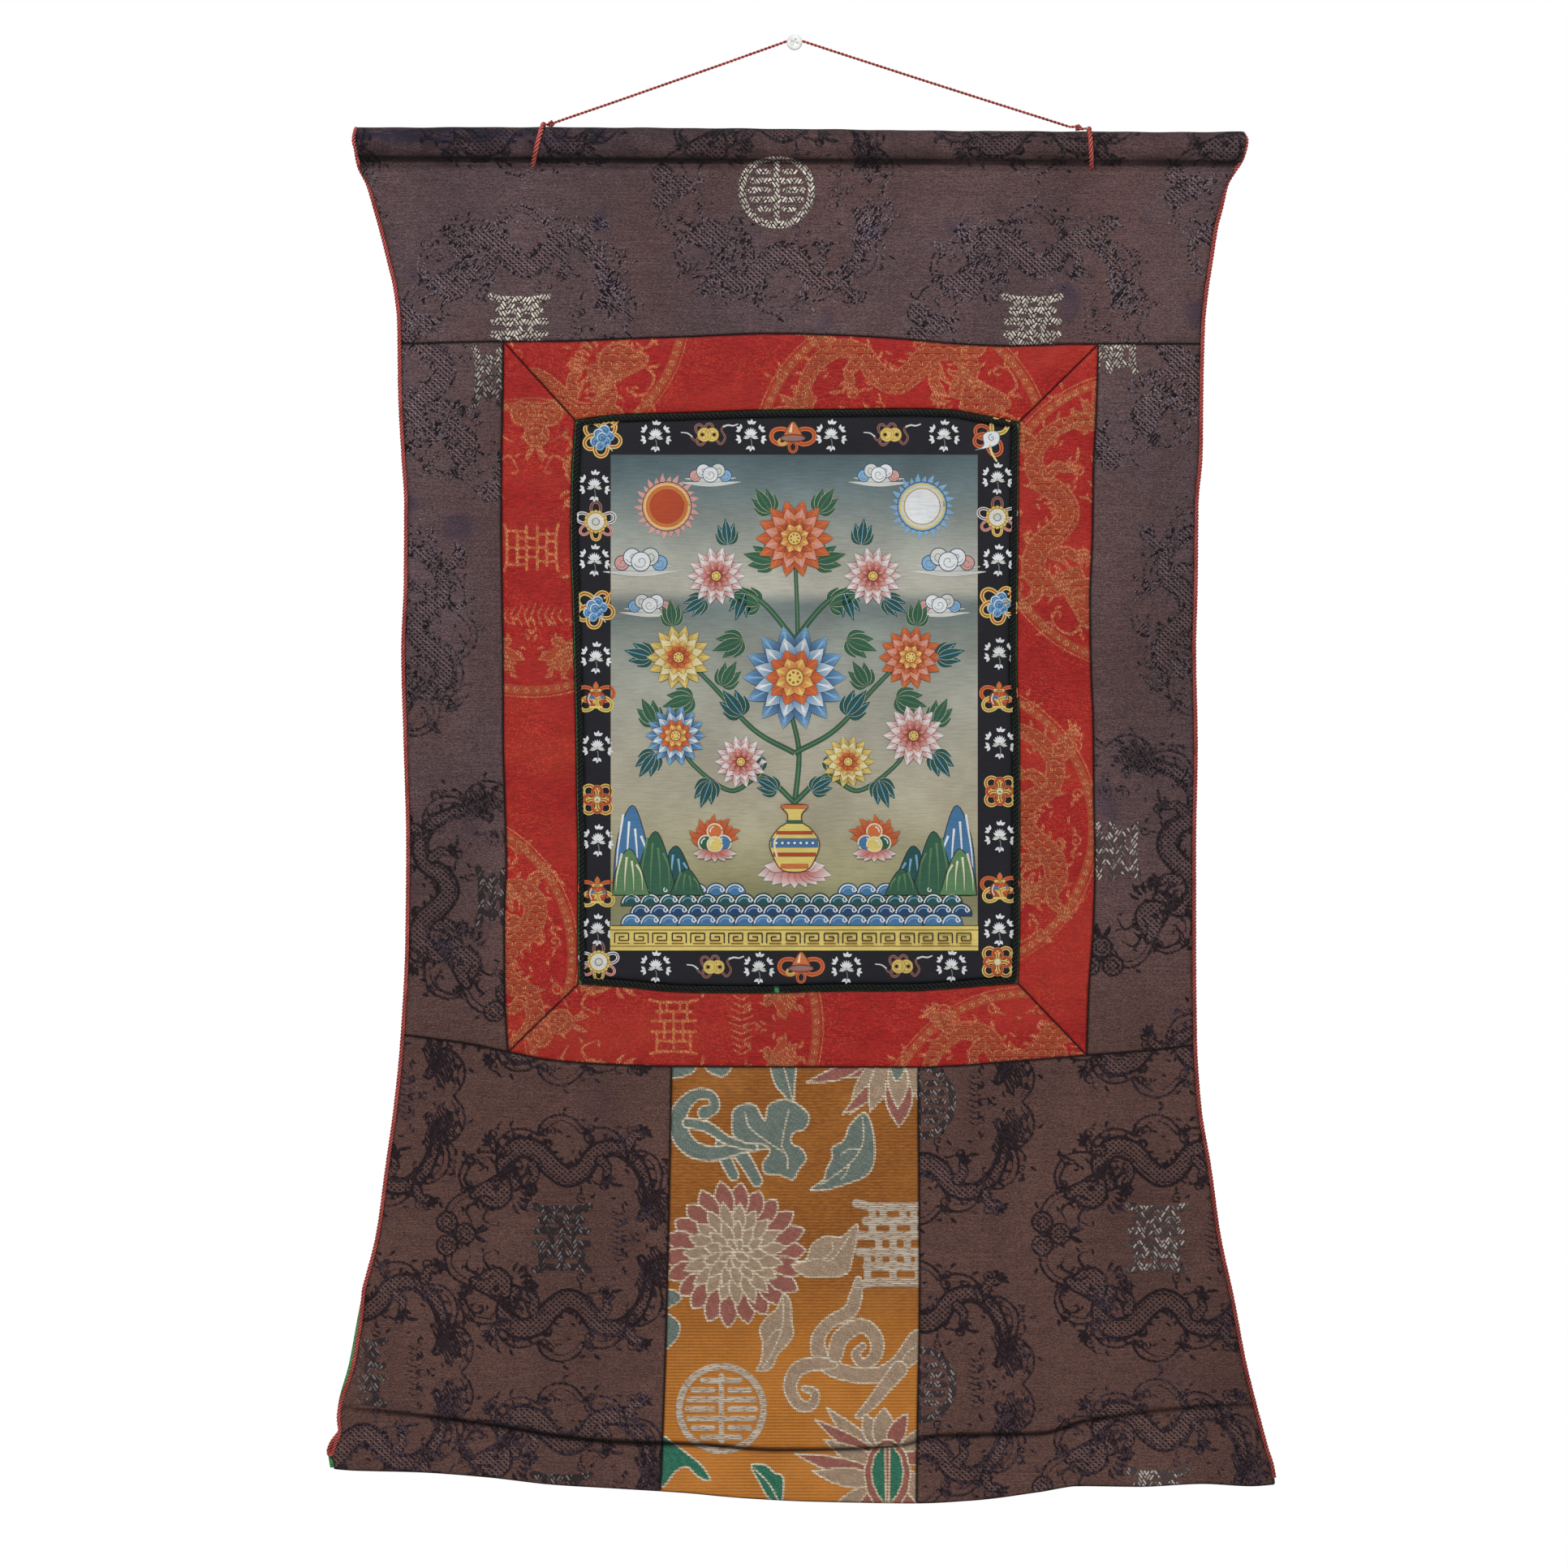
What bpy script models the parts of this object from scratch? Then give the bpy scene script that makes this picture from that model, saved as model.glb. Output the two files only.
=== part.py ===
"""A thangka scroll painting that hangs by its cord from a wall screw.

A painted canvas sits in a mitred red brocade border, inside dark brocade
panels with a gold panel let in below. The top is wrapped round a rod, twisted
cord runs along both edges, and a green lining hangs behind.

+Z is up, and +Y points at the wall. The origin is the middle of the screw's
wall end, so everything hangs at negative Y. Tables are in millimetres.
"""

import math

import bmesh
import bpy
import numpy as np
from mathutils import Vector

MM = 0.001

# Cloth and cord sizes.
CLOTH = 1.5
LINING = 1.0
ROD_RADIUS = 9.0
FIT_GAP = 0.3
SEAM_GAP = 0.3
PIPING_RADIUS = 2.1
PIPING_PROUD = 1.4
EDGING_RADIUS = 2.2
CORD_RADIUS = 1.0
TIE_RADIUS = 1.3

# The screw: a thin shank with a broad white head.
SHANK_RADIUS = 1.5
HEAD_RADIUS = 5.3
HEAD_BACK = -14.2
HEAD_DEPTH = 3.2
RECESS_LENGTH = 5.4
RECESS_WIDTH = 1.2
RECESS_DEPTH = 1.6

# The roll: the rod's middle lies this far from the wall and below the screw.
ROLL_Y = -15.5
ROLL_Z = -71.2
ROLL_SLOPE = -0.0055
ROD_LEFT = -298.5
ROD_RIGHT = 305.5
SLEEVE_RADIUS = ROD_RADIUS + FIT_GAP + CLOTH / 2
SLEEVE_OPEN_DEG = 25.0
SLEEVE_ARC_STEPS = 16

# The cloth leaves the roll in front of the rod's middle, its tail behind it.
SHEET_OFF = -1.5
TAIL_OFF = 1.6
SHEET_START = -14.0
TAIL_END = -22.0
LINING_START = -16.0
LINING_OFF = 1.55
LINING_SLACK = 0.6

# The lining and the front cloth stop short of the outline by this much.
LINING_INSET = 1.2
FRONT_INSET = 2 * PIPING_RADIUS + 0.8

# Thicker stretches of the rolled top.
SWELL = (("x", "extra"), (
    (-305.0, 0.0),
    (-150.0, 1.0),
    (0.0, 0.7),
    (120.0, 0.0),
    (280.0, 0.0),
    (308.0, 0.8),
))

# The outside of the piping on both sides, from the roll down to the hem.
EDGES = (("z", "left", "right"), (
    (-57.0, -303.0, 306.0),
    (-61.6, -304.4, 309.8),
    (-68.3, -305.2, 313.0),
    (-75.0, -303.9, 311.8),
    (-81.8, -303.3, 309.6),
    (-88.5, -300.9, 305.4),
    (-98.6, -295.7, 299.4),
    (-112.0, -291.8, 296.5),
    (-127.7, -287.3, 292.4),
    (-150.1, -281.7, 289.0),
    (-172.5, -276.6, 285.6),
    (-194.9, -274.4, 283.4),
    (-239.7, -273.8, 282.2),
    (-284.5, -271.6, 281.7),
    (-318.1, -269.6, 278.9),
    (-374.1, -269.9, 278.3),
    (-418.9, -271.6, 277.2),
    (-486.1, -269.9, 278.3),
    (-553.3, -268.2, 277.2),
    (-620.5, -268.8, 277.2),
    (-687.7, -272.2, 277.8),
    (-732.5, -276.6, 280.6),
    (-777.3, -282.8, 287.8),
    (-822.1, -289.0, 294.0),
    (-866.9, -300.2, 303.5),
    (-911.7, -308.6, 311.9),
    (-945.3, -316.0, 320.3),
    (-967.7, -321.4, 325.9),
    (-981.1, -321.4, 330.4),
    (-995.0, -320.0, 332.6),
))

# How far the piping's outer side keeps inside the outline.
PIPING_WANDER = (("z", "left", "right"), (
    (-860.0, 0.0, 0.0),
    (-885.0, 2.6, 0.0),
    (-915.0, 2.9, 0.0),
    (-940.0, 0.0, 0.0),
))

# Half width of the piping, which is doubled back at its lower left end.
PIPING_SWELL = (("z", "left", "right"), (
    (-945.0, 2.1, 2.1),
    (-956.0, 2.5, 2.1),
    (-966.0, 3.4, 2.15),
    (-974.0, 3.2, 2.25),
    (-990.0, 3.2, 2.4),
))
PIPING_END = {"left": -973.3, "right": -989.5}

BOTTOM = (("x", "z"), (
    (-321.4, -983.4),
    (-301.8, -985.0),
    (-257.0, -986.2),
    (-212.2, -989.5),
    (-167.4, -994.6),
    (-122.6, -997.4),
    (-77.8, -1000.2),
    (-33.0, -1004.1),
    (11.8, -1006.3),
    (79.0, -1007.4),
    (123.8, -1005.2),
    (168.6, -999.6),
    (196.6, -995.4),
    (235.8, -995.7),
    (280.6, -994.0),
    (314.2, -995.6),
    (331.0, -994.4),
))

# The hem's crease, which the bottom of the cloth turns forward from.
CREASE = (("x", "z"), (
    (-321.0, -940.0),
    (-268.2, -945.3),
    (-212.2, -952.0),
    (-156.2, -961.0),
    (-120.0, -964.2),
    (-66.6, -966.0),
    (-10.6, -969.9),
    (34.2, -969.4),
    (75.0, -966.6),
    (100.0, -960.2),
    (168.6, -958.8),
    (202.2, -949.8),
    (258.2, -942.5),
    (331.0, -938.0),
))

TOP_SEAM = (("x", "z"), (
    (-274.0, -208.3),
    (-209.4, -206.8),
    (-156.2, -206.4),
    (-122.6, -205.0),
    (-72.2, -203.3),
    (-16.2, -201.2),
    (34.2, -202.5),
    (67.8, -204.4),
    (112.6, -208.3),
    (146.2, -209.8),
    (191.0, -208.5),
    (281.0, -208.3),
))

LOWER_SEAM = (("x", "z"), (
    (-271.0, -684.9),
    (-223.4, -691.4),
    (-198.2, -696.6),
    (-167.4, -702.4),
    (-133.8, -705.0),
    (-83.4, -706.7),
    (84.6, -707.3),
    (112.6, -706.2),
    (146.2, -703.6),
    (202.2, -699.0),
    (247.0, -695.5),
    (277.0, -692.0),
))

# The upright edges of the red border, outside and round the painting.
BORDER = (("z", "outer_left", "inner_left", "inner_right", "outer_right"), (
    (-207.0, -200.8, -149.0, 154.0, 209.8),
    (-262.1, -201.6, -151.2, 154.6, 207.8),
    (-295.7, -202.2, -153.4, 154.2, 206.1),
    (-340.5, -202.2, -154.3, 154.0, 205.5),
    (-385.3, -201.6, -152.9, 153.4, 203.8),
    (-430.1, -201.0, -151.8, 153.1, 204.4),
    (-474.9, -201.0, -150.6, 155.0, 206.1),
    (-519.7, -199.9, -150.1, 155.1, 206.4),
    (-564.5, -198.8, -149.2, 155.1, 207.2),
    (-609.3, -200.2, -149.4, 155.1, 206.1),
    (-654.1, -199.9, -148.7, 153.6, 202.9),
    (-700.0, -197.4, -148.4, 152.0, 201.4),
))

OPENING = (("x", "top", "bottom"), (
    (-151.0, -261.2, -649.4),
    (-122.6, -257.4, -651.3),
    (-72.2, -255.9, -655.4),
    (-21.8, -254.2, -655.8),
    (28.6, -253.7, -654.5),
    (79.0, -253.2, -654.4),
    (104.2, -253.8, -653.0),
    (129.4, -257.8, -650.9),
    (155.0, -262.6, -649.0),
))

DOOR = (("z", "left", "right"), (
    (-700.0, -84.6, 85.1),
    (-866.9, -87.9, 86.2),
    (-956.5, -90.7, 84.6),
    (-1010.0, -92.9, 83.9),
))

# Soft folds: middle, direction, half length, half width and height.
FOLDS = (("x", "z", "turn", "reach", "width", "height"), (
    (-252.0, -770.0, 82.0, 70.0, 9.0, 1.6),
    (-228.0, -745.0, 68.0, 45.0, 10.0, 1.0),
    (232.0, -322.0, -38.0, 30.0, 7.0, 1.1),
    (245.0, -352.0, -30.0, 26.0, 7.0, 0.9),
    (178.0, -222.0, 48.0, 24.0, 6.0, 1.2),
    (-284.0, -92.0, -35.0, 26.0, 6.0, 1.6),
    (-282.0, -890.0, 70.0, 60.0, 12.0, 2.0),
    (262.0, -860.0, 112.0, 70.0, 12.0, 1.5),
    (180.0, -352.0, 8.0, 24.0, 6.0, 0.8),
    (-176.0, -520.0, 86.0, 60.0, 10.0, 0.7),
    (-60.0, -800.0, 80.0, 60.0, 14.0, 1.0),
    (40.0, -130.0, 4.0, 120.0, 12.0, 0.9),
))

# The large form: how far the cloth stands forward of its plumb line.
HEM_KICK = 7.5
HEM_KICK_REACH = 38.0
BULGE = 3.4
BULGE_REACH = 75.0
CORNER_CURL = 4.5
CORNER_REACH = 42.0
BELLY = 2.4
PUFF = 0.8
PUFF_REACH = 5.0

# The hanging cord's route, from the left knot over the screw to the right one.
CORD_ROUTE = (
    (-165.3, -15.5, -55.2),
    (-150.0, -15.2, -49.9),
    (-125.0, -14.8, -41.3),
    (-100.0, -14.4, -32.5),
    (-75.0, -13.9, -23.7),
    (-50.0, -13.4, -14.9),
    (-30.0, -13.0, -7.7),
    (-15.0, -12.7, -2.35),
    (-7.0, -12.6, 0.55),
    (-3.2, -12.5, 1.92),
    (-1.4, -12.5, 2.56),
    (0.0, -12.5, 2.8),
    (1.4, -12.5, 2.57),
    (3.2, -12.5, 1.97),
    (7.0, -12.6, 0.75),
    (15.0, -12.7, -1.85),
    (30.0, -12.9, -6.8),
    (55.0, -13.3, -14.95),
    (85.0, -13.8, -24.7),
    (115.0, -14.3, -34.35),
    (145.0, -14.8, -43.95),
    (170.0, -15.2, -51.9),
    (190.3, -15.5, -58.4),
)
CORD_STEP = 6.0

# Each loop's place on top of the roll and where its front leg tucks in.
TIES = (("name", "top_x", "foot_x"), (
    ("tie_left", -173.2, -180.6),
    ("tie_right", 203.2, 204.8),
))
TIE_ARC_STEPS = 18
TIE_TUCK = ((-5.6, -13.2), (-3.4, -14.8))
TIE_FOOT = -14.9

# Knots: where each starts and ends, and its half thickness along the way.
KNOT_LEFT = {"start": (-171.2, -57.1), "end": (-165.7, -55.4)}
KNOT_RIGHT = {"start": (201.4, -59.4), "end": (190.7, -58.5)}
KNOT_LUMP = ((0.0, 0.9), (0.12, 1.6), (0.35, 2.15), (0.6, 2.0), (0.85, 1.5), (1.0, 0.9))
KNOT_WITH_TAIL = ((0.0, 0.9), (0.3, 1.0), (0.45, 1.5), (0.62, 2.1), (0.85, 1.9), (1.0, 0.9))
KNOT_SIDES = 10


# ---------------------------------------------------------------- curves

def along(table, key, value):
    """One column of a table as a smooth function of another."""
    names, rows = table
    rows = sorted(rows, key=lambda row: row[names.index(key)])
    at = np.array([row[names.index(key)] for row in rows])
    of = np.array([row[names.index(value)] for row in rows])
    secants = np.diff(of) / np.diff(at)
    before = secants[:-1]
    after = secants[1:]
    level = before * after <= 0.0
    middles = np.where(level, 0.0, 2 * before * after / np.where(level, 1.0, before + after))
    slopes = np.concatenate((secants[:1], middles, secants[-1:]))

    def curve(t):
        inside = np.clip(t, at[0], at[-1])
        i = np.clip(np.searchsorted(at, inside) - 1, 0, len(at) - 2)
        step = at[i + 1] - at[i]
        s = (inside - at[i]) / step
        blend = s * s * (3 - 2 * s)
        height = of[i] * (1 - blend) + of[i + 1] * blend
        lean = s * (1 - s) * step * (slopes[i] * (1 - s) - slopes[i + 1] * s)
        return height + lean + (t - inside) * np.where(t > inside, slopes[-1], slopes[0])

    return curve


def moved(curve, by):
    """The same curve, moved sideways."""
    return lambda t: curve(t) + by


def ramp(t, low, high):
    """0 below low, 1 above high, and smooth between."""
    s = np.clip((t - low) / (high - low), 0.0, 1.0)
    return s * s * (3 - 2 * s)


def smooth_route(points, step):
    """Points along a smooth curve through a route's own points."""
    route = np.array(points, dtype=float)
    ends = np.vstack((2 * route[0] - route[1], route, 2 * route[-1] - route[-2]))
    out = []
    for i in range(1, len(ends) - 2):
        a, b, c, d = ends[i - 1:i + 3]
        pieces = max(1, round(float(np.linalg.norm(c - b)) / step))
        for k in range(pieces):
            s = k / pieces
            out.append(0.5 * (2 * b + (c - a) * s + (2 * a - 5 * b + 4 * c - d) * s ** 2
                              + (3 * b - a - 3 * c + d) * s ** 3))
    out.append(route[-1])
    return out


edge_left = along(EDGES, "z", "left")
edge_right = along(EDGES, "z", "right")
wander_left = along(PIPING_WANDER, "z", "left")
bottom_line = along(BOTTOM, "x", "z")
crease_line = along(CREASE, "x", "z")
top_seam = along(TOP_SEAM, "x", "z")
lower_seam = along(LOWER_SEAM, "x", "z")
roll_swell = along(SWELL, "x", "extra")


def piping_half(z, side):
    """Half the piping's width at a height."""
    rows_top = PIPING_SWELL[1][0][0]
    half = along(PIPING_SWELL, "z", side)(np.minimum(z, rows_top))
    return np.maximum(half, PIPING_RADIUS)


def front_left(z):
    """The front cloth's left edge, inside the piping."""
    wander = wander_left(np.clip(z, -940.0, -860.0))
    swell = 2 * (piping_half(z, "left") - PIPING_RADIUS) * ramp(z, -990.0, -976.0)
    return edge_left(z) + FRONT_INSET + wander + swell


def front_right(z):
    """The front cloth's right edge, inside the piping."""
    return edge_right(z) - FRONT_INSET - 2 * (piping_half(z, "right") - PIPING_RADIUS)


def roll_z(x):
    """Height of the rod's middle."""
    return ROLL_Z + ROLL_SLOPE * x


# ---------------------------------------------------------------- relief

def fold_height(x, z):
    """The soft folds, all raised."""
    names, rows = FOLDS
    total = 0.0 * x
    for row in rows:
        fold = dict(zip(names, row))
        turn = math.radians(fold["turn"])
        dx = x - fold["x"]
        dz = z - fold["z"]
        length = (dx * math.cos(turn) + dz * math.sin(turn)) / fold["reach"]
        across = (dz * math.cos(turn) - dx * math.sin(turn)) / fold["width"]
        total = total + fold["height"] * np.exp(-length ** 2 - across ** 2)
    return total


def large_form(x, z):
    """The cloth's main shape: belly, bulge over the crease, hem and corners."""
    below = crease_line(x) - z
    sides = 1.0 - 0.55 * ramp(np.abs(x), 230.0, 320.0)
    kick = HEM_KICK * np.clip(below / HEM_KICK_REACH, 0.0, 2.0) ** 1.2
    above = np.clip(-below / BULGE_REACH, 0.0, 1.0)
    bulge = BULGE * np.sin(math.pi * above ** 0.55)
    belly = BELLY * ramp(-z, 90.0, 330.0) * (1.0 - ramp(-z, 620.0, 900.0)) * np.cos(x / 190.0)
    left_curl = CORNER_CURL * np.exp(-((x + 330.0) / CORNER_REACH) ** 2) * ramp(-z, 850.0, 985.0)
    right_curl = 0.7 * CORNER_CURL * np.exp(-((x - 335.0) / CORNER_REACH) ** 2) * ramp(-z, 850.0, 990.0)
    hang = ramp(-z, 85.0, 130.0)
    return hang * ((kick + bulge) * sides + belly + left_curl + right_curl)


def sheet_y(x, z):
    """Middle of the front cloth."""
    return ROLL_Y + SHEET_OFF - large_form(x, z)


# ---------------------------------------------------------------- meshes

def material(name, colour, roughness, metallic=0.0):
    """A plain finish."""
    made = bpy.data.materials.new(name)
    made.use_nodes = True
    shader = made.node_tree.nodes["Principled BSDF"]
    shader.inputs["Base Color"].default_value = (*colour, 1.0)
    shader.inputs["Roughness"].default_value = roughness
    shader.inputs["Metallic"].default_value = metallic
    return made


def add_object(name, data, finish):
    """An object for some data, linked to the scene, with its finish."""
    data.materials.append(finish)
    made = bpy.data.objects.new(name, data)
    bpy.context.scene.collection.objects.link(made)
    return made


def mesh_object(name, points, faces, finish):
    """A closed mesh from points in millimetres, with its faces outwards."""
    mesh = bpy.data.meshes.new(name)
    mesh.from_pydata([tuple(float(v) * MM for v in point) for point in points], [], faces)
    shell = bmesh.new()
    shell.from_mesh(mesh)
    bmesh.ops.recalc_face_normals(shell, faces=shell.faces)
    shell.to_mesh(mesh)
    shell.free()
    return add_object(name, mesh, finish)


def sheet_object(name, front, back, finish):
    """A sheet between two grids of points, closed along its rim."""
    rows, columns = front.shape[:2]
    points = np.concatenate((front.reshape(-1, 3), back.reshape(-1, 3)))
    behind = rows * columns
    at = np.arange(behind).reshape(rows, columns)
    faces = []
    for i in range(rows - 1):
        for j in range(columns - 1):
            quad = (at[i, j], at[i, j + 1], at[i + 1, j + 1], at[i + 1, j])
            faces.append(tuple(int(k) for k in quad))
            faces.append(tuple(int(k) + behind for k in reversed(quad)))
    rim = [*at[0, :], *at[1:, -1], *at[-1, -2::-1], *at[-2:0:-1, 0]]
    for a, b in zip(rim, rim[1:] + rim[:1]):
        faces.append((int(b), int(a), int(a) + behind, int(b) + behind))
    return mesh_object(name, points, faces, finish)


def tube_object(name, route, radius, finish, sides_step, closed=False, widths=None):
    """A cord along a route: a curve with a round bevel and filled ends."""
    curve = bpy.data.curves.new(name, "CURVE")
    curve.dimensions = "3D"
    curve.bevel_depth = radius * MM
    curve.bevel_resolution = sides_step
    curve.use_fill_caps = not closed
    spline = curve.splines.new("POLY")
    spline.points.add(len(route) - 1)
    spline.use_cyclic_u = closed
    for i, point in enumerate(route):
        spline.points[i].co = (*(float(v) * MM for v in point), 1.0)
        if widths is not None:
            spline.points[i].radius = float(widths[i]) / radius
    return add_object(name, curve, finish)


# ---------------------------------------------------------------- cloth

def patch(left, right, levels, columns, rows):
    """A grid of x and z between two upright edges and a stack of level lines."""
    across = np.linspace(0.0, 1.0, columns + 1)[None, :]
    bands = []
    for i, count in enumerate(rows):
        last = i == len(rows) - 1
        bands.extend((i, k / count) for k in range(count + (1 if last else 0)))
    low = np.array([band for band, _ in bands])
    share = np.array([part for _, part in bands])[:, None]
    x = np.zeros((len(bands), columns + 1))
    z = np.zeros_like(x)
    for _ in range(12):
        heights = np.stack([level(x) for level in levels])
        pick = np.arange(len(bands))
        z = heights[low, pick] * (1 - share) + heights[low + 1, pick] * share
        x = left(z) + (right(z) - left(z)) * across
    return x, z


def rim_distance(x, z):
    """Distance from each grid point to the grid's nearest edge."""
    to_left = x - x[:, :1]
    to_right = x[:, -1:] - x
    to_top = z[:1, :] - z
    to_bottom = z - z[-1:, :]
    return np.minimum(np.minimum(to_left, to_right), np.minimum(to_top, to_bottom))


def flat_panel(name, x, z, finish):
    """A panel of front cloth, puffed a little between its seams."""
    puff = PUFF * (1.0 - np.exp(-rim_distance(x, z) / PUFF_REACH))
    y = sheet_y(x, z) - fold_height(x, z) - puff
    front = np.stack((x, y - CLOTH / 2, z), axis=-1)
    back = np.stack((x, y + CLOTH / 2, z), axis=-1)
    return sheet_object(name, front, back, finish)


def sleeve_path():
    """The cloth's section round the rod, from its tail to where it hangs."""
    points = [(TAIL_OFF, TAIL_END), (TAIL_OFF, -18.0), (TAIL_OFF, SHEET_START), (2.1, -12.2)]
    for i in range(SLEEVE_ARC_STEPS + 1):
        turn = math.radians(SLEEVE_OPEN_DEG + (360.0 - 2 * SLEEVE_OPEN_DEG) * i / SLEEVE_ARC_STEPS)
        points.append((SLEEVE_RADIUS * math.sin(turn), -SLEEVE_RADIUS * math.cos(turn)))
    points += [(-2.1, -12.2), (SHEET_OFF, SHEET_START)]
    return np.array(points)


def top_panel(finish):
    """The dark panel over the painting, with its sleeve round the rod."""
    columns = 18
    body_rows = 10
    across = np.linspace(0.0, 1.0, columns + 1)
    path = sleeve_path()
    run = np.gradient(path, axis=0)
    run /= np.linalg.norm(run, axis=1)[:, None]
    front = []
    back = []
    for (dy, dz), (ry, rz) in zip(path, run):
        left = front_left(roll_z(ROD_LEFT) + dz)
        right = front_right(roll_z(ROD_RIGHT) + dz)
        x = left + (right - left) * across
        swell = 1.0 + roll_swell(x) / SLEEVE_RADIUS * ramp(dz, -13.0, -8.0)
        y = ROLL_Y + dy * swell
        z = roll_z(x) + dz * swell
        out_y = -rz * CLOTH / 2
        out_z = ry * CLOTH / 2
        front.append(np.stack((x, y - out_y, z - out_z), axis=-1))
        back.append(np.stack((x, y + out_y, z + out_z), axis=-1))

    def start(x):
        return roll_z(x) + SHEET_START

    x, z = patch(front_left, front_right, [start, moved(top_seam, SEAM_GAP)], columns, [body_rows])
    y = sheet_y(x, z) - fold_height(x, z) * ramp(-z, 84.0, 100.0)
    front.extend(np.stack((x, y - CLOTH / 2, z), axis=-1)[1:])
    back.extend(np.stack((x, y + CLOTH / 2, z), axis=-1)[1:])
    return sheet_object("top_panel", np.array(front), np.array(back), finish)


def border_curve(column):
    """One upright edge of the red border."""
    return along(BORDER, "z", column)


def mitre(outer, inner):
    """The line through a mitre's two ends, as x of z and as z of x."""
    slope = (inner[0] - outer[0]) / (inner[1] - outer[1])
    return (lambda z: outer[0] + (z - outer[1]) * slope,
            lambda x: outer[1] + (x - outer[0]) / slope)


def opening_corner(side, line):
    """A corner of the opening round the painting."""
    upright = border_curve(f"inner_{side}")
    level = along(OPENING, "x", line)
    x = float(upright(-450.0))
    for _ in range(12):
        z = float(level(x))
        x = float(upright(z))
    return x, z


def border_corner(side, seam):
    """A corner of the red border's outside."""
    upright = border_curve(f"outer_{side}")
    x = float(upright(-450.0))
    for _ in range(12):
        z = float(seam(x))
        x = float(upright(z))
    return x, z


def red_border(finish):
    """Four mitred strips round the painting."""
    seams = {"top": top_seam, "bottom": lower_seam}
    mitres = {}
    for side in ("left", "right"):
        for line, seam in seams.items():
            mitres[side, line] = mitre(border_corner(side, seam), opening_corner(side, line))
    gap = SEAM_GAP
    lean = 1.4 * gap
    opening = {line: along(OPENING, "x", line) for line in seams}
    x, z = patch(moved(mitres["left", "top"][0], lean), moved(mitres["right", "top"][0], -lean),
                 [moved(top_seam, -gap), opening["top"]], 18, [3])
    flat_panel("red_border_top", x, z, finish)
    x, z = patch(moved(mitres["left", "bottom"][0], lean), moved(mitres["right", "bottom"][0], -lean),
                 [opening["bottom"], moved(lower_seam, gap)], 18, [3])
    flat_panel("red_border_bottom", x, z, finish)
    x, z = patch(moved(border_curve("outer_left"), gap), border_curve("inner_left"),
                 [moved(mitres["left", "top"][1], -lean), moved(mitres["left", "bottom"][1], lean)], 3, [20])
    flat_panel("red_border_left", x, z, finish)
    x, z = patch(border_curve("inner_right"), moved(border_curve("outer_right"), -gap),
                 [moved(mitres["right", "top"][1], -lean), moved(mitres["right", "bottom"][1], lean)], 3, [20])
    flat_panel("red_border_right", x, z, finish)


def painting(finish):
    """The painted canvas, inside the black edging cord."""
    inset = 2 * (EDGING_RADIUS + FIT_GAP)
    x, z = patch(moved(border_curve("inner_left"), inset), moved(border_curve("inner_right"), -inset),
                 [moved(along(OPENING, "x", "top"), -inset), moved(along(OPENING, "x", "bottom"), inset)],
                 12, [16])
    flat_panel("painting", x, z, finish)


def edging_cord(finish):
    """The black cord in the channel between the painting and the red border."""
    inset = EDGING_RADIUS + FIT_GAP
    x, z = patch(moved(border_curve("inner_left"), inset), moved(border_curve("inner_right"), -inset),
                 [moved(along(OPENING, "x", "top"), -inset), moved(along(OPENING, "x", "bottom"), inset)],
                 14, [18])
    rim_x = [*x[0, :-1], *x[:-1, -1], *x[-1, :0:-1], *x[:0:-1, 0]]
    rim_z = [*z[0, :-1], *z[:-1, -1], *z[-1, :0:-1], *z[:0:-1, 0]]
    route = [(a, float(sheet_y(a, b)) - 0.9, b) for a, b in zip(rim_x, rim_z)]
    tube_object("edging_cord", route, EDGING_RADIUS, finish, 1, closed=True)


def dark_panels(finish):
    """The four dark panels beside and below the painting."""
    gap = SEAM_GAP
    top = moved(top_seam, -gap)
    low = moved(lower_seam, gap)
    x, z = patch(front_left, moved(border_curve("outer_left"), -gap), [top, low], 5, [20])
    flat_panel("left_side_panel", x, z, finish)
    x, z = patch(moved(border_curve("outer_right"), gap), front_right, [top, low], 5, [20])
    flat_panel("right_side_panel", x, z, finish)
    levels = [moved(lower_seam, -gap), crease_line, bottom_line]
    x, z = patch(front_left, moved(along(DOOR, "z", "left"), -gap), levels, 12, [10, 3])
    flat_panel("lower_left_panel", x, z, finish)
    x, z = patch(moved(along(DOOR, "z", "right"), gap), front_right, levels, 12, [10, 3])
    flat_panel("lower_right_panel", x, z, finish)


def door_panel(finish):
    """The gold panel let in below the painting."""
    gap = SEAM_GAP
    levels = [moved(lower_seam, -gap), crease_line, bottom_line]
    x, z = patch(moved(along(DOOR, "z", "left"), gap), moved(along(DOOR, "z", "right"), -gap),
                 levels, 8, [10, 3])
    flat_panel("door_panel", x, z, finish)


def lining(finish):
    """The cloth behind, from under the roll to the hem."""
    def start(x):
        return roll_z(x) + LINING_START

    x, z = patch(moved(edge_left, LINING_INSET), moved(edge_right, -LINING_INSET),
                 [start, crease_line, moved(bottom_line, 0.8)], 16, [22, 3])
    slack = LINING_OFF + LINING_SLACK * ramp(-z, 98.0, 125.0)
    y = sheet_y(x, z) + slack
    front = np.stack((x, y - LINING / 2, z), axis=-1)
    back = np.stack((x, y + LINING / 2, z), axis=-1)
    sheet_object("lining", front, back, finish)


# ---------------------------------------------------------------- rod, cords and screw

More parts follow.
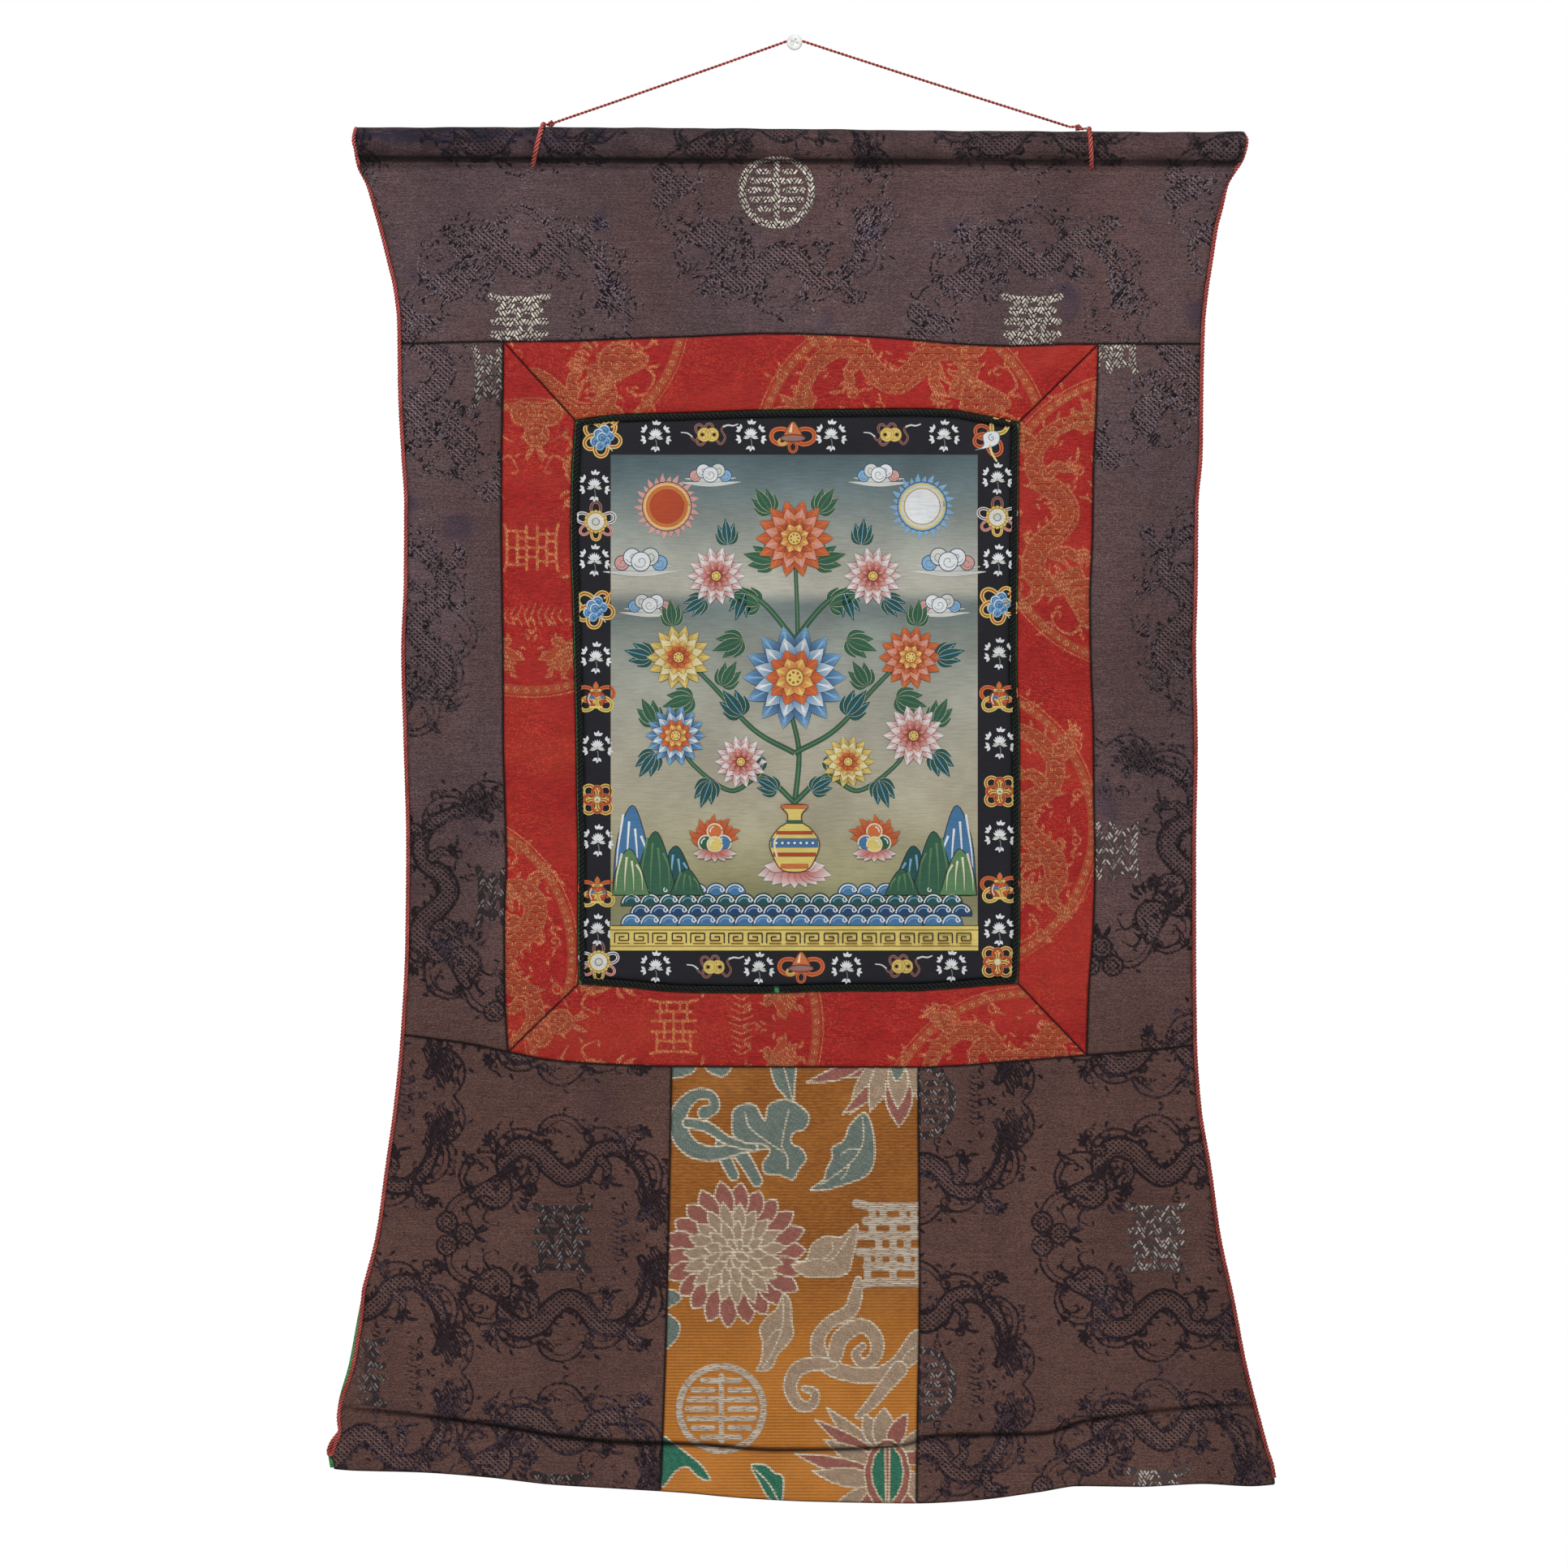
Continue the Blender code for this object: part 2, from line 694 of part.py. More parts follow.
def rod(finish):
    """The stick in the sleeve."""
    left = Vector((ROD_LEFT, ROLL_Y, roll_z(ROD_LEFT))) * MM
    right = Vector((ROD_RIGHT, ROLL_Y, roll_z(ROD_RIGHT))) * MM
    bpy.ops.mesh.primitive_cylinder_add(vertices=24, radius=ROD_RADIUS * MM, depth=(right - left).length)
    made = bpy.context.object
    made.name = "rod"
    made.location = (left + right) / 2
    made.rotation_euler = (right - left).to_track_quat("Z", "Y").to_euler()
    made.data.shade_smooth()
    made.data.set_sharp_from_angle(angle=math.radians(40.0))
    made.data.materials.append(finish)


def piping(side, finish):
    """Twisted cord along one edge, over the roll's end and down to the hem."""
    outward = {"left": -1.0, "right": 1.0}[side]
    edge = {"left": edge_left, "right": edge_right}[side]
    route = []
    widths = []

    def add(y, z):
        half = float(piping_half(z, side))
        wander = float(wander_left(min(max(z, -940.0), -860.0))) if side == "left" else 0.0
        x = float(edge(z)) - outward * (half + wander)
        route.append((x, y, z))
        widths.append(half)

    middle = roll_z({"left": ROD_LEFT, "right": ROD_RIGHT}[side])
    for turn in range(190, 336, 21):
        angle = math.radians(turn)
        add(ROLL_Y + SLEEVE_RADIUS * math.sin(angle), middle - SLEEVE_RADIUS * math.cos(angle))
    heights = [-85.5, -90.0, -96.0, -104.0, -114.0, -126.0, -140.0]
    heights += list(np.linspace(-160.0, -930.0, 36))
    heights += [z for z in (-945.0, -955.0, -963.0, -970.0, -981.0) if z > PIPING_END[side] + 3.0]
    heights.append(PIPING_END[side])
    for z in heights:
        x = float(edge(z)) - outward * PIPING_RADIUS
        proud = PIPING_PROUD * float(ramp(-z, 80.0, 88.0)) + float(piping_half(z, side)) - PIPING_RADIUS
        add(float(sheet_y(x, z)) - proud, z)
    tube_object(f"{side}_piping", route, PIPING_RADIUS, finish, 1, widths=widths)


def hanging_cord(finish):
    """The cord from knot to knot over the screw."""
    tube_object("hanging_cord", smooth_route(CORD_ROUTE, CORD_STEP), CORD_RADIUS, finish, 2)


def tie(name, top_x, foot_x, finish):
    """A loop over the roll, whose two ends meet the cloth just under it."""
    wrap = SLEEVE_RADIUS + CLOTH / 2 + FIT_GAP + TIE_RADIUS + float(roll_swell(top_x))
    section = [(TAIL_OFF + CLOTH / 2 + FIT_GAP, TIE_FOOT)]
    section += [(-dy, dz) for dy, dz in reversed(TIE_TUCK)]
    for i in range(TIE_ARC_STEPS + 1):
        turn = math.radians(35.0 + 290.0 * i / TIE_ARC_STEPS)
        section.append((wrap * math.sin(turn), -wrap * math.cos(turn)))
    section += list(TIE_TUCK)
    section.append((SHEET_OFF - CLOTH / 2 - FIT_GAP, TIE_FOOT))
    route = []
    for dy, dz in section:
        drop = (wrap - dz) / (wrap - TIE_FOOT)
        x = top_x + (foot_x - top_x) * drop
        route.append((x, ROLL_Y + dy, roll_z(x) + dz))
    tube_object(name, route, TIE_RADIUS, finish, 1)


def knot(name, ends, profile, finish):
    """A pulled-tight knot, turned about the line between its two ends."""
    start = Vector((ends["start"][0], ROLL_Y, ends["start"][1]))
    end = Vector((ends["end"][0], ROLL_Y, ends["end"][1]))
    run = (end - start).normalized()
    side = Vector((0.0, 1.0, 0.0))
    up = run.cross(side)
    points = []
    for share, radius in profile:
        middle = start.lerp(end, share)
        for k in range(KNOT_SIDES):
            turn = 2 * math.pi * k / KNOT_SIDES
            points.append(middle + radius * (math.cos(turn) * side + math.sin(turn) * up))
    faces = []
    for i in range(len(profile) - 1):
        for k in range(KNOT_SIDES):
            a = i * KNOT_SIDES + k
            b = i * KNOT_SIDES + (k + 1) % KNOT_SIDES
            faces.append((a, b, b + KNOT_SIDES, a + KNOT_SIDES))
    last = (len(profile) - 1) * KNOT_SIDES
    faces.append(tuple(reversed(range(KNOT_SIDES))))
    faces.append(tuple(range(last, last + KNOT_SIDES)))
    mesh_object(name, points, faces, finish)


def wall_screw(finish):
    """The screw: a turned head and shank with a cross recess in the head."""
    front = HEAD_BACK - HEAD_DEPTH
    profile = (
        (0.0, SHANK_RADIUS),
        (HEAD_BACK, SHANK_RADIUS),
        (HEAD_BACK, HEAD_RADIUS - 0.3),
        (HEAD_BACK - 0.4, HEAD_RADIUS),
        (HEAD_BACK - 1.2, HEAD_RADIUS - 0.15),
        (HEAD_BACK - 2.2, HEAD_RADIUS - 1.1),
        (front + 0.3, HEAD_RADIUS - 2.2),
        (front, HEAD_RADIUS - 3.6),
    )
    sides = 24
    points = []
    for y, radius in profile:
        for k in range(sides):
            turn = 2 * math.pi * k / sides
            points.append((radius * math.cos(turn), y, radius * math.sin(turn)))
    faces = []
    for i in range(len(profile) - 1):
        for k in range(sides):
            a = i * sides + k
            b = i * sides + (k + 1) % sides
            faces.append((a, b, b + sides, a + sides))
    last = (len(profile) - 1) * sides
    faces.append(tuple(range(sides)))
    faces.append(tuple(range(last, last + sides)))
    screw = mesh_object("wall_screw", points, faces, finish)
    for turn in (0.0, 90.0):
        bpy.ops.mesh.primitive_cube_add(size=1.0)
        cutter = bpy.context.object
        cutter.name = f"recess_{turn:.0f}"
        cutter.scale = (RECESS_LENGTH * MM, 2 * RECESS_DEPTH * MM, RECESS_WIDTH * MM)
        cutter.location = (0.0, front * MM, 0.0)
        cutter.rotation_euler = (0.0, math.radians(turn + 20.0), 0.0)
        cutter.hide_render = True
        cutter.display_type = "WIRE"
        cut = screw.modifiers.new(cutter.name, "BOOLEAN")
        cut.operation = "DIFFERENCE"
        cut.object = cutter


def main():
    """Clear the scene and make every piece."""
    for old in list(bpy.data.objects):
        bpy.data.objects.remove(old, do_unlink=True)
    dark = material("dark_brocade", (0.085, 0.065, 0.068), 0.6)
    red = material("red_brocade", (0.38, 0.035, 0.022), 0.55)
    gold = material("gold_brocade", (0.38, 0.15, 0.018), 0.5)
    canvas = material("painted_canvas", (0.32, 0.33, 0.28), 0.8)
    black_cord = material("black_cord", (0.01, 0.01, 0.011), 0.7)
    red_cord = material("red_cord", (0.42, 0.06, 0.05), 0.6)
    green = material("green_lining", (0.05, 0.18, 0.07), 0.8)
    wood = material("wood", (0.35, 0.22, 0.11), 0.6)
    white_metal = material("white_screw", (0.85, 0.85, 0.84), 0.35)

    rod(wood)
    top_panel(dark)
    dark_panels(dark)
    red_border(red)
    door_panel(gold)
    painting(canvas)
    edging_cord(black_cord)
    lining(green)
    piping("left", red_cord)
    piping("right", red_cord)
    hanging_cord(red_cord)
    for name, top_x, foot_x in TIES[1]:
        tie(name, top_x, foot_x, red_cord)
    knot("knot_left", KNOT_LEFT, KNOT_LUMP, red_cord)
    knot("knot_right", KNOT_RIGHT, KNOT_WITH_TAIL, red_cord)
    wall_screw(white_metal)


main()
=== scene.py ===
"""The looks of a thangka scroll painting that hangs by its cord from a wall screw.

Tables and sizes are in millimetres, and become metres where a mesh is made.
+Z is up, +Y points at the wall, and the origin is the screw's wall end.
"""

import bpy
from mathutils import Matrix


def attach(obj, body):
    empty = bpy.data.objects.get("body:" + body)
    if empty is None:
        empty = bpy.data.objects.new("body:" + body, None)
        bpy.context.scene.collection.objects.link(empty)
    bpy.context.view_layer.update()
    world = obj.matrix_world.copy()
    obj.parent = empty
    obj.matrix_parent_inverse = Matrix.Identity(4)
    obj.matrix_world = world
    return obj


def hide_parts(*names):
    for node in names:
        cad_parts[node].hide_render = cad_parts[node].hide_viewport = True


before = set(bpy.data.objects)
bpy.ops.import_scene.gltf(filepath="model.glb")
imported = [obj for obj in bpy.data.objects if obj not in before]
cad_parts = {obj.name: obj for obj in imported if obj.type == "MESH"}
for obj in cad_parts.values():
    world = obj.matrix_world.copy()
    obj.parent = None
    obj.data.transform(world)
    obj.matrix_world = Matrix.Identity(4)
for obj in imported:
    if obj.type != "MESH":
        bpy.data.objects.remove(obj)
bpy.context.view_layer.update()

import logging
import math
from dataclasses import dataclass, field
from enum import Enum
from typing import Callable, Optional, Sequence

import bpy
import numpy as np
from mathutils import Vector
from mathutils.geometry import tessellate_polygon

logging.basicConfig(level=logging.INFO, format="%(message)s")
LOG = logging.getLogger("thangka")

MM = 0.001
BODY = "root"
LEAF_STEPS = 7
FAR_AWAY = 99.0
SETTLE_ROUNDS = 12

Array = np.ndarray
Curve = Callable[[Array], Array]
Colour = tuple[float, float, float]
Table = tuple[tuple[str, ...], tuple[tuple, ...]]


# ================================================================ curves

def along(table: Table, key: str, value: str) -> Curve:
    """One column of a table as a smooth function of another.

    Args:
        table: The names of the columns, and the rows.
        key: The column that the curve is read by.
        value: The column that the curve gives.

    Returns:
        A function of an array that keeps each rise and fall of the column.
    """
    names, rows = table
    rows = sorted(rows, key=lambda row: row[names.index(key)])
    at = np.array([row[names.index(key)] for row in rows])
    of = np.array([row[names.index(value)] for row in rows])
    secants = np.diff(of) / np.diff(at)
    before = secants[:-1]
    after = secants[1:]
    level = before * after <= 0.0
    middles = np.where(level, 0.0, 2 * before * after / np.where(level, 1.0, before + after))
    slopes = np.concatenate((secants[:1], middles, secants[-1:]))

    def curve(t: Array) -> Array:
        inside = np.clip(t, at[0], at[-1])
        i = np.clip(np.searchsorted(at, inside) - 1, 0, len(at) - 2)
        step = at[i + 1] - at[i]
        s = (inside - at[i]) / step
        blend = s * s * (3 - 2 * s)
        lean = s * (1 - s) * step * (slopes[i] * (1 - s) - slopes[i + 1] * s)
        past = (t - inside) * np.where(t > inside, slopes[-1], slopes[0])
        return of[i] * (1 - blend) + of[i + 1] * blend + lean + past

    return curve


def moved(curve: Curve, by: float) -> Curve:
    """The same curve, moved sideways."""
    return lambda t: curve(t) + by


def ramp(t: Array, low: float, high: float) -> Array:
    """0 below low, 1 above high, and smooth between."""
    s = np.clip((t - low) / (high - low), 0.0, 1.0)
    return s * s * (3 - 2 * s)


def smooth(points: Sequence, steps: int = 6, closed: bool = False) -> Array:
    """A smooth curve through a few points.

    Args:
        points: The points, of two or three numbers each.
        steps: How many pieces each stretch is cut into.
        closed: Whether the last point joins the first.

    Returns:
        The curve's points, one a row.
    """
    knots = np.array(points, dtype=float)
    if closed:
        ends = np.vstack((knots[-1], knots, knots[0], knots[1]))
    else:
        ends = np.vstack((2 * knots[0] - knots[1], knots, 2 * knots[-1] - knots[-2]))
    s = np.arange(steps)[:, None] / steps
    runs = []
    for i in range(1, len(ends) - 2):
        a, b, c, d = ends[i - 1:i + 3]
        runs.append(0.5 * (2 * b + (c - a) * s + (2 * a - 5 * b + 4 * c - d) * s ** 2
                           + (3 * b - a - 3 * c + d) * s ** 3))
    if not closed:
        runs.append(ends[-2:-1])
    return np.vstack(runs)


def arc(x: float, z: float, radius: float, start: float, end: float,
        steps: int = 16, squash: float = 1.0) -> Array:
    """An arc's points; angles in degrees, anticlockwise from the right."""
    turn = np.radians(np.linspace(start, end, steps + 1))
    return np.stack((x + radius * np.cos(turn), z + radius * squash * np.sin(turn)), axis=1)


def curl(x: float, z: float, radius: float, start: float, turns: float, steps: int = 22) -> Array:
    """A spiral that winds in from a circle's rim to near its middle."""
    share = np.linspace(0.0, 1.0, steps + 1)
    turn = np.radians(start) + 2 * math.pi * turns * share
    reach = radius * (1.0 - 0.86 * share)
    return np.stack((x + reach * np.cos(turn), z + reach * np.sin(turn)), axis=1)


def around(radius: float, turn: float) -> tuple[float, float]:
    """The point of a circle at an angle in radians."""
    return radius * math.cos(turn), radius * math.sin(turn)


def leaf(base: Sequence, tip: Sequence, width: float, bow: float = 0.0) -> tuple[Array, Array]:
    """A pointed leaf or petal.

    Args:
        base: Where it grows from.
        tip: Where it ends.
        width: Its greatest width.
        bow: How far its middle stands to the left of the straight line.

    Returns:
        Its midline, and its half width along it.
    """
    start = np.array(base, dtype=float)
    run = np.array(tip, dtype=float) - start
    side = np.array((-run[1], run[0])) / max(float(np.hypot(*run)), 1e-6)
    s = np.linspace(0.0, 1.0, LEAF_STEPS + 1)
    path = start + run * s[:, None] + side * (bow * 4 * s * (1 - s))[:, None]
    return path, 0.5 * width * np.sin(math.pi * s ** 0.85) + 0.02


def taper(count: int, half: float, start: float = 1.0, end: float = 0.15) -> Array:
    """Half widths that run evenly from one share of a size to another."""
    return half * np.linspace(start, end, count)


# ================================================================ the hanging cloth's form

EDGES: Table = (("z", "left", "right"), (
    (-57.0, -303.0, 306.0),
    (-61.6, -304.4, 309.8),
    (-68.3, -305.2, 313.0),
    (-75.0, -303.9, 311.8),
    (-81.8, -303.3, 309.6),
    (-88.5, -300.9, 305.4),
    (-98.6, -295.7, 299.4),
    (-112.0, -291.8, 296.5),
    (-127.7, -287.3, 292.4),
    (-150.1, -281.7, 289.0),
    (-172.5, -276.6, 285.6),
    (-194.9, -274.4, 283.4),
    (-239.7, -273.8, 282.2),
    (-284.5, -271.6, 281.7),
    (-318.1, -269.6, 278.9),
    (-374.1, -269.9, 278.3),
    (-418.9, -271.6, 277.2),
    (-486.1, -269.9, 278.3),
    (-553.3, -268.2, 277.2),
    (-620.5, -268.8, 277.2),
    (-687.7, -272.2, 277.8),
    (-732.5, -276.6, 280.6),
    (-777.3, -282.8, 287.8),
    (-822.1, -289.0, 294.0),
    (-866.9, -300.2, 303.5),
    (-911.7, -308.6, 311.9),
    (-945.3, -316.5, 320.3),
    (-955.5, -315.2, 323.0),
    (-967.7, -321.6, 325.9),
    (-973.0, -322.8, 328.2),
    (-981.1, -321.4, 330.4),
    (-995.0, -320.0, 332.6),
))

# How far the left piping keeps inside the outline.
PIPING_WANDER: Table = (("z", "inset"), (
    (-860.0, 0.0),
    (-885.0, 2.6),
    (-915.0, 2.9),
    (-943.0, 1.1),
    (-951.0, 0.0),
))

# The left piping's end: it runs on down, turns up outside itself and tucks in. Inset, z and how far back.
PIPING_TURN = (
    (2.2, -957.5, 0.0),
    (3.6, -962.0, 0.0),
    (4.6, -967.0, 0.0),
    (4.5, -971.5, 0.1),
    (3.4, -973.9, 0.2),
    (2.0, -973.2, 0.2),
    (1.5, -970.5, 0.2),
    (1.6, -965.5, 0.3),
    (1.9, -960.5, 1.2),
    (3.0, -957.5, 3.0),
)

BOTTOM: Table = (("x", "z"), (
    (-321.4, -983.4),
    (-301.8, -985.0),
    (-257.0, -986.2),
    (-212.2, -989.5),
    (-167.4, -994.6),
    (-122.6, -997.4),
    (-77.8, -1000.2),
    (-33.0, -1004.1),
    (11.8, -1006.3),
    (79.0, -1007.4),
    (123.8, -1005.2),
    (168.6, -999.6),
    (196.6, -995.4),
    (235.8, -995.7),
    (280.6, -994.0),
    (314.2, -995.6),
    (331.0, -994.4),
))

CREASE: Table = (("x", "z"), (
    (-321.0, -940.0),
    (-268.2, -945.3),
    (-212.2, -952.0),
    (-156.2, -961.0),
    (-120.0, -964.2),
    (-66.6, -966.0),
    (-10.6, -969.9),
    (34.2, -969.4),
    (75.0, -966.6),
    (100.0, -960.2),
    (168.6, -958.8),
    (202.2, -949.8),
    (258.2, -942.5),
    (331.0, -938.0),
))

# How far the cloth hangs forward over the hem's crease.
HEM_FOLD: Table = (("x", "height"), (
    (-321.0, 0.6),
    (-268.0, 2.0),
    (-212.0, 3.6),
    (-150.0, 5.2),
    (-100.0, 5.2),
    (-85.0, 4.4),
    (0.0, 3.0),
    (60.0, 2.2),
    (85.0, 1.8),
    (110.0, 2.8),
    (170.0, 2.6),
    (230.0, 2.2),
    (290.0, 1.6),
    (331.0, 1.0),
))

TOP_SEAM: Table = (("x", "z"), (
    (-274.0, -208.3),
    (-209.4, -206.8),
    (-156.2, -206.4),
    (-122.6, -205.0),
    (-72.2, -203.3),
    (-16.2, -201.2),
    (34.2, -202.5),
    (67.8, -204.4),
    (112.6, -208.3),
    (146.2, -209.8),
    (191.0, -208.5),
    (281.0, -208.3),
))

LOWER_SEAM: Table = (("x", "z"), (
    (-271.0, -684.9),
    (-223.4, -691.4),
    (-198.2, -696.6),
    (-167.4, -702.4),
    (-133.8, -705.0),
    (-83.4, -706.7),
    (84.6, -707.3),
    (112.6, -706.2),
    (146.2, -703.6),
    (202.2, -699.0),
    (247.0, -695.5),
    (277.0, -692.0),
))

BORDER: Table = (("z", "outer_left", "inner_left", "inner_right", "outer_right"), (
    (-207.0, -200.8, -149.0, 154.0, 209.8),
    (-262.1, -201.6, -151.2, 154.6, 207.8),
    (-295.7, -202.2, -153.4, 154.2, 206.1),
    (-340.5, -202.2, -154.3, 154.0, 205.5),
    (-385.3, -201.6, -152.9, 153.4, 203.8),
    (-430.1, -201.0, -151.8, 153.1, 204.4),
    (-474.9, -201.0, -150.6, 155.0, 206.1),
    (-519.7, -199.9, -150.1, 155.1, 206.4),
    (-564.5, -198.8, -149.2, 155.1, 207.2),
    (-609.3, -200.2, -149.4, 155.1, 206.1),
    (-654.1, -199.9, -148.7, 153.6, 202.9),
    (-700.0, -197.4, -148.4, 152.0, 201.4),
))

OPENING: Table = (("x", "top", "bottom"), (
    (-151.0, -261.2, -649.4),
    (-122.6, -257.4, -651.3),
    (-72.2, -255.9, -655.4),
    (-21.8, -254.2, -655.8),
    (28.6, -253.7, -654.5),
    (79.0, -253.2, -654.4),
    (104.2, -253.8, -653.0),
    (129.4, -257.8, -650.9),
    (155.0, -262.6, -649.0),
))

DOOR: Table = (("z", "left", "right"), (
    (-700.0, -84.6, 85.1),
    (-866.9, -87.9, 86.2),
    (-956.5, -90.7, 84.6),
    (-1010.0, -92.9, 83.9),
))

SWELL: Table = (("x", "extra"), (
    (-305.0, 0.0),
    (-150.0, 1.0),
    (0.0, 0.7),
    (120.0, 0.0),
    (280.0, 0.0),
    (308.0, 0.8),
))

# Soft folds: middle, direction, half length, half width and height.
FOLDS: Table = (("x", "z", "turn", "reach", "width", "height"), (
    (-252.0, -770.0, 82.0, 70.0, 9.0, 1.6),
    (-228.0, -745.0, 68.0, 45.0, 10.0, 1.0),
    (232.0, -322.0, -38.0, 30.0, 7.0, 1.1),
    (245.0, -352.0, -30.0, 26.0, 7.0, 0.9),
    (178.0, -222.0, 48.0, 24.0, 6.0, 1.2),
    (-284.0, -92.0, -35.0, 26.0, 6.0, 1.6),
    (-282.0, -890.0, 70.0, 60.0, 12.0, 2.0),
    (262.0, -860.0, 112.0, 70.0, 12.0, 1.5),
    (180.0, -352.0, 8.0, 24.0, 6.0, 0.8),
    (-176.0, -520.0, 86.0, 60.0, 10.0, 0.7),
    (-60.0, -800.0, 80.0, 60.0, 14.0, 1.0),
    (40.0, -130.0, 4.0, 120.0, 12.0, 0.9),
))

# Small creases and ripples that only the finished cloth has, in the same columns.
RIPPLES: Table = (("x", "z", "turn", "reach", "width", "height"), (
    (-270.0, -118.0, -38.0, 22.0, 3.0, 0.7),
    (-262.0, -138.0, -30.0, 26.0, 3.4, 0.5),
    (-20.0, -157.0, 0.0, 190.0, 4.0, 0.45),
    (120.0, -150.0, 2.0, 120.0, 5.0, 0.4),
    (262.0, -128.0, 40.0, 26.0, 3.6, 0.6),
    (-120.0, -214.0, 6.0, 30.0, 4.0, 0.5),
    (60.0, -228.0, -4.0, 60.0, 5.0, -0.4),
    (-175.0, -330.0, 88.0, 50.0, 4.0, 0.4),
    (-168.0, -420.0, 84.0, 44.0, 3.6, -0.4),
    (180.0, -470.0, 92.0, 60.0, 4.2, 0.4),
    (172.0, -600.0, 80.0, 40.0, 3.4, 0.45),
    (-240.0, -300.0, 86.0, 60.0, 5.0, 0.6),
    (-238.0, -560.0, 96.0, 70.0, 5.0, -0.6),
    (243.0, -520.0, 88.0, 60.0, 5.5, 0.6),
    (236.0, -640.0, 70.0, 36.0, 4.0, 0.5),
    (-120.0, -676.0, 4.0, 50.0, 4.0, 0.4),
    (90.0, -684.0, -3.0, 60.0, 4.0, 0.4),
    (-215.0, -712.0, -12.0, 26.0, 3.6, -0.8),
    (-180.0, -718.0, -14.0, 40.0, 3.0, -0.9),
    (-240.0, -860.0, 74.0, 60.0, 6.0, -0.8),
    (-150.0, -930.0, 12.0, 40.0, 4.0, 0.5),
    (150.0, -905.0, -8.0, 50.0, 5.0, 0.5),
    (250.0, -800.0, 104.0, 70.0, 6.0, 0.7),
    (290.0, -920.0, 108.0, 36.0, 4.0, -0.8),
    (-300.0, -955.0, 60.0, 26.0, 4.0, 0.9),
    (10.0, -948.0, 0.0, 70.0, 5.0, 0.5),
    (-40.0, -990.0, 3.0, 60.0, 4.0, -0.4),
    (200.0, -985.0, -2.0, 60.0, 4.5, 0.5),
))

# Puckers along the sewn lines: wave length and height of each set of ripples.
PUCKERS: Table = (("length", "height", "phase"), (
    (31.0, 0.20, 0.4),
    (19.0, 0.14, 2.1),
    (11.5, 0.08, 4.0),
))
PUCKER_REACH = 9.0


def folded(table: Table, x: Array, z: Array) -> Array:
    """The height of a table's soft folds at some places."""
    names, rows = table
    total = 0.0 * x
    for row in rows:
        fold = dict(zip(names, row))
        turn = math.radians(fold["turn"])
        dx = x - fold["x"]
        dz = z - fold["z"]
        length = (dx * math.cos(turn) + dz * math.sin(turn)) / fold["reach"]
        across = (dz * math.cos(turn) - dx * math.sin(turn)) / fold["width"]
        total = total + fold["height"] * np.exp(-length ** 2 - across ** 2)
    return total


edge_left = along(EDGES, "z", "left")
edge_right = along(EDGES, "z", "right")
bottom_line = along(BOTTOM, "x", "z")
crease_line = along(CREASE, "x", "z")
hem_fold = along(HEM_FOLD, "x", "height")
top_seam = along(TOP_SEAM, "x", "z")
lower_seam = along(LOWER_SEAM, "x", "z")
outer_left = along(BORDER, "z", "outer_left")
outer_right = along(BORDER, "z", "outer_right")
inner_left = along(BORDER, "z", "inner_left")
inner_right = along(BORDER, "z", "inner_right")
opening_top = along(OPENING, "x", "top")
opening_bottom = along(OPENING, "x", "bottom")
door_left = along(DOOR, "z", "left")
door_right = along(DOOR, "z", "right")
roll_swell = along(SWELL, "x", "extra")


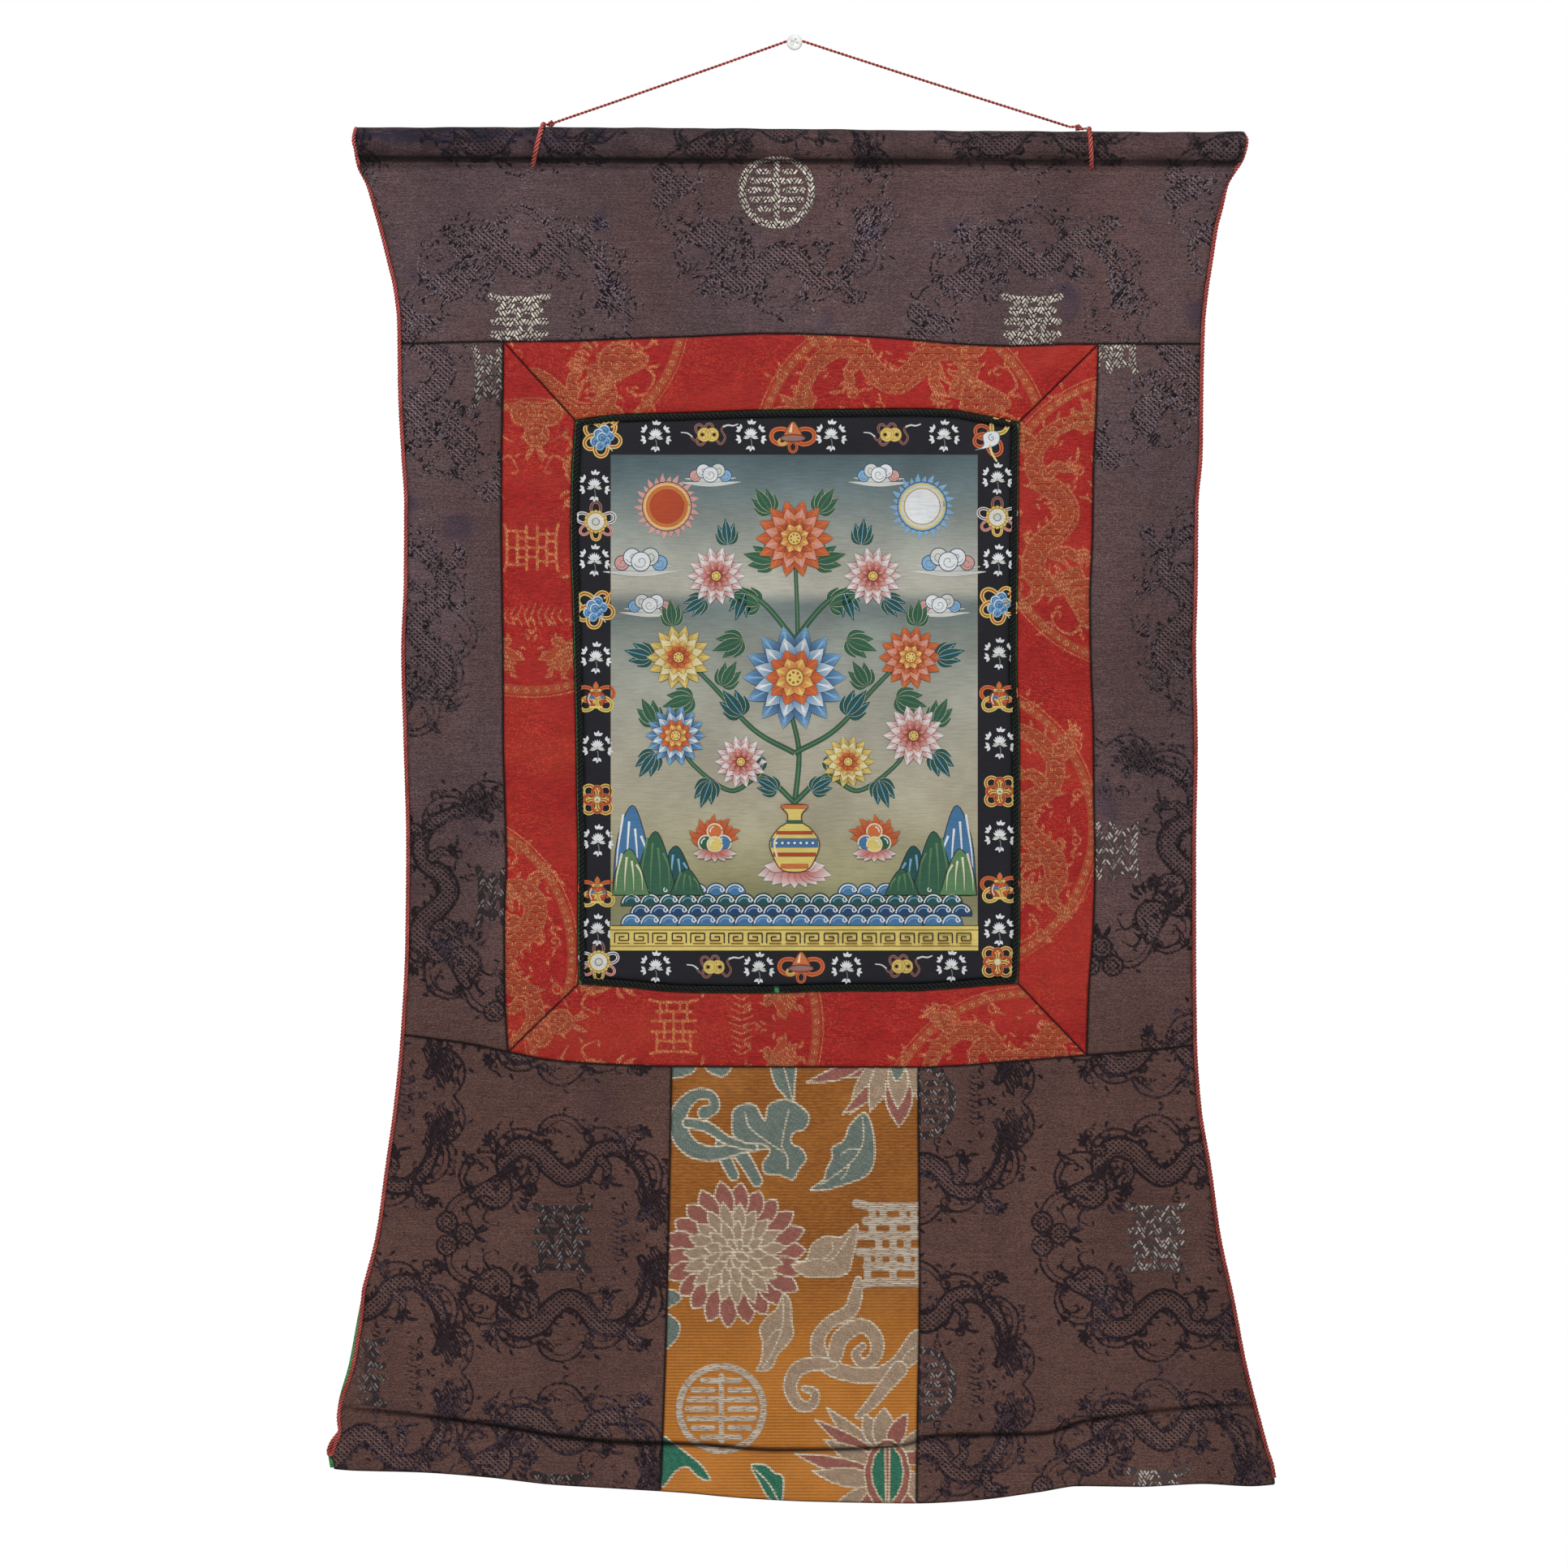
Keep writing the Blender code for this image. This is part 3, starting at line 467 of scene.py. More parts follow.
@dataclass(frozen=True)
class Hanging:
    """The shape in which the cloth hangs, and the sizes that its pieces share."""

    cloth: float = 1.5
    lining: float = 1.0
    piping_radius: float = 1.5
    piping_proud: float = 1.3
    front_inset: float = 1.9
    edging_radius: float = 2.2
    fit_gap: float = 0.3
    rod_radius: float = 9.0
    rod_left: float = -298.5
    rod_right: float = 305.5
    roll_y: float = -15.5
    roll_middle: float = -71.2
    roll_slope: float = -0.0055
    sheet_off: float = -1.5
    sheet_start: float = -14.0
    hem_kick: float = 7.5
    hem_reach: float = 38.0
    bulge: float = 3.4
    bulge_reach: float = 75.0
    corner_curl: float = 4.5
    corner_reach: float = 42.0
    belly: float = 2.4
    puff: float = 0.8
    puff_reach: float = 5.0

    @property
    def sleeve_radius(self) -> float:
        """Radius of the rolled cloth's middle."""
        return self.rod_radius + self.fit_gap + self.cloth / 2

    def roll_z(self, x: Array) -> Array:
        """Height of the rod's middle."""
        return self.roll_middle + self.roll_slope * x

    def large_form(self, x: Array, z: Array) -> Array:
        """Belly, bulge over the hem's crease, hem and corners."""
        below = crease_line(x) - z
        sides = 1.0 - 0.55 * ramp(np.abs(x), 230.0, 320.0)
        kick = self.hem_kick * np.clip(below / self.hem_reach, 0.0, 2.0) ** 1.2
        above = np.clip(-below / self.bulge_reach, 0.0, 1.0)
        bulge = self.bulge * np.sin(math.pi * above ** 0.55)
        belly = self.belly * ramp(-z, 90.0, 330.0) * (1.0 - ramp(-z, 620.0, 900.0)) * np.cos(x / 190.0)
        low = ramp(-z, 850.0, 985.0)
        left_curl = self.corner_curl * np.exp(-((x + 330.0) / self.corner_reach) ** 2) * low
        right_curl = 0.7 * self.corner_curl * np.exp(-((x - 335.0) / self.corner_reach) ** 2) * low
        return ramp(-z, 85.0, 130.0) * ((kick + bulge) * sides + belly + left_curl + right_curl)

    def puckers(self, x: Array, z: Array) -> Array:
        """Small waves along the seams and round the painting."""
        level = np.minimum(np.abs(z - top_seam(x)), np.abs(z - lower_seam(x)))
        level = np.minimum(level, np.minimum(np.abs(z - opening_top(x)), np.abs(z - opening_bottom(x))))
        upright = np.minimum(np.abs(x - inner_left(z)), np.abs(x - inner_right(z)))
        upright = np.minimum(upright, np.minimum(np.abs(x - outer_left(z)), np.abs(x - outer_right(z))))
        upright = np.where((z < -200.0) & (z > -708.0), upright, FAR_AWAY)
        edge = np.minimum(x - edge_left(z), edge_right(z) - x)
        total = 0.0 * x
        for length, height, phase in PUCKERS[1]:
            turn = 2 * math.pi / length
            total = total + height * np.sin(x * turn + phase) * np.exp(-level / PUCKER_REACH)
            total = total + height * np.sin(z * turn + phase) * np.exp(-upright / PUCKER_REACH)
            total = total + 1.4 * height * np.sin(z * turn - phase) * np.exp(-edge / (2 * PUCKER_REACH))
        return total

    def cloth_y(self, x: Array, z: Array) -> Array:
        """Middle of the front cloth, with its small ripples."""
        fine = self.puckers(x, z) + folded(RIPPLES, x, z)
        return self.roll_y + self.sheet_off - self.large_form(x, z) - fine * ramp(-z, 86.0, 112.0)

    def wander(self, z: Array) -> Array:
        """How far the left piping keeps inside the outline."""
        return along(PIPING_WANDER, "z", "inset")(np.clip(z, -951.0, -860.0))

    def front_left(self, z: Array) -> Array:
        """The front cloth's left edge, under the piping."""
        drawn_in = self.wander(z) * ramp(z, -932.0, -916.0) + 2.0 * ramp(-z, 973.0, 978.0)
        return edge_left(z) + self.front_inset + drawn_in

    def front_right(self, z: Array) -> Array:
        """The front cloth's right edge, under the piping."""
        return edge_right(z) - self.front_inset


FORM = Hanging()


# ================================================================ drawing

class Medium:
    """Something that takes marks: a weaver's chart, or paint on canvas."""

    def mark(self, tone: Enum, path: Array, half: Array, level: float, edge: Optional[Enum],
             rim: float, tip: Optional[Enum]) -> None:
        """Take one stroke."""
        raise NotImplementedError

    def area(self, tone: Enum, outline: Array, level: float, edge: Optional[Enum], rim: float) -> None:
        """Take one filled outline."""
        raise NotImplementedError


@dataclass(frozen=True)
class Hand:
    """Draws in a medium at a place, turned, sized and perhaps mirrored."""

    medium: Medium
    x: float = 0.0
    z: float = 0.0
    turn: float = 0.0
    size: float = 1.0
    flip: bool = False

    def place(self, points: Array) -> Array:
        """A motif's own points, in the medium's."""
        near = np.array(points, dtype=float) * self.size
        if self.flip:
            near[:, 0] *= -1.0
        turn = math.radians(self.turn)
        return np.stack((self.x + near[:, 0] * math.cos(turn) - near[:, 1] * math.sin(turn),
                         self.z + near[:, 0] * math.sin(turn) + near[:, 1] * math.cos(turn)), axis=1)

    def at(self, x: float, z: float, turn: float = 0.0, size: float = 1.0, flip: bool = False) -> "Hand":
        """Another hand, placed within this one."""
        middle = self.place(np.array([(x, z)]))[0]
        lean = -turn if self.flip else turn
        return Hand(self.medium, float(middle[0]), float(middle[1]), self.turn + lean,
                    self.size * size, self.flip != flip)

    def mark(self, tone: Enum, path: Array, half: object, level: float = 0.0,
             edge: Optional[Enum] = None, rim: float = 0.5, tip: Optional[Enum] = None) -> None:
        """Draw a stroke.

        Args:
            tone: Its yarn or paint.
            path: Its midline.
            half: Its half width, one number or one for each point.
            level: How far it lies over what is under it.
            edge: What it is outlined in.
            rim: How broad that outline is.
            tip: The paint that it shades into at its end.
        """
        widths = np.broadcast_to(np.asarray(half, dtype=float), (len(path),)) * self.size
        self.medium.mark(tone, self.place(path), widths, level, edge, rim * self.size, tip)

    def area(self, tone: Enum, outline: Array, level: float = 0.0,
             edge: Optional[Enum] = None, rim: float = 0.5) -> None:
        """Draw a filled outline."""
        self.medium.area(tone, self.place(outline), level, edge, rim * self.size)

    def leaf(self, tone: Enum, base: Sequence, tip: Sequence, width: float, bow: float = 0.0,
             level: float = 0.0, edge: Optional[Enum] = None, rim: float = 0.5,
             end: Optional[Enum] = None) -> None:
        """Draw a pointed leaf or petal."""
        path, half = leaf(base, tip, width, bow)
        self.mark(tone, path, half, level, edge, rim, end)

    def disc(self, tone: Enum, x: float, z: float, radius: float, level: float = 0.0,
             edge: Optional[Enum] = None, rim: float = 0.5) -> None:
        """Draw a round spot."""
        self.area(tone, arc(x, z, radius, 0.0, 345.0, 23), level, edge, rim)


class Chart(Medium):
    """A weaver's chart: for each yarn, how far each point lies outside its figure."""

    FAR = 4.0

    def __init__(self, left: float, right: float, low: float, high: float, yarns: Sequence[Enum],
                 pitch: float = 0.5) -> None:
        """An empty chart over a rectangle, in millimetres."""
        self.left = left
        self.low = low
        self.pitch = pitch
        shape = (int((high - low) / pitch) + 1, int((right - left) / pitch) + 1)
        self.depth = {yarn: np.full(shape, self.FAR, np.float32) for yarn in yarns}
        self.shape = shape

    def _window(self, low: Array, high: Array, reach: float) -> Optional[tuple[slice, slice, Array, Array]]:
        """The part of the chart near a box, and its places."""
        a = np.floor((low - reach - (self.left, self.low)) / self.pitch).astype(int)
        b = np.ceil((high + reach - (self.left, self.low)) / self.pitch).astype(int) + 1
        a = np.maximum(a, 0)
        b = np.minimum(b, (self.shape[1], self.shape[0]))
        if (b <= a).any():
            return None
        x = self.left + self.pitch * np.arange(a[0], b[0])[None, :]
        z = self.low + self.pitch * np.arange(a[1], b[1])[:, None]
        return slice(a[1], b[1]), slice(a[0], b[0]), x, z

    @staticmethod
    def _to_segment(x: Array, z: Array, a: Array, b: Array, ra: float, rb: float) -> Array:
        """Distance from a segment whose thickness changes along it."""
        run = b - a
        s = ((x - a[0]) * run[0] + (z - a[1]) * run[1]) / max(float(run @ run), 1e-9)
        s = np.clip(s, 0.0, 1.0)
        return np.hypot(x - a[0] - run[0] * s, z - a[1] - run[1] * s) - (ra + (rb - ra) * s)

    def _lay(self, spot: tuple[slice, slice], yarn: Enum, near: Array,
             edge: Optional[Enum], rim: float, hide: bool) -> None:
        """Put a figure into the chart, over what is there."""
        if hide:
            for other, depth in self.depth.items():
                if other is not yarn:
                    depth[spot] = np.maximum(depth[spot], (rim if edge else 0.0) - near)
        self.depth[yarn][spot] = np.minimum(self.depth[yarn][spot], near)
        if edge:
            self.depth[edge][spot] = np.minimum(self.depth[edge][spot], np.abs(near) - rim)

    def mark(self, tone: Enum, path: Array, half: Array, level: float, edge: Optional[Enum],
             rim: float, tip: Optional[Enum]) -> None:
        """Weave one stroke; a level above 0 hides what is under it."""
        found = self._window(path.min(0), path.max(0), self.FAR + float(half.max()))
        if found is None:
            return
        rows, columns, x, z = found
        near = np.full((x + z).shape, self.FAR, np.float32)
        for a, b, ra, rb in zip(path, path[1:], half, half[1:]):
            part = self._window(np.minimum(a, b), np.maximum(a, b), self.FAR + max(ra, rb))
            if part is None:
                continue
            r0, c0, px, pz = part
            spot = (slice(r0.start - rows.start, r0.stop - rows.start),
                    slice(c0.start - columns.start, c0.stop - columns.start))
            near[spot] = np.minimum(near[spot], self._to_segment(px, pz, a, b, ra, rb))
        self._lay((rows, columns), tone, near, edge, rim, level > 0)

    def area(self, tone: Enum, outline: Array, level: float, edge: Optional[Enum], rim: float) -> None:
        """Weave one filled outline; a level above 0 hides what is under it."""
        found = self._window(outline.min(0), outline.max(0), self.FAR)
        if found is None:
            return
        rows, columns, x, z = found
        near = np.full((x + z).shape, self.FAR * 3, np.float32)
        inside = np.zeros(near.shape, bool)
        for a, b in zip(outline, np.roll(outline, -1, axis=0)):
            near = np.minimum(near, self._to_segment(x, z, a, b, 0.0, 0.0))
            if a[1] != b[1]:
                crosses = ((z < a[1]) != (z < b[1])) & (x < a[0] + (z - a[1]) * (b[0] - a[0]) / (b[1] - a[1]))
                inside ^= crosses
        self._lay((rows, columns), tone, np.where(inside, -near, near), edge, rim, level > 0)

    def read(self, x: Array, z: Array) -> dict[Enum, Array]:
        """Each yarn's distance at some places, far outside the chart's own."""
        column = (x - self.left) / self.pitch
        row = (z - self.low) / self.pitch
        out = (column < 0) | (row < 0) | (column > self.shape[1] - 1.001) | (row > self.shape[0] - 1.001)
        column = np.clip(column, 0, self.shape[1] - 1.001)
        row = np.clip(row, 0, self.shape[0] - 1.001)
        i = row.astype(int)
        j = column.astype(int)
        di = row - i
        dj = column - j
        found = {}
        for yarn, depth in self.depth.items():
            value = ((depth[i, j] * (1 - dj) + depth[i, j + 1] * dj) * (1 - di)
                     + (depth[i + 1, j] * (1 - dj) + depth[i + 1, j + 1] * dj) * di)
            found[yarn] = np.where(out, self.FAR, value)
        return found


@dataclass(frozen=True)
class Repeat:
    """Where one repeat of a chart falls on a panel."""

    chart: Chart
    x: float
    z: float
    turn: int = 0
    flip: bool = False

    def read(self, x: Array, z: Array) -> dict[Enum, Array]:
        """The chart's yarns at some places of the panel."""
        dx = x - self.x
        dz = z - self.z
        for _ in range(self.turn):
            dx, dz = dz, -dx
        return self.chart.read(-dx if self.flip else dx, dz)


# ================================================================ node trees

def lights(colours: Sequence) -> Array:
    """Screen colours of 0 to 255, one a row, as light with full alpha."""
    parts = np.asarray(colours, dtype=float) / 255.0
    light = np.where(parts <= 0.04045, parts / 12.92, ((parts + 0.055) / 1.055) ** 2.4)
    return np.concatenate((light, np.ones((len(light), 1))), axis=1)


def linear(colour: Colour) -> tuple[float, ...]:
    """One screen colour as light, for a shader."""
    return tuple(lights([colour])[0].tolist())


class Signal:
    """A node's output, with arithmetic that adds math nodes."""

    def __init__(self, net: "Net", socket: bpy.types.NodeSocket) -> None:
        """Hold a socket of a net."""
        self.net = net
        self.socket = socket

    def __add__(self, other: object) -> "Signal":
        """The sum."""
        return self.net.calc("ADD", self, other)

    def __sub__(self, other: object) -> "Signal":
        """The difference."""
        return self.net.calc("SUBTRACT", self, other)

    def __rsub__(self, other: object) -> "Signal":
        """The difference from something."""
        return self.net.calc("SUBTRACT", other, self)

    def __mul__(self, other: object) -> "Signal":
        """The product."""
        return self.net.calc("MULTIPLY", self, other)

    def __truediv__(self, other: object) -> "Signal":
        """The quotient."""
        return self.net.calc("DIVIDE", self, other)

    __radd__ = __add__
    __rmul__ = __mul__


class Net:
    """Builds a node tree in few words."""

    def __init__(self, tree: bpy.types.NodeTree) -> None:
        """Hold a tree."""
        self.tree = tree

    def node(self, kind: str, inputs: Optional[dict] = None, **settings: object) -> bpy.types.Node:
        """Add a node.

        Args:
            kind: Its type's name.
            inputs: Values or signals for its inputs, by name or number.
            **settings: Its properties.

        Returns:
            The node.
        """
        made = self.tree.nodes.new(kind)
        for name, value in settings.items():
            setattr(made, name, value)
        for key, value in (inputs or {}).items():
            self.feed(made.inputs[key], value)
        return made

    def feed(self, socket: bpy.types.NodeSocket, value: object) -> None:
        """Give an input a signal or a constant."""
        if isinstance(value, Signal):
            self.tree.links.new(value.socket, socket)
        else:
            socket.default_value = value

    def calc(self, operation: str, *values: object) -> Signal:
        """A math node's result."""
        made = self.node("ShaderNodeMath", dict(enumerate(values)), operation=operation)
        return Signal(self, made.outputs[0])

    def rise(self, value: Signal, low: float, high: float) -> Signal:
        """0 at low and 1 at high, and smooth between."""
        made = self.node("ShaderNodeMapRange", {0: value, 1: low, 2: high}, interpolation_type="SMOOTHSTEP")
        return Signal(self, made.outputs[0])

    def mix(self, share: object, first: object, second: object, blend: str = "MIX") -> Signal:
        """A colour between two."""
        made = self.node("ShaderNodeMix", {0: share, 6: first, 7: second}, data_type="RGBA", blend_type=blend)
        return Signal(self, made.outputs[2])

    def attribute(self, name: str, output: str = "Fac") -> Signal:
        """A piece's own attribute."""
        return Signal(self, self.node("ShaderNodeAttribute", attribute_name=name).outputs[output])

    def scaled(self, vector: Signal, by: tuple[float, float, float]) -> Signal:
        """A vector with each part scaled."""
        made = self.node("ShaderNodeVectorMath", {0: vector, 1: by}, operation="MULTIPLY")
        return Signal(self, made.outputs[0])

    def parts(self, vector: Signal) -> list[Signal]:
        """A vector's three parts."""
        made = self.node("ShaderNodeSeparateXYZ", {0: vector})
        return [Signal(self, made.outputs[i]) for i in range(3)]

    def joined(self, x: object, y: object, z: object = 0.0) -> Signal:
        """A vector of three parts."""
        return Signal(self, self.node("ShaderNodeCombineXYZ", {0: x, 1: y, 2: z}).outputs[0])

    def noise(self, vector: Signal, scale: float, detail: float = 2.0, rough: float = 0.5) -> Signal:
        """Smooth noise of about 0 to 1."""
        made = self.node("ShaderNodeTexNoise", {"Vector": vector, "Scale": scale, "Detail": detail,
                                                "Roughness": rough})
        return Signal(self, made.outputs["Fac"])

    def random(self, vector: Signal) -> Signal:
        """An even random number for each whole cell."""
        return Signal(self, self.node("ShaderNodeTexWhiteNoise", {"Vector": vector}).outputs["Value"])

    def millimetres(self) -> Signal:
        """The place on the object, in millimetres."""
        place = Signal(self, self.node("ShaderNodeTexCoord").outputs["Object"])
        return self.scaled(place, (1 / MM, 1 / MM, 1 / MM))

    def bump(self, height: Signal, depth: float) -> Signal:
        """A normal for a relief of some depth in millimetres."""
        made = self.node("ShaderNodeBump", {"Height": height, "Distance": depth * MM})
        return Signal(self, made.outputs["Normal"])

    def dimmed(self, share: object, colour: Signal, by: Colour) -> Signal:
        """A colour, multiplied by another in some share."""
        return self.mix(share, colour, self.mix(1.0, colour, (*by, 1.0), "MULTIPLY"))

    def use(self, group: bpy.types.NodeTree, **inputs: object) -> bpy.types.Node:
        """Place a shared group with its values."""
        made = self.node("ShaderNodeGroup", node_tree=group)
        for name, value in inputs.items():
            self.feed(made.inputs[name.replace("_", " ").capitalize()], value)
        return made


class Shared:
    """The effects that more than one finish uses, each a node group."""

    def __init__(self) -> None:
        """Build the groups once."""
        self.floats = self._floats()
        self.grain = self._grain()
        self.soil_and_shade = self._soil_and_shade()
        self.weave = self._weave()

    @staticmethod
    def _start(name: str, inputs: dict[str, object], outputs: Sequence[str]) -> tuple[Net, dict, Callable]:
        """A new group's net, its input signals and what sets its outputs."""
        tree = bpy.data.node_groups.new(name, "ShaderNodeTree")
        for key, value in inputs.items():
            kind = {tuple: "NodeSocketVector", str: "NodeSocketColor"}.get(type(value), "NodeSocketFloat")
            made = tree.interface.new_socket(key, in_out="INPUT", socket_type=kind)
            if kind == "NodeSocketFloat":
                made.default_value = value
        for key in outputs:
            kind = "NodeSocketColor" if key == "Colour" else "NodeSocketFloat"
            tree.interface.new_socket(key, in_out="OUTPUT", socket_type=kind)
        net = Net(tree)
        source = net.node("NodeGroupInput")
        sink = net.node("NodeGroupOutput")

        def give(key: str, value: Signal) -> None:
            net.feed(sink.inputs[key], value)

        return net, {key: Signal(net, source.outputs[key]) for key in inputs}, give

    def _floats(self) -> bpy.types.NodeTree:
        """Short slanted threads that lie on the cloth, row by row."""
        net, given, give = self._start(
            "floats", {"Place": (0, 0, 0), "Length": 2.4, "Width": 0.8, "Slant": 0.0}, ("Shape", "Tone"))
        x, z, _ = net.parts(given["Place"])
        cosine = net.calc("COSINE", given["Slant"])
        sine = net.calc("SINE", given["Slant"])
        run = (x * cosine + z * sine) / given["Length"]
        across = (z * cosine - x * sine) / given["Width"]
        row = net.calc("FLOOR", across)
        shift = net.random(net.joined(row, 7.0))
        run = run + shift
        cell = net.calc("FLOOR", run)
        give("Tone", net.random(net.joined(cell, row, 3.0)))
        u = (run - cell) * 2.0 - 1.0
        v = (across - row) * 2.0 - 1.0
        end = net.calc("POWER", net.calc("ABSOLUTE", u), 4.0)
        give("Shape", (1.0 - end) * (1.0 - v * v))
        return net.tree

    def _grain(self) -> bpy.types.NodeTree:
        """Slubs: noise drawn out along the threads."""
        net, given, give = self._start(
            "slubs", {"Place": (0, 0, 0), "Length": 4.0, "Width": 0.9}, ("Value",))
        x, z, _ = net.parts(given["Place"])
        place = net.joined(x / given["Length"], z / given["Width"], 1.7)
        give("Value", net.noise(place, 1.0, 3.0, 0.65))
        return net.tree

    def _weave(self) -> bpy.types.NodeTree:
        """Plain weave: two sets of threads that pass over each other."""
        net, given, give = self._start("plain_weave", {"Place": (0, 0, 0), "Pitch": 0.5}, ("Height",))
        x, z, _ = net.parts(given["Place"])
        u = x * math.pi / given["Pitch"]
        v = z * math.pi / given["Pitch"]
        over = net.calc("SINE", u) * net.calc("SINE", v)
        give("Height", over * 0.5 + 0.5)
        return net.tree

    def _soil_and_shade(self) -> bpy.types.NodeTree:
        """Age: mottling; and darkening along the seams, which is dark joins and also painted shade: a painted
        shadow line in the hem's crease and under the roll, and shade beside the cords and round the painting.
        """
        net, given, give = self._start(
            "age", {"Colour": "", "Place": (0, 0, 0), "Seam": FAR_AWAY, "Amount": 0.3}, ("Colour",))
        broad = net.noise(given["Place"], 0.011, 4.0, 0.6)
        small = net.noise(given["Place"], 0.09, 3.0, 0.6)
        mottle = net.rise(broad * 0.6 + small * 0.4, 0.36, 0.66)
        # Painted shade: cloth within about 2 mm of a seam, crease or cord is darkened.
        near = 1.0 - net.rise(given["Seam"], 0.1, 1.9)
        shade = (1.0 - mottle) * given["Amount"] + near * 0.8
        dark = net.mix(1.0, given["Colour"], (0.30, 0.27, 0.27, 1.0), "MULTIPLY")
        grime_and_shade = net.mix(net.calc("MINIMUM", shade, 0.9), given["Colour"], dark)
        # Nearly black line: stitching at the seams, and painted shadow in the hem's crease and under the
        # roll.
        seam_and_shadow_line = (1.0 - net.rise(given["Seam"], 0.1, 0.8)) * 0.7
        give("Colour", net.mix(seam_and_shadow_line, grime_and_shade, (0.006, 0.005, 0.006, 1.0)))
        return net.tree


class Yarn(Enum):
    """What a chart's figures are woven in; the values name mesh attributes."""

    FIGURE = "figure"
    SCALES = "scales"
    SHADE = "shade"
    CREAM = "cream"
    TEAL = "teal"
    PINK = "pink"
    BEIGE = "beige"
    GREEN = "green"
    OUTLINE = "outline"


SILKS = (Yarn.FIGURE, Yarn.SCALES, Yarn.SHADE, Yarn.CREAM)
FLOWERS = (Yarn.TEAL, Yarn.PINK, Yarn.BEIGE, Yarn.GREEN, Yarn.CREAM, Yarn.OUTLINE)


def blank(name: str, roughness: float, sheen: float = 0.0, specular: float = 0.3) -> tuple:
    """A new material, its net and its shader."""
    made = bpy.data.materials.new(name)
    made.use_nodes = True
    shader = made.node_tree.nodes["Principled BSDF"]
    shader.inputs["Roughness"].default_value = roughness
    shader.inputs["Sheen Weight"].default_value = sheen
    shader.inputs["Specular IOR Level"].default_value = specular
    return made, Net(made.node_tree), shader


def woven(net: Net, yarn: Yarn, soft: float = 0.3) -> Signal:
    """1 inside a yarn's figures and 0 outside."""
    return 1.0 - net.rise(net.attribute(yarn.value), -soft, soft)


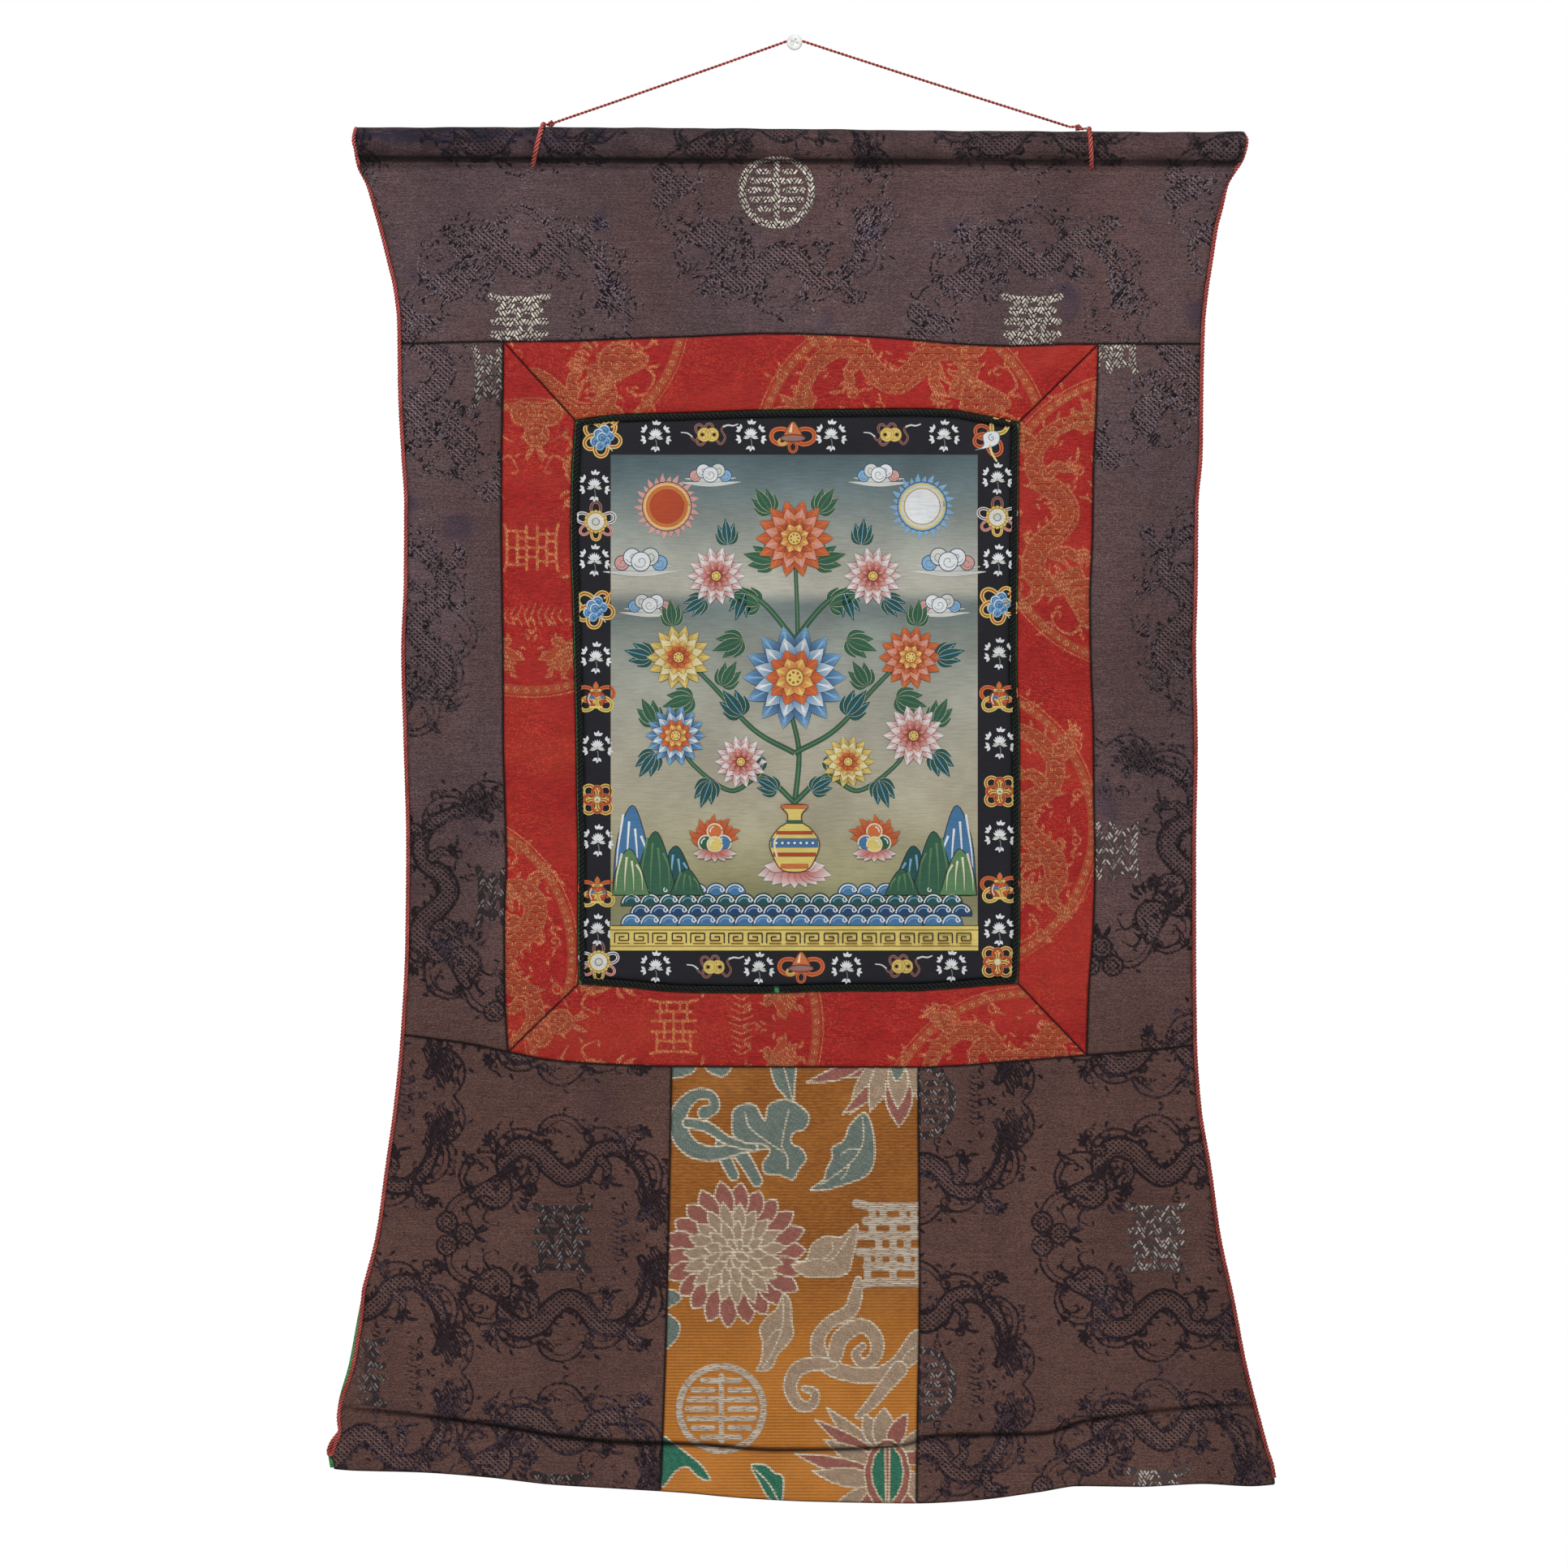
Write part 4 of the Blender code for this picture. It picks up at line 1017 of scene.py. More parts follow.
class Finishes:
    """Every material of the scroll."""

    def __init__(self) -> None:
        """Build the shared groups and then the materials."""
        self.shared = Shared()
        self.dark = self._dark_brocade()
        self.red = self._red_brocade()
        self.gold = self._gold_brocade()
        self.canvas = self._painted("painted_canvas", True)
        self.paint = self._painted("paint", False)
        self.green = self._lining()
        self.red_cord = self._cord("red_cord", (156, 50, 46), (240, 122, 110))
        self.black_cord = self._cord("black_cord", (8, 8, 10), (26, 26, 30))
        self.wood = self._wood()
        self.enamel = self._enamel()

    def _floats(self, net: Net, place: Signal, length: float, width: float, slant: float) -> tuple:
        """The shape and tone of short threads on the cloth."""
        made = net.use(self.shared.floats, place=place, length=length, width=width, slant=math.radians(slant))
        return Signal(net, made.outputs["Shape"]), Signal(net, made.outputs["Tone"])

    def _slubs(self, net: Net, place: Signal, length: float, width: float) -> Signal:
        """Noise drawn out along the threads."""
        made = net.use(self.shared.grain, place=place, length=length, width=width)
        return Signal(net, made.outputs["Value"])

    def _aged_and_shaded(self, net: Net, colour: Signal, place: Signal, amount: float) -> Signal:
        """A colour with its mottling, and the darkening along the seams: dark joins, and painted shade in
        creases, under the roll and beside the cords.
        """
        made = net.use(self.shared.soil_and_shade, colour=colour, place=place, seam=net.attribute("seam"),
                       amount=amount)
        return Signal(net, made.outputs["Colour"])

    @staticmethod
    def _staggered(net: Net, x: Signal, z: Signal) -> Signal:
        """Rows of small lozenges, every other row moved by half."""
        return net.calc("SINE", x * (2 * math.pi / 4.0)) * net.calc("SINE", z * (2 * math.pi / 3.6))

    def _herringbone(self, net: Net, place: Signal, x: Signal) -> tuple:
        """Thick slanted floats that change their slant from column to column."""
        left, tone = self._floats(net, place, 5.2, 2.0, 56.0)
        right, other = self._floats(net, place, 5.2, 2.0, -56.0)
        side = net.calc("GREATER_THAN", net.calc("SINE", x * (2 * math.pi / 11.0)), 0.0)
        return left * side + right * (1.0 - side), tone * side + other * (1.0 - side)

    def _dark_brocade(self) -> bpy.types.Material:
        """Brown and black figured silk, with painted highlights on its floats and painted shade of soft
        folds.
        """
        made, net, shader = blank("dark_brocade", 0.66, 0.03, 0.18)
        place = net.attribute("cloth", "Vector")
        x, z, _ = net.parts(place)
        upper = net.rise(z, -760.0, -420.0)
        broad = net.noise(place, 0.006, 3.0, 0.6)
        patchy = net.noise(place, 0.02, 2.0, 0.5)
        slubs = self._slubs(net, place, 1.9, 0.5)
        long_slubs = self._slubs(net, place, 22.0, 0.8)
        specks = net.noise(net.joined(x, z * 1.5), 0.95, 2.0, 0.8)
        grain = net.rise(slubs * 0.45 + long_slubs * 0.15 + specks * 0.4, 0.36, 0.64)
        grey = net.mix(grain, linear((42, 30, 32)), linear((127, 102, 106)))
        brown = net.mix(grain, linear((48, 32, 29)), linear((127, 90, 81)))
        worn = net.rise(broad, 0.42, 0.62)
        ground = net.mix(net.calc("MAXIMUM", 1.0 - upper, worn * 0.5), grey, brown)

        rising, tone = self._floats(net, place, 2.5, 1.0, 50.0)
        falling, other = self._floats(net, place, 2.5, 1.0, -42.0)
        way = net.rise(net.noise(place, 0.024, 1.0, 0.5), 0.44, 0.47)
        shape = rising * way + falling * (1.0 - way)
        tone = tone * way + other * (1.0 - way)
        # Painted highlight on the floats: brighter high up, in patches and near the hem, and dimmer on the
        # roll.
        pale = net.rise(z, -620.0, -230.0)
        float_highlight = net.calc("MINIMUM", pale * 0.62 + 0.12 + net.rise(patchy, 0.5, 0.62) * 0.28, 1.0)
        rolled = net.rise(z, -91.0, -85.0)
        float_highlight = float_highlight * (1.0 - rolled * 0.7) + (1.0 - net.rise(z, -950.0, -890.0)) * 0.22
        fleck_highlight = net.rise(shape, 0.2, 0.7) * net.rise(tone, 0.1, 0.8) * float_highlight
        violet = net.mix(fleck_highlight, linear((35, 20, 25)), linear((134, 110, 126)))
        float_colour = net.mix(upper, violet, net.mix(fleck_highlight, linear((27, 18, 22)), linear((164, 141, 148))))
        jitter = net.noise(place, 0.35, 1.0, 0.5) * 2.4
        dots = self._staggered(net, x + jitter, z + jitter * 0.6)
        # Painted highlight: a light fleck beside each dark dot of the mesh, so that the dots look raised.
        glints = self._staggered(net, x + jitter - 0.7, z + jitter * 0.6 - 0.8)
        mesh = net.mix(net.rise(glints, 0.1, 0.5) * float_highlight * 0.8, ground, linear((158, 135, 142)))
        mesh = net.mix(net.rise(dots, 0.05, 0.35), mesh, linear((38, 29, 33)))
        stripes = net.rise(net.calc("SINE", (x + z * 0.55) * (2 * math.pi / 2.6)), -0.4, 0.2)
        ragged = (net.noise(place, 1.1, 2.0, 0.6) - 0.5) * 0.7
        figure = 1.0 - net.rise(net.attribute(Yarn.FIGURE.value) + ragged, -0.2, 0.2)
        scales = woven(net, Yarn.SCALES)
        inside = net.calc("MAXIMUM", figure, woven(net, Yarn.SHADE) * stripes)
        colour = net.mix(inside, net.mix(scales, ground, mesh), float_colour)

        left_end = 1.0 - net.rise(x, -250.0, -60.0)
        on_top = net.rise(z, -71.0, -64.0)
        crown = on_top * net.rise(net.noise(net.joined(x, z * 3.0), 0.05, 2.0, 0.6), 0.4, 0.56)
        stain = net.rise(patchy, 0.64, 0.74) * (0.15 + upper * 0.35) + crown * (left_end * 0.8 + 0.1)
        stain = net.calc("MINIMUM", stain * net.rise(slubs, 0.3, 0.6), 1.0)
        colour = net.mix(stain, colour, linear((36, 40, 76)))
        blotched = net.rise(net.noise(place, 0.045, 2.0, 0.6), 0.42, 0.58)
        colour = net.dimmed(rolled * (left_end * 0.3 + 0.2 + blotched * 0.3), colour, (0.34, 0.28, 0.30))

        bones, bone_tone = self._herringbone(net, place, x)
        high = net.rise(z, -260.0, -190.0)
        silver = net.rise(x, 60.0, 200.0)
        low_under = net.mix(silver, linear((58, 46, 48)), linear((86, 71, 70)))
        low_thread = net.mix(silver, linear((140, 128, 126)), linear((200, 188, 178)))
        under = net.mix(high, low_under, linear((64, 50, 50)))
        thread = net.mix(high, low_thread, linear((255, 244, 226)))
        lit = net.rise(bones, 0.38, 0.7) * (high * 0.6 + net.rise(bone_tone, 0.3, 0.9) * (1.0 - high * 0.6))
        fringe = (1.0 - net.rise(z, -760.0, -700.0)) * (1.0 - net.rise(x, -306.0, -290.0))
        cream = woven(net, Yarn.CREAM, 0.35) * (1.0 - fringe * 0.95)
        colour = net.mix(cream, colour, net.mix(lit, under, thread))
        # Painted shade of soft upright folds: broad upright bands darkened in places.
        painted_fold_shade = net.rise(net.noise(net.joined(x, z * 0.22), 0.013, 2.0, 0.5), 0.38, 0.62)
        colour = net.dimmed((1.0 - painted_fold_shade) * 0.3, colour, (0.45, 0.42, 0.44))
        colour = self._aged_and_shaded(net, colour, place, 0.26)
        height = grain * 0.35 + inside * (0.2 + shape * 0.8) - scales * dots * 0.3 + cream * bones * 1.4
        net.feed(shader.inputs["Base Color"], colour)
        net.feed(shader.inputs["Roughness"], 0.72 - grain * 0.12 - fleck_highlight * 0.2)
        net.feed(shader.inputs["Normal"], net.bump(height, 0.6))
        return made

    def _red_brocade(self) -> bpy.types.Material:
        """Red silk with peach and brown figures."""
        made, net, shader = blank("red_brocade", 0.56, 0.03, 0.2)
        place = net.attribute("cloth", "Vector")
        x, z, _ = net.parts(place)
        slubs = self._slubs(net, place, 5.0, 0.6)
        grain = net.rise(slubs, 0.34, 0.66)
        ground = net.mix(grain, linear((134, 14, 15)), linear((176, 32, 28)))
        specks, speck_tone = self._floats(net, place, 1.1, 0.8, 0.0)
        speckled = net.rise(net.noise(place, 0.03, 2.0, 0.5), 0.4, 0.6)
        speckled = specks * net.rise(speck_tone, 0.6, 1.0) * (speckled * 0.35 + 0.15)
        ground = net.mix(speckled, ground, linear((222, 104, 62)))
        # Broad level bands lightened towards orange.
        lighter_bands = net.rise(net.noise(net.joined(x * 0.35, z), 0.012, 3.0, 0.6), 0.45, 0.7)
        ground = net.mix(lighter_bands * 0.25, ground, linear((192, 74, 48)))

        shape, tone = self._floats(net, net.joined(z, x), 3.0, 1.1, 8.0)
        lit = net.rise(shape, 0.25, 0.7) * (0.4 + tone * 0.6)
        thread = net.mix(lit, linear((146, 56, 32)), linear((240, 154, 104)))
        rubbed = net.rise(net.noise(place, 0.14, 2.0, 0.6), 0.36, 0.52)
        figure = woven(net, Yarn.FIGURE, 0.35) * net.rise(shape, 0.08, 0.4) * (0.6 + rubbed * 0.4)

        row = net.calc("FLOOR", z / 5.0)
        shift = net.calc("FRACT", row * 0.5)
        u = net.calc("FRACT", x / 7.6 + shift) * 2.0 - 1.0
        v = net.calc("FRACT", z / 5.0) * 2.0 - 1.0
        dome = 1.0 - u * u * 0.9 - net.calc("POWER", net.calc("MAXIMUM", v, 0.0), 2.0) * 0.95
        gaps = net.rise(dome, 0.04, 0.2)
        comb = gaps * (1.0 - net.rise(dome, 0.42, 0.78)) * net.rise(v, -0.7, -0.1)
        ribs = net.calc("SINE", z * (2 * math.pi / 1.3)) * 0.5 + 0.5
        fill = net.mix(ribs, linear((132, 44, 26)), linear((178, 78, 46)))
        shade_colour = net.mix(shape * 0.4, fill, linear((206, 110, 68)))
        scale_colour = net.mix(gaps, ground, net.mix(comb, fill, thread))
        shade = woven(net, Yarn.SHADE)

        colour = net.mix(shade * 0.7, ground, shade_colour)
        scaled = woven(net, Yarn.SCALES)
        colour = net.mix(scaled, colour, scale_colour)
        colour = net.mix(figure, colour, thread)
        cream = woven(net, Yarn.CREAM, 0.3) * net.rise(shape, 0.15, 0.6) * (0.25 + tone * 0.6)
        colour = net.mix(cream, colour, linear((220, 160, 96)))
        colour = self._aged_and_shaded(net, colour, place, 0.22)
        height = slubs * 0.25 + (figure + shade * 0.4) * shape + scaled * gaps * (0.4 + comb * shape)
        net.feed(shader.inputs["Base Color"], colour)
        net.feed(shader.inputs["Roughness"], 0.64 - shape * figure * 0.2)
        net.feed(shader.inputs["Normal"], net.bump(height, 0.4))
        return made

    def _gold_brocade(self) -> bpy.types.Material:
        """Ochre silk with flowers in several yarns, outlined in cream."""
        made, net, shader = blank("gold_brocade", 0.56, 0.03, 0.22)
        place = net.attribute("cloth", "Vector")
        x, z, _ = net.parts(place)
        slubs = self._slubs(net, place, 4.0, 0.7)
        lines = net.calc("SINE", z * (2 * math.pi / 2.15)) * 0.5 + 0.5
        posts = net.calc("SINE", x * (2 * math.pi / 1.5)) * 0.5 + 0.5
        netted = net.rise(net.noise(place, 0.016, 2.0, 0.5), 0.4, 0.6)
        ground = net.mix(net.rise(slubs, 0.3, 0.7), linear((132, 76, 20)), linear((176, 108, 38)))
        lower = net.mix(slubs, linear((168, 98, 24)), linear((222, 144, 56)))
        ground = net.mix(1.0 - net.rise(z, -940.0, -820.0), ground, lower)
        ground = net.mix(lines * (0.34 + posts * netted * 0.4), ground, linear((92, 50, 16)))
        gleam = net.rise(net.noise(place, 0.02, 2.0, 0.5), 0.5, 0.75)
        ground = net.mix(gleam * 0.25, ground, linear((196, 132, 60)))

        shape, tone = self._floats(net, place, 2.6, 0.8, -34.0)
        steps = net.calc("SINE", z * (2 * math.pi / 2.15)) * 0.28
        ragged = (net.noise(place, 1.3, 1.0, 0.5) - 0.5) * 0.6 + steps
        colour = ground
        raised = None
        for yarn, low, high in ((Yarn.TEAL, (74, 88, 84), (134, 146, 134)),
                                (Yarn.PINK, (118, 64, 60), (180, 116, 100)),
                                (Yarn.BEIGE, (128, 102, 84), (196, 170, 142)),
                                (Yarn.GREEN, (22, 78, 64), (64, 138, 108))):
            inside = 1.0 - net.rise(net.attribute(yarn.value) + ragged, -0.2, 0.2)
            fill = net.mix(shape * 0.55 + tone * 0.4, linear(low), linear(high))
            colour = net.mix(inside, colour, fill)
            raised = inside if raised is None else raised + inside
        bead = 2 * math.pi / 1.9
        beads = net.calc("SINE", (x + z) * bead) * net.calc("SINE", (x - z) * bead)
        outline = 1.0 - net.rise(net.attribute(Yarn.OUTLINE.value) + ragged - beads * 0.5, -0.2, 0.2)
        colour = net.mix(outline, colour, net.mix(tone, linear((222, 196, 156)), linear((255, 244, 222))))
        satin, satin_tone = self._floats(net, place, 13.0, 0.95, 0.0)
        cream = woven(net, Yarn.CREAM, 0.45)
        thread = net.mix(satin * (0.55 + satin_tone * 0.45), linear((150, 110, 70)), linear((255, 246, 228)))
        colour = net.mix(cream, colour, thread)
        colour = self._aged_and_shaded(net, colour, place, 0.18)
        height = lines * 0.25 + raised * (0.4 + shape * 0.6) + outline * 1.1 + cream * satin * 1.6
        net.feed(shader.inputs["Base Color"], colour)
        net.feed(shader.inputs["Roughness"], 0.62 - cream * 0.12)
        net.feed(shader.inputs["Normal"], net.bump(height, 0.4))
        return made

    def _painted(self, name: str, primed: bool) -> bpy.types.Material:
        """Matte paint on primed cotton."""
        made, net, shader = blank(name, 0.78, 0.0, 0.25)
        place = net.millimetres()
        x, _, z = net.parts(place)
        flat = net.joined(x, z)
        weave = Signal(net, net.use(self.shared.weave, place=flat, pitch=0.55).outputs["Height"])
        grain = net.noise(flat, 1.6, 2.0, 0.6)
        broad = net.noise(flat, 0.03, 3.0, 0.6)
        streaks = net.noise(net.joined(x * 0.07, z), 1.1, 3.0, 0.6)
        shade = net.rise(grain * 0.35 + broad * 0.3 + streaks * 0.35, 0.38, 0.62)
        tint = net.attribute("tint", "Color")
        dull = net.mix(1.0, tint, (0.72, 0.70, 0.70, 1.0), "MULTIPLY")
        colour = net.mix(shade, dull, tint)
        if primed:
            colour = self._aged_and_shaded(net, colour, flat, 0.12)
        net.feed(shader.inputs["Base Color"], colour)
        net.feed(shader.inputs["Normal"], net.bump(weave * 0.6 + grain * 0.4, 0.06))
        return made

    def _lining(self) -> bpy.types.Material:
        """Plain green cotton."""
        made, net, shader = blank("green_lining", 0.8, 0.1)
        place = net.attribute("cloth", "Vector")
        weave = Signal(net, net.use(self.shared.weave, place=place, pitch=0.7).outputs["Height"])
        slubs = self._slubs(net, place, 8.0, 0.8)
        colour = net.mix(net.rise(slubs, 0.3, 0.7), linear((52, 128, 70)), linear((96, 176, 108)))
        colour = self._aged_and_shaded(net, colour, place, 0.2)
        net.feed(shader.inputs["Base Color"], colour)
        net.feed(shader.inputs["Normal"], net.bump(weave * 0.6 + slubs * 0.4, 0.12))
        return made

    def _cord(self, name: str, dark: Colour, light: Colour) -> bpy.types.Material:
        """Twisted thread, whose fibres run along each strand, with painted shade in the grooves between
        strands.
        """
        made, net, shader = blank(name, 0.6, 0.05, 0.25)
        place = net.attribute("cloth", "Vector")
        fibre = self._slubs(net, place, 2.4, 0.16)
        worn = net.noise(net.millimetres(), 0.05, 2.0, 0.6)
        share = net.rise(fibre * 0.7 + worn * 0.3, 0.34, 0.68)
        colour = net.mix(share, linear(dark), linear(light))
        x, _, z = net.parts(net.millimetres())
        # Darker towards the right and the bottom.
        darker_right_and_low = net.rise(x, -120.0, 320.0) * (1.0 - net.rise(z, -900.0, 80.0))
        colour = net.dimmed(darker_right_and_low * 0.6, colour, (0.54, 0.46, 0.46))
        # Painted shade: darker where a strand's surface lies near the cord's middle, in the grooves.
        groove_shade = 1.0 - net.rise(net.parts(place)[2], 0.62, 0.94)
        net.feed(shader.inputs["Base Color"], net.dimmed(groove_shade * 0.85, colour, (0.20, 0.14, 0.14)))
        net.feed(shader.inputs["Normal"], net.bump(fibre, 0.1))
        return made

    def _wood(self) -> bpy.types.Material:
        """A bare softwood stick."""
        made, net, shader = blank("wood", 0.65)
        x, y, z = net.parts(net.millimetres())
        grain = net.noise(net.joined(x * 0.02, y, z), 0.9, 3.0, 0.6)
        colour = net.mix(net.rise(grain, 0.35, 0.65), linear((118, 82, 50)), linear((176, 134, 88)))
        net.feed(shader.inputs["Base Color"], colour)
        net.feed(shader.inputs["Normal"], net.bump(grain, 0.2))
        return made

    def _enamel(self) -> bpy.types.Material:
        """The screw's white enamel, a little grey where it is handled."""
        made, net, shader = blank("white_screw", 0.32, 0.0, 0.5)
        grime = net.noise(net.millimetres(), 0.5, 3.0, 0.6)
        net.feed(shader.inputs["Base Color"],
                 net.mix(net.rise(grime, 0.45, 0.75) * 0.5, linear((240, 240, 238)), linear((178, 176, 172))))
        return made


# ================================================================ woven figures

class Rim(Enum):
    """How a roundel is edged."""

    ROPE = "rope"
    BEADS = "beads"


@dataclass(frozen=True)
class Roundel:
    """Two mirrored dragons in clouds round a medallion."""

    radius: float
    rim: Rim
    line: float

    def draw(self, hand: Hand) -> None:
        """Weave the whole roundel."""
        for mirrored in (False, True):
            half = hand.at(0.0, 0.0, 180.0 if mirrored else 0.0, self.radius / 86.0, flip=mirrored)
            self._clouds(half)
            self._dragon(half)
            self._edge(half)
        middle = hand.at(0.0, 0.0, 0.0, self.radius / 86.0)
        self._pearl(middle.at(-74.0, 3.0))
        self._spine(middle.at(40.0, 0.0))

    def _edge(self, hand: Hand) -> None:
        """Half the rim, either scallops of rope or a string of beads."""
        if self.rim is Rim.BEADS:
            hand.mark(Yarn.FIGURE, arc(0.0, 0.0, 88.0, 0.0, 180.0, 60), 0.5)
            for k in range(44):
                turn = math.radians(2.0 + k * 4.09)
                hand.disc(Yarn.FIGURE, *around(84.0, turn), 2.0)
            hand.mark(Yarn.SHADE, arc(0.0, 0.0, 84.0, 0.0, 180.0, 60), 2.6)
            return
        for k in range(7):
            turn = 168.0 - 25.5 * k
            out = 78.0 + 3.0 * (k % 2)
            piece = hand.at(*around(out, math.radians(turn)), turn - 90.0)
            path = smooth([(19.0, -9.0), (12.0, 0.0), (2.0, 4.0), (-9.0, 1.0), (-14.0, -6.0)], 5)
            for a, b in zip(path[:-1], path[1:]):
                slant = 0.45 * np.array((a[1] - b[1], b[0] - a[0]))
                piece.leaf(Yarn.FIGURE, a - slant, b + slant, 1.7)
            piece.mark(Yarn.FIGURE, smooth([(15.0, -9.0), (9.0, -3.0), (1.0, 0.0), (-6.0, -3.0)], 5), 0.55)
            piece.mark(Yarn.FIGURE, curl(-10.0, -7.0, 4.2, 170.0, 1.2), 0.65)
            piece.leaf(Yarn.FIGURE, (3.0, 6.0), (8.0, 9.5), 2.2, 0.6)

    def _clouds(self, hand: Hand) -> None:
        """Small curls and tufts that fill the ground."""
        spots = ((-22.0, 28.0, 20.0), (14.0, 27.0, 70.0), (30.0, 36.0, 140.0), (-8.0, 74.0, -30.0),
                 (48.0, 74.0, 10.0), (72.0, 46.0, 60.0), (-62.0, 54.0, 110.0), (20.0, 76.0, 190.0),
                 (-46.0, 72.0, 40.0), (70.0, 16.0, 90.0))
        for x, z, turn in spots:
            tuft = hand.at(x, z, turn)
            tuft.mark(Yarn.FIGURE, curl(0.0, 0.0, 4.0, 0.0, 1.2), 0.6)
            tuft.leaf(Yarn.FIGURE, (-3.0, -3.0), (-9.0, -6.0), 2.4, 1.0)
            tuft.leaf(Yarn.FIGURE, (2.0, -4.5), (7.0, -7.5), 2.2, -0.8)
            tuft.leaf(Yarn.FIGURE, (3.6, 2.0), (9.0, 2.6), 1.8, 0.6)
        for k in range(84):
            turn = 180.0 * math.modf(k * 0.7549)[0]
            out = 43.0 + 36.0 * math.modf(k * 0.5698)[0]
            flake = hand.at(*around(out, math.radians(turn)), turn + 90.0 + 28.0 * (k % 5 - 2))
            flake.leaf(Yarn.FIGURE, (-2.6, 0.0), (2.6, 0.5), 1.8, 0.9)

    def _dragon(self, hand: Hand) -> None:
        """One dragon, its head on the left."""
        body = smooth([(-33.0, 38.0), (-39.0, 51.0), (-31.0, 62.0), (-17.0, 60.0), (-7.0, 49.0),
                       (4.0, 42.0), (15.0, 47.0), (24.0, 59.0), (38.0, 62.0), (51.0, 53.0),
                       (58.0, 39.0), (60.0, 26.0), (55.0, 14.0)], 6)
        share = np.linspace(0.0, 1.0, len(body))
        half = 5.2 + 2.6 * np.sin(math.pi * share ** 0.8) - 3.2 * share
        run = np.gradient(body, axis=0)
        run /= np.linalg.norm(run, axis=1)[:, None]
        side = np.stack((-run[:, 1], run[:, 0]), axis=1)
        for i in range(3, len(body) - 3, 3):
            root = body[i] + side[i] * (half[i] - 0.5)
            tip = body[i] + side[i] * (half[i] + 4.5) + run[i] * 3.5
            hand.leaf(Yarn.FIGURE, root, tip, 2.0, 0.7)
        hand.mark(Yarn.SCALES, body, half, 1.0, Yarn.FIGURE, self.line)
        hand.mark(Yarn.FIGURE, body - side * (half * 0.55)[:, None], 0.45)
        for k in range(7):
            fan = math.radians(-64.0 + 26.0 * k)
            tip = (57.0 + 20.0 * math.cos(fan), 22.0 + 20.0 * math.sin(fan))
            hand.leaf(Yarn.SHADE, (57.0, 20.0), tip, 5.4, 1.5, 0.0, Yarn.FIGURE, 0.55)
        for leg in ((-20.0, 50.0, -96.0), (27.0, 54.0, -70.0), (46.0, 64.0, 40.0), (-38.0, 60.0, 150.0)):
            self._leg(hand.at(*leg))
        self._head(hand.at(-42.0, 30.0))

    def _leg(self, hand: Hand) -> None:
        """A leg and its four claws."""
        path = smooth([(0.0, 0.0), (7.0, 2.5), (12.0, -1.0)], 5)
        hand.mark(Yarn.SCALES, path, taper(len(path), 3.4, 1.0, 0.55), 1.0, Yarn.FIGURE, 0.7)
        for k in range(4):
            fan = math.radians(-52.0 + 34.0 * k)
            hand.leaf(Yarn.FIGURE, (12.0, -1.0),
                      (12.0 + 8.5 * math.cos(fan), -1.0 + 8.5 * math.sin(fan)), 2.5, 1.0)

    def _head(self, hand: Hand) -> None:
        """A horned head with its mane and whiskers."""
        for k in range(9):
            fan = math.radians(-58.0 + 19.0 * k)
            reach = 19.0 + 3.0 * (k % 2)
            root = (4.0 + 9.0 * math.cos(fan), 2.0 + 9.0 * math.sin(fan))
            hand.leaf(Yarn.FIGURE, root, (4.0 + reach * math.cos(fan), 2.0 + reach * math.sin(fan)),
                      2.6, 1.6 if k > 4 else -1.6)
        face = smooth([(6.0, 10.0), (-2.0, 13.0), (-10.0, 9.0), (-19.0, 4.0), (-21.0, -2.0), (-15.0, -4.0),
                       (-9.0, -8.0), (0.0, -9.0), (7.0, -2.0)], 4, closed=True)
        hand.area(Yarn.SCALES, face, 1.0, Yarn.FIGURE, 0.9)
        hand.mark(Yarn.FIGURE, smooth([(-19.0, -3.0), (-11.0, -1.0), (-5.0, -4.0)], 5), 0.8)
        hand.disc(Yarn.FIGURE, -3.0, 4.5, 2.4)
        hand.mark(Yarn.FIGURE, smooth([(-7.0, 8.5), (-2.0, 10.0), (2.0, 7.0)], 5), 0.8)
        for rise in (0.0, 4.0):
            horn = smooth([(1.0, 11.0 + rise * 0.4), (7.0, 18.0 + rise), (16.0, 19.0 + rise)], 5)
            hand.mark(Yarn.FIGURE, horn, taper(len(horn), 1.6, 1.0, 0.3))
        for points in (((-18.0, 3.0), (-25.0, 10.0), (-21.0, 19.0), (-14.0, 22.0)),
                       ((-16.0, -5.0), (-24.0, -10.0), (-20.0, -19.0)),
                       ((-8.0, -9.0), (-12.0, -17.0), (-4.0, -22.0))):
            path = smooth(points, 6)
            hand.mark(Yarn.FIGURE, path, taper(len(path), 1.1, 1.0, 0.45))

    def _pearl(self, hand: Hand) -> None:
        """The three-lobed pearl between the two heads."""
        for x, z in ((-5.0, 8.0), (-5.0, -8.0), (7.5, 0.0)):
            hand.disc(Yarn.SCALES, x, z, 7.0, 1.0, Yarn.FIGURE, 0.8)
            hand.mark(Yarn.FIGURE, arc(x, z, 3.6, 0.0, 340.0), 0.6)
        hand.leaf(Yarn.FIGURE, (14.0, 0.0), (25.0, 3.0), 4.5, 1.5)
        hand.leaf(Yarn.FIGURE, (14.0, -1.0), (24.0, -6.0), 3.5, -1.0)

    def _spine(self, hand: Hand) -> None:
        """Ribs that part the two tails."""
        for k in range(-4, 5):
            for way in (-1.0, 1.0):
                rib = np.array([(way * 0.8, 4.0 * k), (way * (7.5 - 0.7 * abs(k)), 4.0 * k + 2.6)])
                hand.mark(Yarn.FIGURE, rib, (0.7, 0.4))


